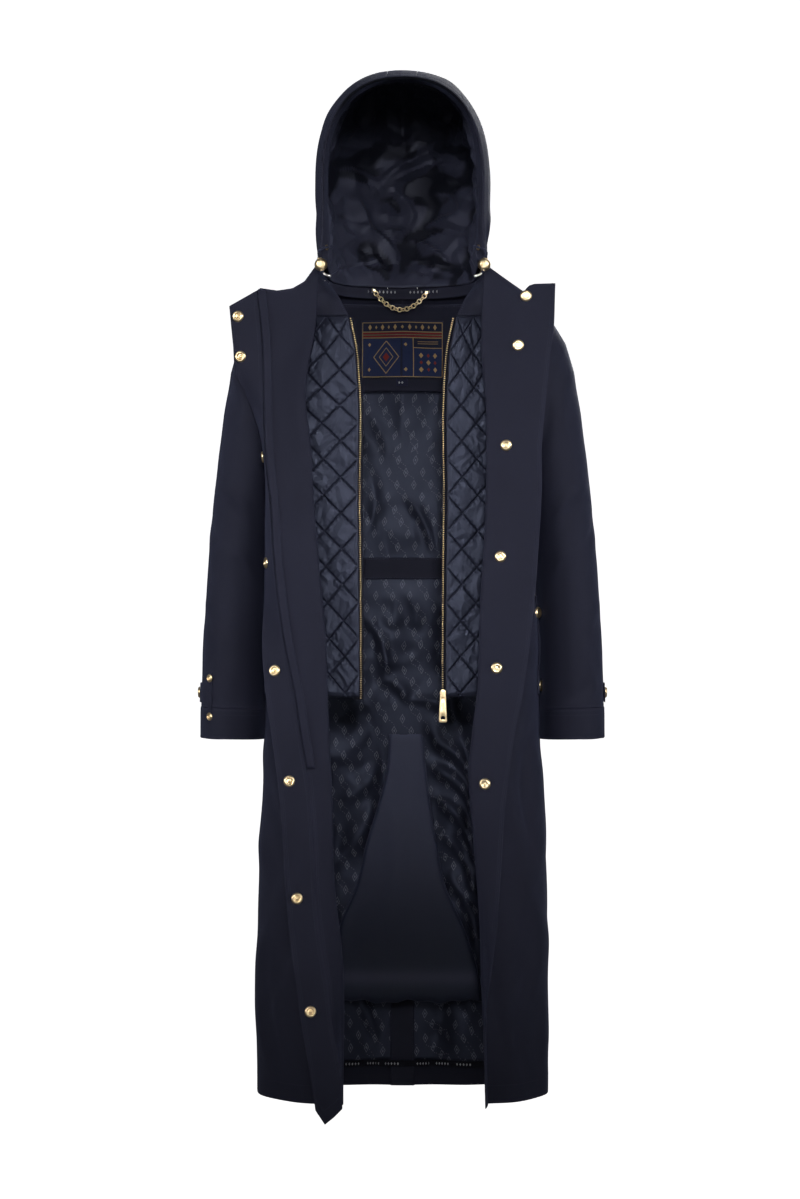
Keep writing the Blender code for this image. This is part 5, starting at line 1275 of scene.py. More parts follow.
def centre_share(turn):
    """The share of an arch at which the centre panel starts."""
    return 1 - CENTRE_HALF / np.interp(turn, line(0, 1, len(HOOD_LENGTH)), HOOD_LENGTH)


def hood_relief(turn, share):
    """The height of the hood's soft creases, calm at its rim, its neck and its seams."""
    height = creased(turn, share, HOOD_FOLDS)
    height = height + 0.0006 * cloud(np.stack([turn, share, 0 * turn], -1), 0.12, 31)
    rim = ramp(turn / 0.10) * ramp((1 - turn) / 0.06)
    base = ramp(np.minimum(share, 2 - share) / 0.05)
    seam = np.clip(np.abs(np.abs(share - 1) - (1 - centre_share(turn))) / 0.03, 0.15, 1)
    return height * rim * base * seam


# %% Cutting the hood
HOOD_TURNS = np.concatenate([[0, 0.003, 0.008], line(0.02, 0.98, 100), [0.992, 1.0]])
panels = {"left": [], "middle": [], "right": []}
for t in HOOD_TURNS:
    stop = centre_share(t)
    gap = SEAM / 2 / CENTRE_HALF * (1 - stop)
    runs = {
        "left": close_ends(50) * (stop - gap),
        "middle": stop + gap + close_ends(22, 0.02) * 2 * (1 - stop - gap),
        "right": 2 - close_ends(50) * (stop - gap),
    }
    for key, share in runs.items():
        turn = np.full(len(share), t)
        place = in_hood(turn, share, -hood_relief(turn, share))
        place[:, 2] += 0.0004 * (t > 0.995)
        if key != "middle":
            allowance = in_hood(turn[:1], share[:1], 0.0016) - np.array([0, 0, 0.0040])
            place = np.concatenate([allowance if t < 0.80 else place[:1] - np.array([0, 0, 0.0002]), place])
        panels[key].append(place)
for key, out in (("left", (1, 0, 0)), ("middle", (0, 0, 1)), ("right", (-1, 0, 0))):
    node = "hood_centre" if key == "middle" else "hood_side_" + key
    made = cut_panel("hood_panel_" + key, np.array(panels[key]), SHELL, SHELL_CLOTH, out, (0.3, 0.4))
    finish_sheet(made, [node], ease=1.02)

# %% [markdown]
# ## Inside the hood
#
# A wide facing of the outer cloth finishes the rim and makes the tunnel of the drawcord.
# Behind it the satin lining is cut larger than the dome, so it never pulls, and it
# falls into crossing folds. The big folds are placed where the cloth hangs from the top
# and bunches at the nape; they're given by where they lie, seen from the front. Between
# them facets with a fixed seed break the surface up.

# %% The facing at the rim
FACING_TURN = 0.075
RIM_FOLDS = (      # by turn and by share of the arch
    (0.01, 0.25, 0.07, 0.42, 0.04, 0.0020), (0.01, 0.50, 0.07, 0.60, 0.035, -0.0016),
    (0.01, 1.45, 0.07, 1.58, 0.04, 0.0020), (0.01, 1.70, 0.07, 1.80, 0.04, -0.0018),
    (0.02, 0.12, 0.06, 0.20, 0.03, 0.0016), (0.01, 1.25, 0.07, 1.33, 0.04, 0.0014),
)
# Its first rows wrap round the rim.
rim_turns = np.concatenate([[0.003, 0, 0, 0, 0.0015], line(0.004, FACING_TURN, 14)])
turn, share = net(rim_turns, line(0.02, 1.98, 220))
face_in = np.interp(turn, (0, 0.03, FACING_TURN), (0.0022, 0.0070, 0.0125)) + SHELL
face_in[:4] = np.array([-0.0006, 0.0000, 0.0010, 0.0026])[:, None]
facing = in_hood(turn, share, face_in + creased(turn, share, RIM_FOLDS) * ramp(turn / 0.02))
facing[:5, :, 1] -= np.array([0.0018, 0.0024, 0.0026, 0.0020, 0.0008])[:, None]
made = cut_panel("hood_rim_facing", facing, SHELL, FACING_CLOTH, (1, 0, 0), (0.5, 0.2))
# Painted shade: the facing's colour is painted darker over the top of the hood.
store_painted_shade(made, ramp((facing[..., 2] - 0.245) / 0.035))
finish_sheet(made, ["hood_facing"], ease=1.03)

# %% The folds of the satin
HOOD_CREASES = (
    (0.25, 0.35, 0.9, 0.10, 0.0050), (0.32, 0.75, -0.7, 0.09, 0.0045), (0.45, 1.20, 0.8, 0.11, 0.0050),
    (0.30, 1.62, -1.0, 0.10, 0.0050), (0.60, 0.55, -0.8, 0.10, 0.0050), (0.62, 1.45, 0.9, 0.11, 0.0055),
    (0.78, 0.95, 0.5, 0.10, 0.0045), (0.80, 1.60, -0.6, 0.10, 0.0040),
)
SATIN_FOLDS = folds(
    (-110, 235, 20, 225, 14, 10), (0, 215, 85, 250, 12, 9), (-40, 188, 60, 240, 10, 11),
    (-30, 182, 105, 222, 12, 11), (-105, 205, -25, 180, 13, 10), (40, 285, 108, 245, 11, 9),
    (-20, 183, 18, 140, 10, 10), (22, 150, -15, 105, 9, 9), (-70, 125, 0, 70, 12, 11),
    (-30, 118, 85, 45, 10, 12), (28, 118, 90, 135, 10, 9), (20, 90, 70, 115, 9, 8),
    (-80, 170, -50, 110, 11, 7.5), (75, 180, 105, 150, 10, 8), (-60, 275, 0, 262, 13, 8),
    (-90, 85, -40, 35, 11, 8), (0, 50, 60, 28, 9, 7),
)
# Where the satin sinks back in broad shapes, which are also painted dark as painted shade: start, end and
# width.
SATIN_HOLLOWS = folds(
    (-85, 212, 34, 237, 15), (-104, 198, -40, 184, 8), (40, 245, 98, 222, 10), (0, 176, 92, 182, 16),
    (10, 160, 66, 152, 10), (-74, 94, -14, 54, 9), (18, 71, 90, 43, 8), (-10, 98, 70, 114, 7),
    (-28, 171, -2, 142, 7), (-60, 62, -20, 40, 5),
)
SIDE_FOLDS = folds(
    (-60, 270, 40, 200, 12, 6), (-40, 190, 60, 110, 11, 6.5), (-70, 120, 30, 60, 11, 5.5),
    (0, 240, 80, 230, 10, 5),
)


def ridges(tab, a, b, reach=None):
    """The broad ridges that the solid linings already have: place, slant, width and depth."""
    total = np.zeros(np.broadcast(a, b).shape)
    for a0, b0, slant, wide, depth in tab:
        across = (b - b0) - slant * (a - a0)
        run = (a - a0) + slant * (b - b0)
        total += depth * np.exp(-((across / wide) ** 2)) * np.exp(-((run / (reach or 5 * wide)) ** 2))
    return total


# %% The satin lining
turn, share = net(line(FACING_TURN + 0.012, 0.997, 140), line(0.03, 1.97, 208))
flat = in_hood(turn, share, np.full(turn.shape, 0.012))
x, y, z = np.moveaxis(flat, -1, 0)
around = 0.12 * np.arctan2(x, y + 0.04)
rear = ramp((y + 0.03) / 0.06)
fold = creased(x, z, SATIN_FOLDS, 1.5, 2.3) * rear + creased(y, z, SIDE_FOLDS, 1.5, 1.6) * (1 - rear)
fold = 0.80 * fold + 0.0105 * facets(around, z, 0.042, 41) + 0.0034 * facets(around, z, 0.018, 43)
hollow = creased(x, z, np.insert(SATIN_HOLLOWS, 5, 1.0, axis=1), 2.2) * rear
fold = fold - 0.004 * ramp(hollow)
calm = ramp((turn - FACING_TURN - 0.012) / 0.06) * ramp((0.997 - turn) / 0.05)
calm = calm * ramp(np.minimum(share - 0.03, 1.97 - share) / 0.05)
depth = 0.0145 - 0.0075 * turn - 0.6 * ridges(HOOD_CREASES, turn, share)
depth = np.maximum(depth, 0.0034) * np.where(turn > 0.93, 0.6, 1.0) + fold * calm
satin = in_hood(turn, share, np.maximum(depth, 0.0030))
made = cut_panel("hood_satin_lining", satin, LINING, HOOD_SATIN, (-1, 0, 0), (0.3, 0.2), angle=15)
# Painted shade: the satin's colour is painted near black in its hollows, in patches among its facets, over
# the top of the hood and in the troughs of its folds.
painted_satin_shade = ramp((hollow + 0.30 * facets(around, z, 0.026, 47) - 0.26) / 0.12)
painted_satin_shade = 0.88 * np.maximum(painted_satin_shade, ramp((z - 0.222) / 0.045))
store_painted_shade(made, np.maximum(0.85 * ramp((-0.0006 - fold) / 0.0020), painted_satin_shade))
finish_sheet(made, ["hood_lining"], ease=1.12)

# %% [markdown]
# ## The lining of the back
#
# The lining hangs a few millimetres inside the back and is longer and wider than it, so
# it drops into slack folds. It lies flat where something is sewn on it: the neck
# facing, the waist band and the vent facing. Beside the gusset it's pulled aside and bunches into
# long slanted folds. One grid makes it all, and every trim reads the same surface.

# %% The lining's surface
BACK_CREASES = (      # height, place across, slant, width and depth
    (-0.20, 0.055, 0.20, 0.016, 0.0030), (-0.26, -0.060, -0.25, 0.018, 0.0030),
    (-0.33, 0.020, 0.15, 0.016, 0.0022), (-0.50, -0.015, 0.10, 0.016, 0.0022),
    (-0.80, 0.075, 0.45, 0.018, 0.0050), (-0.92, 0.095, 0.60, 0.016, 0.0045),
    (-0.98, 0.060, 0.50, 0.015, 0.0040), (-0.72, -0.085, -0.20, 0.018, 0.0040),
    (-0.90, -0.100, -0.15, 0.018, 0.0035), (-1.08, 0.100, 0.30, 0.016, 0.0035),
)
LINING_FOLDS = folds(
    (3, -290, 48, -388, 6, 4.6), (-55, -160, -20, -240, 9, 3), (-50, -255, -55, -350, 8, 2.6),
    (-59, -470, -24, -572, 8, 6), (-24, -570, 12, -606, 7, 5), (8, -604, 64, -614, 7, 5),
    (60, -440, 40, -560, 10, 3.6), (5, -430, 20, -500, 9, 3), (-62, -600, -26, -672, 9, 4.6),
    (20, -640, 62, -668, 8, 4), (40, -660, 120, -740, 9, 10), (45, -700, 125, -800, 9, 11),
    (52, -745, 120, -870, 9, 10), (60, -800, 118, -930, 8, 9), (72, -870, 115, -990, 8, 7),
    (-30, -690, -100, -760, 12, 6), (-45, -740, -110, -860, 12, 7), (-60, -830, -105, -960, 11, 6),
    (50, -1030, 110, -1080, 9, 5), (-110, -1020, -50, -1100, 10, 4.6), (-80, -1060, -40, -1130, 9, 3.6),
    (40, -1090, 90, -1140, 9, 3.6),
)
LINING_SEAM = -0.019     # the lining's own seam stands off the middle of the back
NECK_FOOT, BAND_TOP, BAND_BOTTOM = -0.131, -0.3850, -0.4180


def lining_creases(x, z):
    """How far the lining's folds stand in from its flat place."""
    x, z = np.broadcast_arrays(x, z)
    spot = np.stack([x, 0.0 * x, z], axis=-1)
    slack = creased(x, z, LINING_FOLDS, 1.6) + 0.0016 * crumple(spot, 0.055, 61)
    slack = slack + 0.0024 * facets(x, z, 0.030, 65) * ramp((-0.43 - z) / 0.05)
    beside = np.where((z < -0.43) & (z > -0.70), np.exp(-((x - LINING_SEAM) / 0.011) ** 2), 0.0)
    slack = slack + 0.0011 * beside * np.sin(z / 0.0052 + 3.0 * cloud(spot, 0.04, 63))
    slack = slack - 0.0016 * np.exp(-((x - LINING_SEAM) / 0.0016) ** 2) * (z < -0.42)
    calm = ramp(np.abs(z + 0.4015) / 0.03 - 0.65)
    calm = calm * np.where(z < VENT_TOP + 0.05, ramp((np.abs(x) - 0.030) / 0.02), 1.0)
    sewn = ramp((-0.135 - z) / 0.03) * ramp((z + 1.150) / 0.03)
    under_fan = ramp((np.abs(x) - 0.030 - 0.13 * (-0.67 - z)) / 0.02)
    room = np.where((z < -0.65) & (z > -1.07), 0.0070 + 0.02 * under_fan, 0.02)
    broad = ridges(BACK_CREASES, z, x, 0.10) * (z <= NECK_FOOT)
    return np.minimum((broad + np.maximum(slack, -0.002) * sewn) * calm, room)


def lining_points(x, z, inside=0.0):
    return on_back(x, z, 0.0050 + lining_creases(x, z) + inside)


def lining_grid(rows, share, inside=0.0):
    """Points over the lining's width at these heights."""
    z, across = net(rows, share)
    half = smooth(BODY, "half_width", np.minimum(z, UNDERARM[2])) - 0.012
    half -= 0.28 * np.maximum(0.0, z - UNDERARM[2])
    return lining_points(across * half, z, inside)


def over_vent(x):
    """The hem tape steps up over the vent facing."""
    step = ramp((0.045 - np.abs(x)) / 0.012)
    return (SHELL + LINING + LAY + 0.0012) * step * step * (3 - 2 * step)


def dressed(made, node=None):
    """Lets a piece stand for its solid, which it hides if one is named."""
    if node:
        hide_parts(node)
    return made


def back_strip(name, xs, zs, inside, wall, material, node=None):
    """A piece that lies on the inside of the back, between heights and widths."""
    z, x = net(zs, xs)
    made = cut_panel(name, lining_points(x, z, inside), wall, material, FRONT_OUT)
    return dressed(made, node)


rows = np.concatenate([line(NECK_FOOT, -0.382, 52), line(-0.421, -1.156, 160)])
BACK_LINING = cut_panel("back_lining", lining_grid(rows, line(-1, 1, 118)), LINING, PRINTED, FRONT_OUT)
band = lining_grid(line(BAND_TOP, BAND_BOTTOM, 18), line(-0.857, 0.857, 90), LINING + LAY + 0.0003)
waist = cut_panel("waist_band_strip", band, TRIM, FACING_CLOTH, FRONT_OUT)
dressed(waist, "waist_band")
facing = back_strip(
    "neck_facing_panel", line(-0.098, 0.098, 60), line(-0.1300, 0.0020, 40), 0.0002, SHELL, FACING_CLOTH,
    node="neck_facing")
vent = back_strip(
    "vent_facing_strip", line(-0.0175, 0.0175, 13), line(VENT_TOP - 0.002, HEM_BACK + 0.0004, 190),
    LINING + LAY + 0.0003, SHELL, FACING_CLOTH, node="vent_facing")
tape_x, tape_z = net(line(-0.170, 0.170, 150), line(-1.1565, -1.1660, 5))
hem = cut_panel("hem_tape_strip", lining_points(tape_x, tape_z, 0.0002 + over_vent(tape_x)), TRIM, TAPE_CLOTH,
                FRONT_OUT)
dressed(hem, "hem_tape")
print("lining and its trims:", [piece.name for piece in (BACK_LINING, waist, facing, vent, hem)])

# %% [markdown]
# ## Tapes and the woven label
#
# A tape covers the neck seam and another the hem. The label is woven in a few colours of
# thread, and each colour lies a little proud of the ground, so every shape on it is a thin
# patch moved out from the same surface. Its design is made up from plain geometry:
# a frame, stripes, and lozenges in boxes.

# %% Thin patches of thread
def patches(name, grids, wall, material):
    """One mesh of many small grids, each with a thin wall towards the front."""
    points, faces = [], []
    for grid in grids:
        a, b, c = grid[0, 0], grid[0, 1], grid[1, 0]
        order = [3, 2, 1, 0] if np.dot(np.cross(b - a, c - a), FRONT_OUT) < 0 else [0, 1, 2, 3]
        faces.append(quads(*grid.shape[:2])[0].reshape(-1, 4)[:, order] + sum(map(len, points)))
        points.append(grid.reshape(-1, 3))
    mesh = mesh_of(name, np.concatenate(points), np.concatenate(faces))
    mesh.materials.append(material)
    return dressed(walled(put(name, mesh), wall, "coat"))


LABEL_IN = 0.0009 + SHELL + LAY
ON_LABEL = LABEL_IN + TRIM + 0.00008


def bar(x0, z0, x1, z1, wide):
    """A line of thread from one point of the label to another."""
    length = math.hypot(x1 - x0, z1 - z0)
    count = max(2, int(length / 0.004) + 1)
    x, z = line(x0, x1, count), line(z0, z1, count)
    side, rise = (z0 - z1) / length * wide / 2, (x1 - x0) / length * wide / 2
    return lining_points(np.stack([x - side, x + side]), np.stack([z - rise, z + rise]), ON_LABEL)


def lozenge(x, z, wide, high, lift=ON_LABEL):
    """A filled lozenge."""
    corner = np.array([[-1, 0], [0, 1], [0, -1], [1, 0]]) * np.array([wide, high]) / 2
    return lining_points((x + corner[:, 0]).reshape(2, 2), (z + corner[:, 1]).reshape(2, 2), lift)


def lozenge_line(x, z, wide, high, thick):
    """The outline of a lozenge."""
    ends = [(x - wide / 2, z), (x, z + high / 2), (x + wide / 2, z), (x, z - high / 2)]
    return [bar(*ends[k - 1], *ends[k], thick) for k in (1, 2, 3, 0)]


# %% The label
LEFT_X, RIGHT_X, TOP_Z, LOW_Z = -0.0618, 0.0618, -0.0232, -0.1068
BAND_Z, BOX_Z, MIDDLE_X, SHELF_Z = -0.0372, -0.0462, 0.0150, -0.0625
BIG_X, BIG_Z = -0.0235, -0.0765      # the middle of the large lozenge
label = back_strip("label_ground", line(-0.064, 0.064, 60), line(-0.0210, -0.1090, 42), LABEL_IN, TRIM,
                   LABEL_CLOTH, "label")
gold = [bar(LEFT_X, z, RIGHT_X, z, 0.0011) for z in (TOP_Z, BAND_Z, BOX_Z, LOW_Z)]
gold += [bar(x, TOP_Z, x, LOW_Z, 0.0011) for x in (LEFT_X, RIGHT_X)]
gold += [bar(MIDDLE_X, BOX_Z, MIDDLE_X, LOW_Z, 0.0011), bar(MIDDLE_X, SHELF_Z, RIGHT_X, SHELF_Z, 0.0010)]
gold += [bar(LEFT_X, -0.0417, RIGHT_X, -0.0417, 0.0006)]
for k in range(11):
    tall = 0.0090 if k % 2 == 0 else 0.0056
    gold.append(lozenge(-0.050 + 0.010 * k, -0.0302, 0.62 * tall, tall))
gold += lozenge_line(BIG_X, BIG_Z, 0.040, 0.050, 0.0011) + lozenge_line(BIG_X, BIG_Z, 0.022, 0.028, 0.0009)
gold += [lozenge(BIG_X + dx, BIG_Z + dz, 0.0045, 0.0062) for dx in (-0.027, 0.027) for dz in (-0.019, 0.019)]
red = [bar(LEFT_X + 0.0006, z, RIGHT_X - 0.0006, z, 0.0017) for z in (-0.0395, -0.0440)]
red.append(lozenge(BIG_X, BIG_Z, 0.0105, 0.0135))
for i, j in np.ndindex(3, 3):
    thread, wide, high = (red, 0.0050, 0.0062) if (i + j) % 2 else (gold, 0.0070, 0.0085)
    thread.append(lozenge(0.0268 + 0.0115 * i, -0.0740 - 0.0108 * j, wide, high))
gold += [bar(0.022, z, 0.055, z, 0.0008) for z in (-0.0525, -0.0560)]
blue = []
for x0, x1, z0 in ((LEFT_X, MIDDLE_X, BOX_Z), (MIDDLE_X, RIGHT_X, SHELF_Z)):
    z, x = net(line(z0 - 0.001, LOW_Z + 0.001, 18), line(x0 + 0.001, x1 - 0.001, 24))
    blue.append(lining_points(x, z, LABEL_IN + TRIM + 0.00004))
threads = [
    patches(f"label_{colour}_thread", grids, wall, material)
    for colour, grids, wall, material in (
        ("gold", gold, 0.00026, GOLD_THREAD), ("red", red, 0.00022, RED_THREAD),
        ("blue", blue, 0.00004, BLUE_THREAD))
]
ON_TAB = 0.0006 + SHELL + LAY
SIZE_TAB = back_strip("size_tab", line(-0.0075, 0.0062, 10), line(-0.1098, -0.1215, 8), ON_TAB, 0.0006,
                      LABEL_CLOTH)
size_mark = [lozenge(x, -0.1160, 0.0022, 0.0042, ON_TAB + 0.0006 + 0.0001) for x in (-0.0030, 0.0000)]
SIZE_MARK = patches("size_mark", size_mark, 0.00012, PALE_THREAD)
finish_sheet(BACK_LINING, ["lining_back"],
             ease=1.03)

# %% The neck tape and the marks on both tapes
half_ring = along(neck_back(line(0, 1, 160)), line(0, 1, 46))[1:]
neck_ring = np.concatenate([half_ring, mirrored(half_ring)[-2::-1]])
ring_in = unit(-neck_ring * np.array([1, 1, 0]))


def on_neck_tape(fall, lift=0.0):
    """Points along the neck tape, down it by fall."""
    inside = 0.0005 + (fall - 0.0006) * 0.05 + lift
    return neck_ring + ring_in * inside + np.array([0, 0, -fall])


NECK_TAPE = cut_panel("neck_tape_strip", np.array([on_neck_tape(f) for f in line(-0.0036, 0.0126, 9)]), TRIM,
                      FACING_CLOTH, FRONT_OUT)
marks = []
order = np.argsort(neck_ring[:, 0])
edges = [on_neck_tape(fall, TRIM + 0.0001)[order] for fall in (0.0038, -0.0010)]
side = np.array([0.0014, 0, 0])
for x in [start + 0.0058 * k for start in (-0.052, 0.012) for k in range(8)]:
    low, high = (np.array([np.interp(x, edge[:, 0], edge[:, c]) for c in range(3)]) for edge in edges)
    marks.append(np.array([[(low + high) / 2 - side, high], [low, (low + high) / 2 + side]]))
z_mark = (-1.1600 - 1.1632) / 2
groups = (-0.118, -0.088, -0.055, -0.025, 0.022, 0.054, 0.086)
for x in [start + 0.0046 * k for start in groups for k in range(5)]:
    marks.append(lozenge(x, z_mark, 0.0026, 0.0044, 0.0002 + TRIM + 0.0001 + float(over_vent(x))))
tape_marks = patches("tape_marks", marks, 0.00012, PALE_THREAD)
finish_sheet(NECK_TAPE, ["neck_tape"])
print("tape marks:", len(marks))

# %% [markdown]
# ## The vent gusset
#
# The back vent opens over a fan-shaped gusset of the outer cloth. The fan is wider than
# the slit, so it's folded: its front layer shows, and at each side it turns round and runs
# back behind. Each row of the grid is walked layer by layer. Its lower edge
# swells forward and rolls under in a soft hem.

# %% The folded fan
BEHIND, TURN = 0.0150, 0.0040
FAN_FOLDS = folds(
    (4, -680, 0, -860, 11, 1.2), (-14, -740, -45, -960, 14, 2), (20, -760, 50, -980, 14, -2),
    (0, -850, 12, -1010, 16, 1.8), (-60, -900, -75, -1020, 12, -1.8), (65, -880, 85, -1000, 12, 2.2),
    (-30, -930, -25, -1040, 13, -1.6), (40, -960, 36, -1040, 12, 1.6),
)
fan_z = np.concatenate([[-0.655, -0.6554], line(-0.658, -1.058, 120), [-1.0597, -1.060]])[:, None]
fan_left, fan_right, fan_y = (smooth(GUSSET, c, fan_z) for c in ("left", "right", "y"))
swell, under = ramp((-0.985 - fan_z) / 0.055), ramp((-1.046 - fan_z) / 0.014)
fan_y = fan_y - 0.0090 * swell**1.5 + 0.0075 * (1 - np.sqrt(1 - under**2 * 0.999))
back_share = line(0.3, 1.0, 9)[None, :]
back_x = np.concatenate([-fan_left * back_share, fan_right * back_share[:, ::-1]], axis=1)
behind = on_back(back_x, np.broadcast_to(fan_z, back_x.shape), BEHIND)[..., 1]
front_share = line(0, 1, 42)[None, 1:-1]
front_x = -fan_left + (fan_left + fan_right) * front_share
relief = creased(front_x, np.broadcast_to(fan_z, front_x.shape), FAN_FOLDS, 1.9)
relief = relief + 0.0035 * np.sin(np.pi * front_share) * ramp((-0.66 - fan_z) / 0.05)
front_y = fan_y - relief * ramp(np.minimum(front_share, 1 - front_share) / 0.08)
bend = line(0, np.pi, 9)[None, 1:-1]
bulge, share = TURN * np.sin(bend), (1 - np.cos(bend)) / 2
left_y = behind[:, 8:9] * (1 - share) + fan_y * share
right_y = fan_y * (1 - share) + behind[:, 9:10] * share
fan_x = np.concatenate([back_x[:, :9], -fan_left - bulge, -fan_left, front_x,
                        fan_right, fan_right + bulge, back_x[:, 9:]], axis=1)
fan_ys = np.concatenate([behind[:, :9], left_y, fan_y, front_y, fan_y, right_y, behind[:, 9:]], axis=1)
fan = np.stack([fan_x, fan_ys, np.broadcast_to(fan_z, fan_x.shape)], axis=-1)
foot = ramp((-1.00 - fan[..., 2]) / 0.06)
fan[..., 2] += foot * (0.0022 * np.sin(fan_x * 75 + 0.6) + 0.0014 * np.sin(fan_x * 190))
made = cut_panel("vent_gusset_fan", fan, SHELL, GUSSET_CLOTH, FRONT_OUT)
# Painted shade: the gusset's colour is painted darker towards its foot, eased off on the roll of its hem so
# that the roll reads lighter.
shade = ramp((-0.74 - fan[..., 2]) / 0.25)
store_painted_shade(made, shade * shade * (3 - 2 * shade) * (1 - 0.5 * np.exp(-((fan[..., 2] + 1.025) / 0.012) ** 2)))
finish_sheet(made, ["back_gusset"], ease=1.02)

# %% [markdown]
# ## The quilted bibs
#
# A bib is nylon over thin wadding, stitched through in crossed lines. Between the lines
# the wadding lifts the cloth into soft pillows; on a line it's held down hard, and
# the spare cloth gathers in short puckers square to the stitches. The height comes from
# the distance to the two sets of lines, so the pillows stay exactly between the stitches.

# %% Quilting heights
PUFF, BIB_WALL, QUILTS_WIDE = 0.0040, 0.0024, 1.5
BIBS = (("left", 1, FOLD_LEFT), ("right", -1, FOLD_RIGHT))


def bib_points(fold, z, share, forward=0.0):
    """Points of a bib from its zip edge (share 0) to where it tucks in behind the fold (1)."""
    outer = smooth(fold, "x", z) + smooth(BIB, "tuck", z)
    x = smooth(BIB, "inner_x", z) * (1 - share) + outer * share
    y = smooth(BIB, "inner_y", z) * (1 - share) + smooth(BIB, "outer_y", z) * share
    return np.stack([x, y - forward, z], axis=-1)


def zip_edge_of(fold, start, stop, count):
    """The zip edge of a bib, and the way from there towards the bib's other edge."""
    z = line(start, stop, count)
    edge, outer = bib_points(fold, z, 0 * z), bib_points(fold, z, 0 * z + 1)
    return edge, (outer - edge) / (outer - edge)[:, :1]


def quilt_rise(z, share, seed):
    """Height of the padding, from 0 on a line of stitching to about 1 between them."""
    a, b = QUILTS_WIDE * share, (BIB_TOP - z) / QUILT_HIGH
    one, two = np.abs(np.sin(np.pi * (a + b))), np.abs(np.sin(np.pi * (a - b)))
    held = (1 - np.exp(-(one / 0.075) ** 2)) * (1 - np.exp(-(two / 0.075) ** 2))
    pillow = 0.72 * held + 0.28 * np.sqrt(one * two)
    spot = np.stack([0.10 * share, 0 * z, z], axis=-1)
    pucker = 0.0
    for near, far, way in ((one, two, 1), (two, one, -1)):
        ripple = np.sin(2 * np.pi * (4.6 * (a - way * b)) + 5.0 * cloud(spot, 0.03, seed))
        pucker = pucker + ripple * np.exp(-((near - 0.22) / 0.20) ** 2) * (far > 0.15)
    slack = 0.22 * cloud(spot, 0.035, seed + 2) + 0.30 * facets(spot[..., 0], z, 0.013, seed + 4)
    return np.clip(pillow * (1 + slack) + 0.12 * pucker * pillow, 0.0, 1.4)


def quilted(name, raised, plain, flipped):
    """A padded mesh: the raised front grid, a rim, and one plain strip a row behind."""
    rows, columns = raised.shape[:2]
    count = rows * columns
    front = quads(rows, columns)[0][..., [0, 3, 2, 1]].reshape(-1, 4)
    first = count + np.arange(rows) * columns
    last = first + columns - 1
    back = [[*range(count, count + columns), last[1], first[1]]]
    back += [[first[r], last[r], last[r + 1], first[r + 1]] for r in range(1, rows - 2)]
    back += [[first[-2], last[-2], *range(2 * count - 1, 2 * count - columns - 1, -1)]]
    rim = np.concatenate([
        np.arange(columns), np.arange(1, rows) * columns + columns - 1,
        (rows - 1) * columns + np.arange(columns - 2, -1, -1), np.arange(rows - 2, 0, -1) * columns])
    around = np.roll(rim, -1)
    sides = np.stack([rim, around, around + count, rim + count], axis=-1)
    faces = np.concatenate([front, sides]).tolist() + [[int(p) for p in face] for face in back]
    faces = [face[::-1] for face in faces] if flipped else faces
    mesh = mesh_of(name, np.stack([raised, plain]), faces)
    across, down = walked(raised)
    spread = np.concatenate([np.stack([across, -down], -1).reshape(-1, 2)] * 2)
    unfold(mesh, spread[np.concatenate([np.array(face) for face in faces])])
    return mesh


# %% The bibs, their yokes and zip tapes
YOKE_FOLDS = folds((85, 0, 110, -15, 8, 1.4), (80, 20, 105, 10, 7, -1.0))
bib_z, bib_share = net(line(BIB_TOP, BIB_HEM, 450), line(0, 1, 78))
for side, sign, fold in BIBS:
    flip = np.array([sign, 1, 1])
    rise = quilt_rise(bib_z, bib_share, 71 + sign)
    t = np.minimum(bib_share / 0.10, (1 - bib_share) / 0.05)
    t = np.minimum(t, np.minimum((bib_z - BIB_HEM) / 0.008, (BIB_TOP - bib_z) / 0.012))
    calm = np.sqrt(ramp(t))
    sag = 0.0016 * cloud(np.stack([bib_share * 0.1, 0 * bib_z, bib_z], -1), 0.09, 77 + sign) * calm
    plain = bib_points(fold, bib_z, bib_share) * flip
    padding = BIB_WALL * (0.35 + 0.65 * calm) + PUFF * rise * calm + sag
    raised = bib_points(fold, bib_z, bib_share, padding) * flip
    mesh = quilted("quilted_bib_" + side, raised, plain, sign < 0)
    # Painted shade: the nylon's colour is painted darker where the padding is low, in the grooves along the
    # stitch lines.
    hollow = 0.8 * np.exp(-(rise * calm / 0.13) ** 2)
    store(mesh, "seam", np.stack([hollow, 0 * hollow]))
    shape = bmesh.new()
    shape.from_mesh(mesh)
    bmesh.ops.delete(shape, geom=[v for v in shape.verts if not v.link_faces], context="VERTS")
    shape.to_mesh(mesh)
    shape.free()
    finished(mesh, QUILT_NYLON, 60)
    made = dressed(put(mesh.name, mesh, "coat"), "bib_" + side)

    columns = line(0, 1, 34)
    bib_head = bib_points(fold, np.full(34, BIB_TOP), columns) + np.array([0, 0, YOKE_FOOT])
    crest = neck_front(line(0.12, 0.80, 34), fold) + np.array([-0.0008, 0.0, -0.0014])
    bow = np.array([0.0, -0.006, 0.004])
    yoke = np.array([bib_head * (1 - t) + crest * t + bow * np.sin(np.pi * t) for t in line(0, 1, 26)])
    yoke = pressed_strip(yoke, YOKE_FOLDS, FRONT_OUT, small=0.0005, keep=(0.15, 0.15)) * flip
    made = cut_panel("yoke_" + side, yoke, SHELL, FACING_CLOTH, (-sign, -1, 0))
    finish_sheet(made, ["bib_yoke_" + side])

    edge, lean = zip_edge_of(fold, BIB_TOP - 0.002, BIB_HEM - 0.004, 150)
    behind = np.array([0, LAY + TRIM, 0])
    tape = np.stack([edge + lean * dx + behind for dx in line(-0.0065, 0.0070, 9)], axis=1)
    made = cut_panel("bib_zip_tape_" + side, tape * flip, TRIM, TAPE_CLOTH, FRONT_OUT)
    finish_sheet(made, ["zip_tape_" + side])

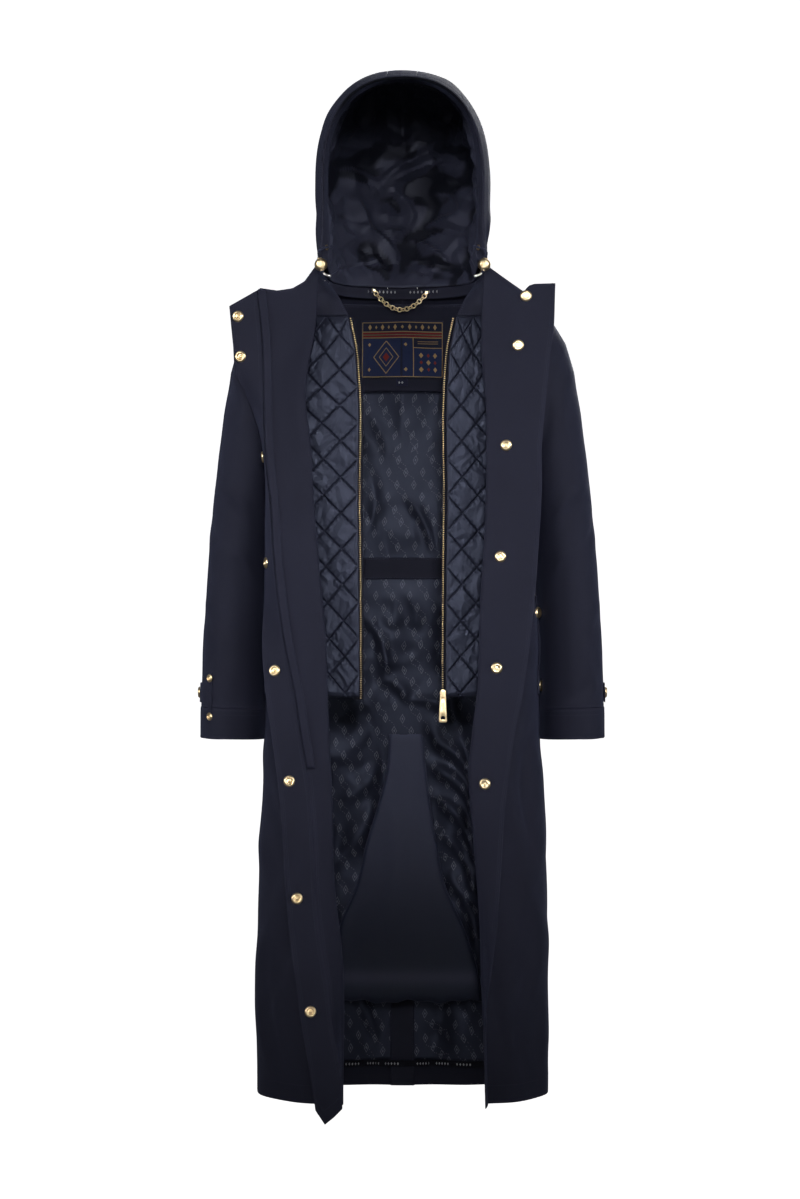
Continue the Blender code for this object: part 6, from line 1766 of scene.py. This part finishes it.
# %% [markdown]
# ## Repeating a small piece along a line
#
# Stitches, zip teeth and chain links are all one small piece repeated along a path. One
# Geometry Nodes tree does it: the lines become curves, points are set on them at an even
# spacing, and the piece is placed on each point with its X axis along the line and
# its Y axis along the stored vector `side`. Every second one may be tilted, and a little
# jitter with a fixed seed keeps the row from looking printed. Realize Instances then makes
# it real mesh, which is read off and kept as a plain object.

# %% The node tree
repeat = bpy.data.node_groups.new("repeat_along", "GeometryNodeTree")
settings = (
    ("Lines", "Geometry", None), ("Piece", "Object", None), ("Spacing", "Float", 0.0034),
    ("Tilt", "Float", 0.0), ("Jitter", "Float", 0.04), ("Seed", "Int", 7), ("Material", "Material", None),
)
sockets(repeat, settings, [("Row", "Geometry")])
SOCKETS_IN = {item.name: item.identifier for item in repeat.interface.items_tree if item.in_out == "INPUT"}
ins = add(repeat, "NodeGroupInput").outputs
curves = add(repeat, "GeometryNodeMeshToCurve", {"Mesh": ins["Lines"]})
spots = add(repeat, "GeometryNodeCurveToPoints",
            {"Curve": curves.outputs[0], "Length": ins["Spacing"]}, mode="LENGTH")
side = add(repeat, "GeometryNodeInputNamedAttribute", {"Name": "side"}, data_type="FLOAT_VECTOR")
ahead = add(repeat, "FunctionNodeAlignRotationToVector", {"Vector": spots.outputs["Tangent"]}, axis="X")
upright = add(repeat, "FunctionNodeAlignRotationToVector",
              {"Rotation": ahead.outputs[0], "Vector": side.outputs["Attribute"]}, axis="Y", pivot_axis="X")
odd = calc(repeat, "MODULO", add(repeat, "GeometryNodeInputIndex").outputs[0], 2.0)
lean = calc(repeat, "MULTIPLY", ins["Tilt"], 2.0)
lean = calc(repeat, "MULTIPLY", calc(repeat, "SUBTRACT", odd, 0.5), lean)
chance = add(repeat, "FunctionNodeRandomValue", {"Seed": ins["Seed"]}, data_type="FLOAT")
shaken = calc(repeat, "MULTIPLY", calc(repeat, "SUBTRACT", chance.outputs[1], 0.5), ins["Jitter"])
turned_by = add(repeat, "FunctionNodeAxisAngleToRotation",
                {"Axis": (1, 0, 0), "Angle": calc(repeat, "ADD", lean, shaken)})
turned_piece = add(repeat, "FunctionNodeRotateRotation", {
    "Rotation": upright.outputs[0], "Rotate By": turned_by.outputs[0]}, rotation_space="LOCAL")
stamp = add(repeat, "GeometryNodeObjectInfo", {"Object": ins["Piece"]})
placed = add(repeat, "GeometryNodeInstanceOnPoints", {
    "Points": spots.outputs["Points"], "Instance": stamp.outputs["Geometry"],
    "Rotation": turned_piece.outputs[0]})
real = add(repeat, "GeometryNodeRealizeInstances", {0: placed.outputs[0]})
dyed = add(repeat, "GeometryNodeSetMaterial", {"Geometry": real.outputs[0], "Material": ins["Material"]})
feed(repeat, add(repeat, "NodeGroupOutput"), {0: dyed.outputs[0]})

# %% Using the tree


def evaluated(made):
    """The mesh that an object comes to, with its modifiers."""
    bpy.context.view_layer.update()
    return bpy.data.meshes.new_from_object(made.evaluated_get(bpy.context.evaluated_depsgraph_get()))


def repeated(name, lines, piece, spacing, material, tilt=0.0, jitter=0.04, body="coat"):
    """Repeats the mesh piece along lines, each a pair of points and side vectors."""
    edges, start = [], 0
    for path, across in lines:
        edges += [(start + k, start + k + 1) for k in range(len(path) - 1)]
        start += len(path)
    sides = np.concatenate([np.broadcast_to(across, np.shape(path)) for path, across in lines])
    mesh = mesh_of(name, np.concatenate([path for path, across in lines]), [], edges)
    stored = mesh.attributes.new("side", "FLOAT_VECTOR", "POINT")
    stored.data.foreach_set("vector", sides.astype(np.float32).ravel())
    made, small = put(name, mesh), put("small_piece", piece)
    rows = made.modifiers.new("Repeat", "NODES")
    rows.node_group = repeat
    for label, value in (
        ("Piece", small), ("Spacing", spacing), ("Tilt", tilt), ("Jitter", jitter), ("Seed", 7),
        ("Material", material),
    ):
        rows[SOCKETS_IN[label]] = value
    plain = evaluated(made)
    made.modifiers.clear()
    made.data = plain
    plain.name = name
    if "side" in plain.attributes:
        plain.attributes.remove(plain.attributes["side"])
    bpy.data.objects.remove(small)
    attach(made, body)
    print(f"{name}: {len(plain.polygons)} faces")
    return dressed(made)


def bead(half_x, half_y, half_z):
    """A small rounded grain, such as one stitch."""
    shape = bmesh.new()
    bmesh.ops.create_uvsphere(shape, u_segments=4, v_segments=2, radius=1.0)
    bmesh.ops.scale(shape, vec=(half_x, half_y, half_z), verts=shape.verts)
    mesh = poured(shape, "bead")
    mesh.shade_smooth()
    return mesh


def line_in(name, edge, inset, lift=0.0001, hidden=False, span=(0.0, 1.0)):
    """A line on a panel that runs inset from an edge: first, last, top or bottom."""
    grid, n, wall = PANELS[name]
    if edge in ("top", "bottom"):
        grid, n = grid.transpose(1, 0, 2), n.transpose(1, 0, 2)
    if edge in ("last", "bottom"):
        grid, n = grid[:, ::-1], n[:, ::-1]
    run = walked(grid)[0]
    path, ups = [], []
    for k in range(int(span[0] * (len(grid) - 1)), int(span[1] * (len(grid) - 1)) + 1):
        p = np.array([np.interp(inset, run[k], grid[k, :, c]) for c in range(3)])
        q = np.array([np.interp(inset, run[k], n[k, :, c]) for c in range(3)])
        path.append(p - q * lift if hidden else p + q * (wall + lift))
        ups.append(q)
    return np.array(path), np.array(ups)


# %% [markdown]
# ## Zips
#
# The two bibs carry the halves of a metal zip. Each tooth is a small clamp with a
# head that points to the other half, set along the edge of its tape. The zip of the
# right front is a nylon coil, so it's a fine row of dark loops. The slider stands at the
# foot of the left half, with its pull tab hanging from its bridge.

# %% Zip teeth


def chamfered(x, y, z, edge):
    """A small block with chamfered edges."""
    shape = bmesh.new()
    bmesh.ops.create_cube(shape, size=1.0)
    bmesh.ops.scale(shape, vec=(x, y, z), verts=shape.verts)
    if edge:
        bmesh.ops.bevel(shape, geom=list(shape.edges), offset=edge, segments=1, affect="EDGES")
    return shape


def joined(shapes, name):
    """Joins bmeshes, each moved by its offset, in one mesh."""
    whole = bmesh.new()
    for shape, offset in shapes:
        bmesh.ops.translate(shape, vec=offset, verts=shape.verts)
        piece = poured(shape, "piece")
        whole.from_mesh(piece)
        bpy.data.meshes.remove(piece)
    return poured(whole, name)


CLAMP, HEAD = chamfered(0.00150, 0.0015, 0.0017, 0.0003), chamfered(0.00095, 0.0009, 0.0011, 0)
TOOTH = joined([(CLAMP, (0, 0, 0)), (HEAD, (0, 0.0011, 0))], "tooth")
LOOP = bead(0.00042, 0.0016, 0.00075)
ZIP_AT = {"left": -0.0041, "right": -0.0018}
rows = []
for side, sign, fold in BIBS:
    edge, lean = zip_edge_of(fold, BIB_TOP - 0.004, BIB_HEM - 0.001, 260)
    path = (edge + lean * ZIP_AT[side] + np.array([0, LAY - 0.0009, 0])) * np.array([sign, 1, 1])
    rows.append((path, np.array([-sign, 0.0, 0.0])))
repeated("zip_teeth", rows, TOOTH, 0.0032, ZIP_GOLD, jitter=0.02)
rows = [(FRONT_ZIP_LINE, np.array([1.0, 0.0, 0.0]))]
repeated("front_zip_coil", rows, LOOP, 0.00135, TAPE_CLOTH, jitter=0.0)

# %% [markdown]
# ## Slider and pull tab
#
# The slider is two shield-shaped plates held apart by a core, with a bridge on the front
# plate. The pull tab is a long plate, slightly wider at its foot, with a
# rounded window near the end. It rides on its own body.

# %% Plates from outlines


def plate(outlines, thick, edge=0.0003):
    """A flat plate with a rounded edge, from an outline and its holes, in x and z."""
    flat = bpy.data.curves.new("plate", "CURVE")
    flat.dimensions, flat.fill_mode = "2D", "BOTH"
    flat.extrude, flat.bevel_depth, flat.bevel_resolution = thick / 2 - edge, edge, 1
    for outline in outlines:
        spline = flat.splines.new("POLY")
        spline.points.add(len(outline) - 1)
        for point, (x, y) in zip(spline.points, outline):
            point.co = (x, y, 0, 1)
        spline.use_cyclic_u = True
    holder = put("plate", flat)
    mesh = evaluated(holder)
    bpy.data.objects.remove(holder)
    shape = bmesh.new()
    shape.from_mesh(mesh)
    bpy.data.meshes.remove(mesh)
    bmesh.ops.remove_doubles(shape, verts=shape.verts, dist=1e-6)
    bmesh.ops.rotate(shape, verts=shape.verts, cent=(0, 0, 0), matrix=Matrix.Rotation(math.pi / 2, 3, "X"))
    bmesh.ops.recalc_face_normals(shape, faces=shape.faces)
    return shape


def rounded_corners(corners, r):
    """An outline with its corners rounded off."""
    points = []
    for k, (x, z) in enumerate(corners):
        b = Vector(corners[k - 1]) - Vector((x, z))
        a = Vector(corners[(k + 1) % len(corners)]) - Vector((x, z))
        for t in (0.0, 0.3, 0.7, 1.0):
            p, q = b.normalized() * r * (1 - t), a.normalized() * r * t
            points.append((x + p.x * (1 - t) + q.x * t, z + p.y * (1 - t) + q.y * t))
    return points


def metal(name, mesh, node=None, place=(0, 0, 0), body="coat"):
    """A finished metal piece, moved to its place, that stands for a solid."""
    mesh.transform(Matrix.Translation(place))
    mesh.name = name
    finished(mesh, GOLD, 40)
    return dressed(put(name, mesh, body), node)


low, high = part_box("zip_slider")
shield = [(-0.0022, 0.0080), (0.0022, 0.0080), (0.0040, 0.0058), (0.0043, 0.0030), (0.0034, -0.0030),
          (0.0031, -0.0072), (-0.0031, -0.0072), (-0.0034, -0.0030), (-0.0043, 0.0030), (-0.0040, 0.0058)]
bridge, core = chamfered(0.0026, 0.0012, 0.0084, 0.0004), chamfered(0.0024, 0.0030, 0.0060, 0.0004)
post_high, post_low = chamfered(0.0026, 0.0024, 0.0016, 0.0003), chamfered(0.0026, 0.0020, 0.0014, 0.0003)
slider = joined([
    (plate([shield], 0.0013), (0, -0.0015, 0)), (plate([shield], 0.0012), (0, 0.0016, 0)),
    (core, (0, 0, 0.0045)), (bridge, (0, -0.0044, 0.0012)), (post_high, (0, -0.0032, 0.0052)),
    (post_low, (0, -0.0030, -0.0026)),
], "slider")
metal("slider", slider, "zip_slider", (low + high) / 2)
low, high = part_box("zip_pull")
foot = low.z - high.z
TOP_HALF, FOOT_HALF = 0.0039, 0.0057
window = [(-0.0036, foot + 0.0036), (0.0036, foot + 0.0036), (0.0038, foot + 0.0064)]
window += [(0.0038 * math.cos(a), foot + 0.0064 + 0.0032 * math.sin(a))
           for a in line(0.35, math.pi - 0.35, 7)]
window += [(-0.0038, foot + 0.0064)]
eye = [(0.0021 * math.cos(a), -0.0052 + 0.0026 * math.sin(a)) for a in spin(12)]
outline = rounded_corners([(-FOOT_HALF, foot), (FOOT_HALF, foot), (TOP_HALF, 0.0), (-TOP_HALF, 0.0)], 0.0022)
tab, rib = plate([outline, window, eye], 0.0017, 0.0004), chamfered(0.0040, 0.0006, 0.0150, 0.0002)
pull = joined([(tab, (0, 0, 0)), (rib, (0, -0.0010, -0.0185))], "pull")
metal("pull_plate", pull, "zip_pull", ((low.x + high.x) / 2, (low.y + high.y) / 2, high.z), "pull_tab")

# %% [markdown]
# ## The hanger chain
#
# A curb chain has twisted links, each lying half over the next. The link here is a
# stretched ring swept along a circle, and every second one is tilted the other way.

# %% The chain
CHAIN_ENDS = ((-0.0434, 0.0205), (0.0367, 0.0165))
CHAIN_Y, CHAIN_DIP, LINKS = 0.0668, 0.0270, 17


def chain_path(t):
    (x0, z0), (x1, z1) = CHAIN_ENDS
    x = x0 + (x1 - x0) * t
    z = z0 + (z1 - z0) * t - CHAIN_DIP * 4 * t * (1 - t)
    return np.stack([x, np.full_like(x, CHAIN_Y), z], axis=1)


def ring_link(major, minor, stretch, around=18, section=8):
    """A round wire bent to a ring and stretched along X."""
    a, b = net(spin(around), spin(section))
    r = major + minor * np.cos(b)
    points = np.stack([stretch * r * np.cos(a), r * np.sin(a), minor * np.sin(b)], axis=-1)
    mesh = mesh_of("ring_link", points, quads(around, section, True, True)[0][..., [0, 3, 2, 1]])
    mesh.shade_smooth()
    return mesh


links_on = along(chain_path(line(0, 1, 200)), line(0.0, 1.0, 120))
pitch = run_of(links_on)[-1] / (LINKS + 1) * 0.999
chain = repeated(
    "hanger_chain_links", [(links_on, np.array([0.0, 0.35, 0.95]))], ring_link(0.0031, 0.00080, 1.15), pitch,
    GOLD, tilt=0.55, jitter=0.0, body="chain")
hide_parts("hanger_chain")
for x, z in CHAIN_ENDS:
    block = chamfered(0.0052, 0.0016, 0.0034, 0.0005)
    holder = joined([(block, (x, CHAIN_Y + 0.0012, z + 0.0008))], "holder")
    metal("chain_holder_" + ("left" if x > 0 else "right"), holder)

# %% [markdown]
# ## Turned metal: snaps, buttons and toggles
#
# A snap, a button and a ball toggle are all turned: a profile of radius and height goes
# round an axis. The axis and the place of each are read from its solid, and it's then
# seated on the cloth that it's fixed to, because the pressed creases moved the cloth a
# little.

# %% Lathe and seating


def lathe(profile, place, axis, steps=32):
    """The mesh of a profile of (radius, height) turned round an axis."""
    place, axis = np.asarray(place), unit(np.asarray(axis, float))
    first = unit(np.cross(axis, (0.3, 0.2, 0.93)))
    second, angles = np.cross(axis, first), spin(steps)[:, None]
    spokes = np.cos(angles) * first + np.sin(angles) * second
    shape = bmesh.new()
    rings = [[shape.verts.new(place + axis * h + r * s) for s in (spokes if r > 1e-7 else spokes[:1])]
             for r, h in profile]
    for near, far in zip(rings, rings[1:]):
        for k in range(steps):
            m = (k + 1) % steps
            corners = [near[k % len(near)], near[m % len(near)], far[m % len(far)], far[k % len(far)]]
            face = list(dict.fromkeys(corners))
            if len(face) > 2:
                shape.faces.new(face)
    bmesh.ops.recalc_face_normals(shape, faces=shape.faces)
    return poured(shape, "turned")


def axis_of(node):
    """The flat side's middle and the outward axis of a turned solid."""
    points = np.array([v.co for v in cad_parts[node].data.vertices], float)
    centre = (points.min(axis=0) + points.max(axis=0)) / 2
    spread = points - points.mean(axis=0)
    axis = np.linalg.svd(spread, full_matrices=False)[2][2]
    height = spread @ axis
    away = norm(spread - height[:, None] * axis, axis=1)
    wide = away > 0.9 * away.max()
    axis = -axis if height[wide].mean() > (height.max() + height.min()) / 2 else axis
    return centre + axis * ((points - centre) @ axis).min(), axis


def seated(place, axis, names, reach=0.008):
    """Moves a place along its axis onto the highest cloth under it."""
    best = []
    for name in names:
        grid, n, wall = PANELS[name]
        for face in (grid, grid + n * wall):
            d = face.reshape(-1, 3) - place
            h = d @ axis
            near = (norm(d - h[:, None] * axis, axis=1) < reach) & (np.abs(h) < 0.006)
            best += h[near].tolist()
    return place + axis * (np.percentile(best, 92) + 0.0001) if best else place


# Profiles in pairs of radius and height.
DOME = [(0.0, 0.0021), (0.0014, 0.0021), (0.0026, 0.0018), (0.0034, 0.0020), (0.0046, 0.0026),
        (0.0058, 0.0028), (0.0069, 0.0024), (0.0078, 0.0016), (0.0084, 0.0008), (0.0085, 0.0003),
        (0.0083, 0.0), (0.0, 0.0)]
RING = [(0.0, 0.0021), (0.0008, 0.0020), (0.0015, 0.0016), (0.0018, 0.0009), (0.0024, 0.0006),
        (0.0036, 0.0006), (0.0041, 0.0012), (0.0047, 0.0022), (0.0056, 0.0027), (0.0067, 0.0026),
        (0.0077, 0.0018), (0.0084, 0.0009), (0.0085, 0.0003), (0.0083, 0.0), (0.0, 0.0)]
FASTENERS = [(f"snap_socket_{k}", RING, 1.0, ["storm_flap_panel"]) for k in range(1, 9)]
FASTENERS += [(f"snap_stud_{k}", DOME, 1.0, ["front_panel_left"]) for k in range(1, 7)]
FASTENERS += [(f"pocket_snap_{k}", DOME, 1.0, ["pocket_strip_left"]) for k in (1, 2)]
FASTENERS += [("cuff_snap_1", RING, 0.72, ["sleeve_panel_right", "cuff_strap_right"]),
              ("cuff_snap_2", RING, 0.72, ["cuff_panel_right"])]
FASTENERS += [("cuff_button_" + side, DOME, 1.0, ["cuff_strap_" + side]) for side in SIDES]
for node, profile, scale, cloths in FASTENERS:
    place, axis = axis_of(node)
    if "pocket" in node:     # nearer the welt's front edge, square on its cloth
        welt, welt_out, wall = PANELS[cloths[0]]
        i = int(np.abs(welt[:, 0, 2] - place[2]).argmin())
        j = int(np.abs(welt[i, :, 0] - (place[0] - 0.0030)).argmin())
        axis = unit(welt_out[i, j] + np.array([0, -0.5, 0]))
        place = welt[i, j] + welt_out[i, j] * (wall + 0.0016)
    place = seated(place, axis, cloths, 0.008 * scale)
    metal("turned_" + node, lathe([(r * scale, h * scale) for r, h in profile], place, axis), node)
print("fasteners:", len(FASTENERS))

# %% [markdown]
# ## Drawcords and their toggles
#
# The drawcord comes out of an eyelet in the rim's facing, passes through a ball toggle
# and ends in a small metal tip. It's a tube of about a hundred rings on its own
# route. Its UV map is turned by 45 degrees, so the weave crosses it like a braid.

# %% Cords, toggles, tips and eyelets
TOGGLE_R, CORD_R, TIP_R = 0.0095, 0.0018, 0.00205


def rounded(points, count):
    """A line through points, resampled on a smooth curve."""
    points = np.array(points, float)
    t = run_of(points)
    at = line(0, t[-1], count * 8)
    route = {"s": t, "x": points[:, 0], "y": points[:, 1], "z": points[:, 2]}
    return along(np.stack([smooth(route, c, at, "s") for c in "xyz"], axis=1), line(0, 1, count))


def tube(name, path, radii, material, node=None, around=14):
    """A round tube along a path, with flat ends."""
    ahead = unit(np.gradient(path, axis=0))
    across = np.cross(ahead[0], (0.2, 0.9, 0.3))
    angles = spin(around)[:, None]
    rows = []
    for p, t, r in zip(path, ahead, radii):
        across = unit(across - t * np.dot(across, t))
        rows.append(p + r * (np.cos(angles) * across + np.sin(angles) * np.cross(t, across)))
    count = len(path)
    faces, i, j = quads(count, around, wrap_columns=True)
    caps = [list(range(around))[::-1], [(count - 1) * around + k for k in range(around)]]
    mesh = mesh_of(name, rows, faces.reshape(-1, 4).tolist() + caps)
    run = run_of(path)
    turn = line(0, 2 * np.pi * float(np.max(radii)), around + 1)
    r, s = np.stack([(i, j), (i, j + 1), (i + 1, j + 1), (i + 1, j)]).swapaxes(0, 1)
    uv = np.stack([turn[s] + run[r], turn[s] - run[r]], axis=-1).transpose(1, 2, 0, 3).reshape(-1, 2)
    unfold(mesh, np.concatenate([uv, np.zeros((2 * around, 2))]))
    finished(mesh, material, 50)
    shape = bmesh.new()
    shape.from_mesh(mesh)
    bmesh.ops.recalc_face_normals(shape, faces=shape.faces)
    shape.to_mesh(mesh)
    shape.free()
    return dressed(put(name, mesh, "coat"), node)


def ball_profile(r, collar):
    """A ball with a raised collar round each end of its bore."""
    stop = math.acos(min(1.0, collar / r))
    side_on = [(r * math.cos(a), r * math.sin(a)) for a in line(stop, -stop, 17)]
    h = side_on[0][1]
    top = [(CORD_R, h - 0.0010), (CORD_R, h + 0.0007), (collar * 0.85, h + 0.0009), (collar, h + 0.0004)]
    return top + side_on + [(a, -b) for a, b in top[::-1]] + [top[0]]


FACE = [(0, 0.0005), (0.0031, 0.0005), (0.0035, 0.0011), (0.0043, 0.0011), (0.0047, 0.0003), (0.0060, 0.0000),
        (0.0066, -0.0010), (0.0062, -0.0030), (0, -0.0030)]
GROMMET = [(0.0022, 0.0002), (0.0024, 0.0009), (0.0032, 0.0012), (0.0041, 0.0007), (0.0043, 0.0),
           (0.0022, 0.0), (0.0022, 0.0002)]
EYELET = in_hood(0.035, 0.075, 0.0078 + SHELL + 0.0004)
EYELET_OUT = unit(in_hood(0.035, 0.075, 0.0140 + SHELL) - EYELET) + np.array([0.0, -0.9, 0.1])
BALL, BORE = np.array([0.1195, -0.1235, 0.0410]), unit(np.array([-0.22, -0.10, -0.97]))
above, below = BALL - BORE * 0.0105, BALL + BORE * 0.0105
ROUTE = rounded([EYELET, EYELET + EYELET_OUT * 0.005, above - BORE * 0.006 + np.array([0, 0.002, 0]),
                 above, BALL, below, (0.1130, -0.1280, 0.0262), (0.1045, -0.1290, 0.0235)], 90)
for side, sign in SIDES.items():
    flip = np.array([sign, 1, 1])
    path = ROUTE * flip
    run = run_of(path)
    shape = bmesh.new()
    shape.from_mesh(lathe(ball_profile(TOGGLE_R, 0.0036), BALL * flip, BORE * flip, 40))
    shape.from_mesh(lathe(FACE, BALL * flip + np.array([0, -0.0093, 0]), (0.12 * sign, -1, 0.05), 40))
    toggle = metal("ball_toggle_" + side, poured(shape, "ball"), "toggle_" + side)
    start = int(np.searchsorted(run, run[-1] - 0.0135))
    radii = np.full(len(path) - start, TIP_R)
    radii[0] = radii[-1] = 0.0016
    tip = tube("cord_tip_" + side, path[start:], radii, STEEL)
    metal("eyelet_" + side, lathe(GROMMET, (EYELET - EYELET_OUT * 0.0004) * flip, EYELET_OUT * flip, 28))
    shown = path[: start + 3]
    cord = tube("drawcord_braid_" + side, shown, np.full(len(shown), CORD_R), CORD_CLOTH,
                "drawcord_" + side)

# %% [markdown]
# ## Topstitching
#
# A raincoat is stitched twice along most edges, because the rows hold the folded seam flat.
# Each row is a line read off the finished panel at a set distance from its edge, lifted by
# a hair, so it follows the creases. The stitches are then repeated along it. The quilting
# is stitched the same way, down in the valleys between the pillows.

# %% Rows of stitches
seams = []


def stitch(name, edge, *insets, **how):
    for inset in insets:
        seams.append(line_in(name, edge, inset, **how))


for side in SIDES:
    front = "front_panel_" + side
    stitch(front, "bottom", 0.026)
    stitch(front, "bottom", 0.026, hidden=True, span=(0.75, 1.0))
    stitch(front, "first", 0.0035)
    stitch(front, "last", 0.0040, 0.0065, hidden=True)
    stitch(front, "top", 0.0035, hidden=True, span=(0.76, 1.0))
    back = "back_panel_" + side
    stitch(back, "bottom", 0.026)
    for edge in ("first", "last", "top"):
        stitch(back, edge, 0.0035)
    cuff = "cuff_panel_" + side
    stitch(cuff, "top", 0.0030)
    stitch(cuff, "bottom", 0.0030, 0.0360)
    stitch("sleeve_panel_" + side, "top", 0.0115)
    stitch("sleeve_panel_" + side, "bottom", 0.0030)
    for edge in ("first", "last", "top", "bottom"):
        stitch("cuff_strap_" + side, edge, 0.0025)
        stitch("pocket_strip_" + side, edge, 0.0025)
        stitch("yoke_" + side, edge, 0.0030)
    hood = "hood_panel_" + side
    stitch(hood, "last", 0.0030)
    stitch(hood, "top", 0.0030, 0.0200)
    stitch(hood, "first", 0.0085)
    stitch("bib_zip_tape_" + side, "last", 0.0035)
stitch("hood_panel_middle", "first", 0.0030)
stitch("hood_panel_middle", "last", 0.0030)
stitch("hood_panel_middle", "top", 0.0030, 0.0200)
stitch("hood_rim_facing", "top", 0.0030, 0.0200)
stitch("storm_flap_panel", "last", 0.0040, 0.0065, hidden=True)
for edge, inset in (("first", 0.0050), ("bottom", 0.0200), ("top", 0.0040)):
    stitch("storm_flap_panel", edge, inset, hidden=True)
stitch("neck_facing_panel", "bottom", 0.0030)
for edge in ("top", "bottom"):
    stitch("waist_band_strip", edge, 0.0025)
for edge in ("first", "last"):
    stitch("vent_facing_strip", edge, 0.0025)
for name, inset in (("hem_tape_strip", 0.0012), ("label_ground", 0.0008)):
    for edge in ("top", "bottom"):
        stitch(name, edge, inset)
repeated("topstitching", seams, bead(0.00135, 0.00030, 0.00026), 0.0036, SEWING)

# %% Quilting stitches
quilting = []
for side, sign, fold in BIBS:
    for way in (-1, 1):
        for n in np.arange(-2, 14):
            across = line(0, QUILTS_WIDE, 160)
            z, share = BIB_TOP - (n + way * across) * QUILT_HIGH, across / QUILTS_WIDE
            keep = (z < BIB_TOP - 0.006) & (z > BIB_HEM + 0.006) & (share > 0.05) & (share < 0.97)
            if keep.sum() < 6:
                continue
            path = bib_points(fold, z[keep], share[keep], BIB_WALL + 0.0003) * np.array([sign, 1, 1])
            quilting.append((path, np.array([0.0, 0.0, 1.0])))
repeated("quilting_stitches", quilting, bead(0.0016, 0.00032, 0.00030), 0.0042, SEWING)
print("rows:", len(seams), "+", len(quilting))

# %% [markdown]
# ## The floor
#
# The coat hangs over a plain pale floor that curves up into a wall all round, as in a
# photo studio, so it can be looked at from every side. It rides on no body, so that it
# belongs to the picture and not to the coat, and it throws no light or shade on the dark cloth.

# %% The studio sweep
FLOOR_Z, ROOM, COVE = -1.60, 8.5, 1.5
sweep = [(0.01, FLOOR_Z), (ROOM - COVE, FLOOR_Z)]
sweep += [(ROOM - COVE + COVE * math.sin(a), FLOOR_Z + COVE - COVE * math.cos(a))
          for a in line(0.15, math.pi / 2, 10)]
sweep += [(ROOM * math.cos(a), FLOOR_Z + COVE + ROOM * math.sin(a))
          for a in line(0.1, math.pi / 2 - 0.02, 14)]
points = [(r * math.cos(a), r * math.sin(a), z) for r, z in sweep for a in spin(64)]
faces = quads(len(sweep), 64, wrap_columns=True)[0].reshape(-1, 4).tolist()
floor_mesh = mesh_of("studio_sweep", points, faces + [list(range(64))])
floor_mesh.shade_smooth()
FLOOR = put("studio_sweep", floor_mesh)
paper, tree, shader, place = new_look("pale_paper")
white = mix(tree, noise(tree, place["Object"], 90.0, 3.0), (0.90, 0.90, 0.90), (0.94, 0.94, 0.94))
feed(tree, shader, {
    "Base Color": white, "Roughness": 0.9, "Emission Color": (1, 1, 1, 1), "Emission Strength": 1.0})
floor_mesh.materials.append(paper)
FLOOR.visible_diffuse = FLOOR.visible_glossy = FLOOR.visible_shadow = False
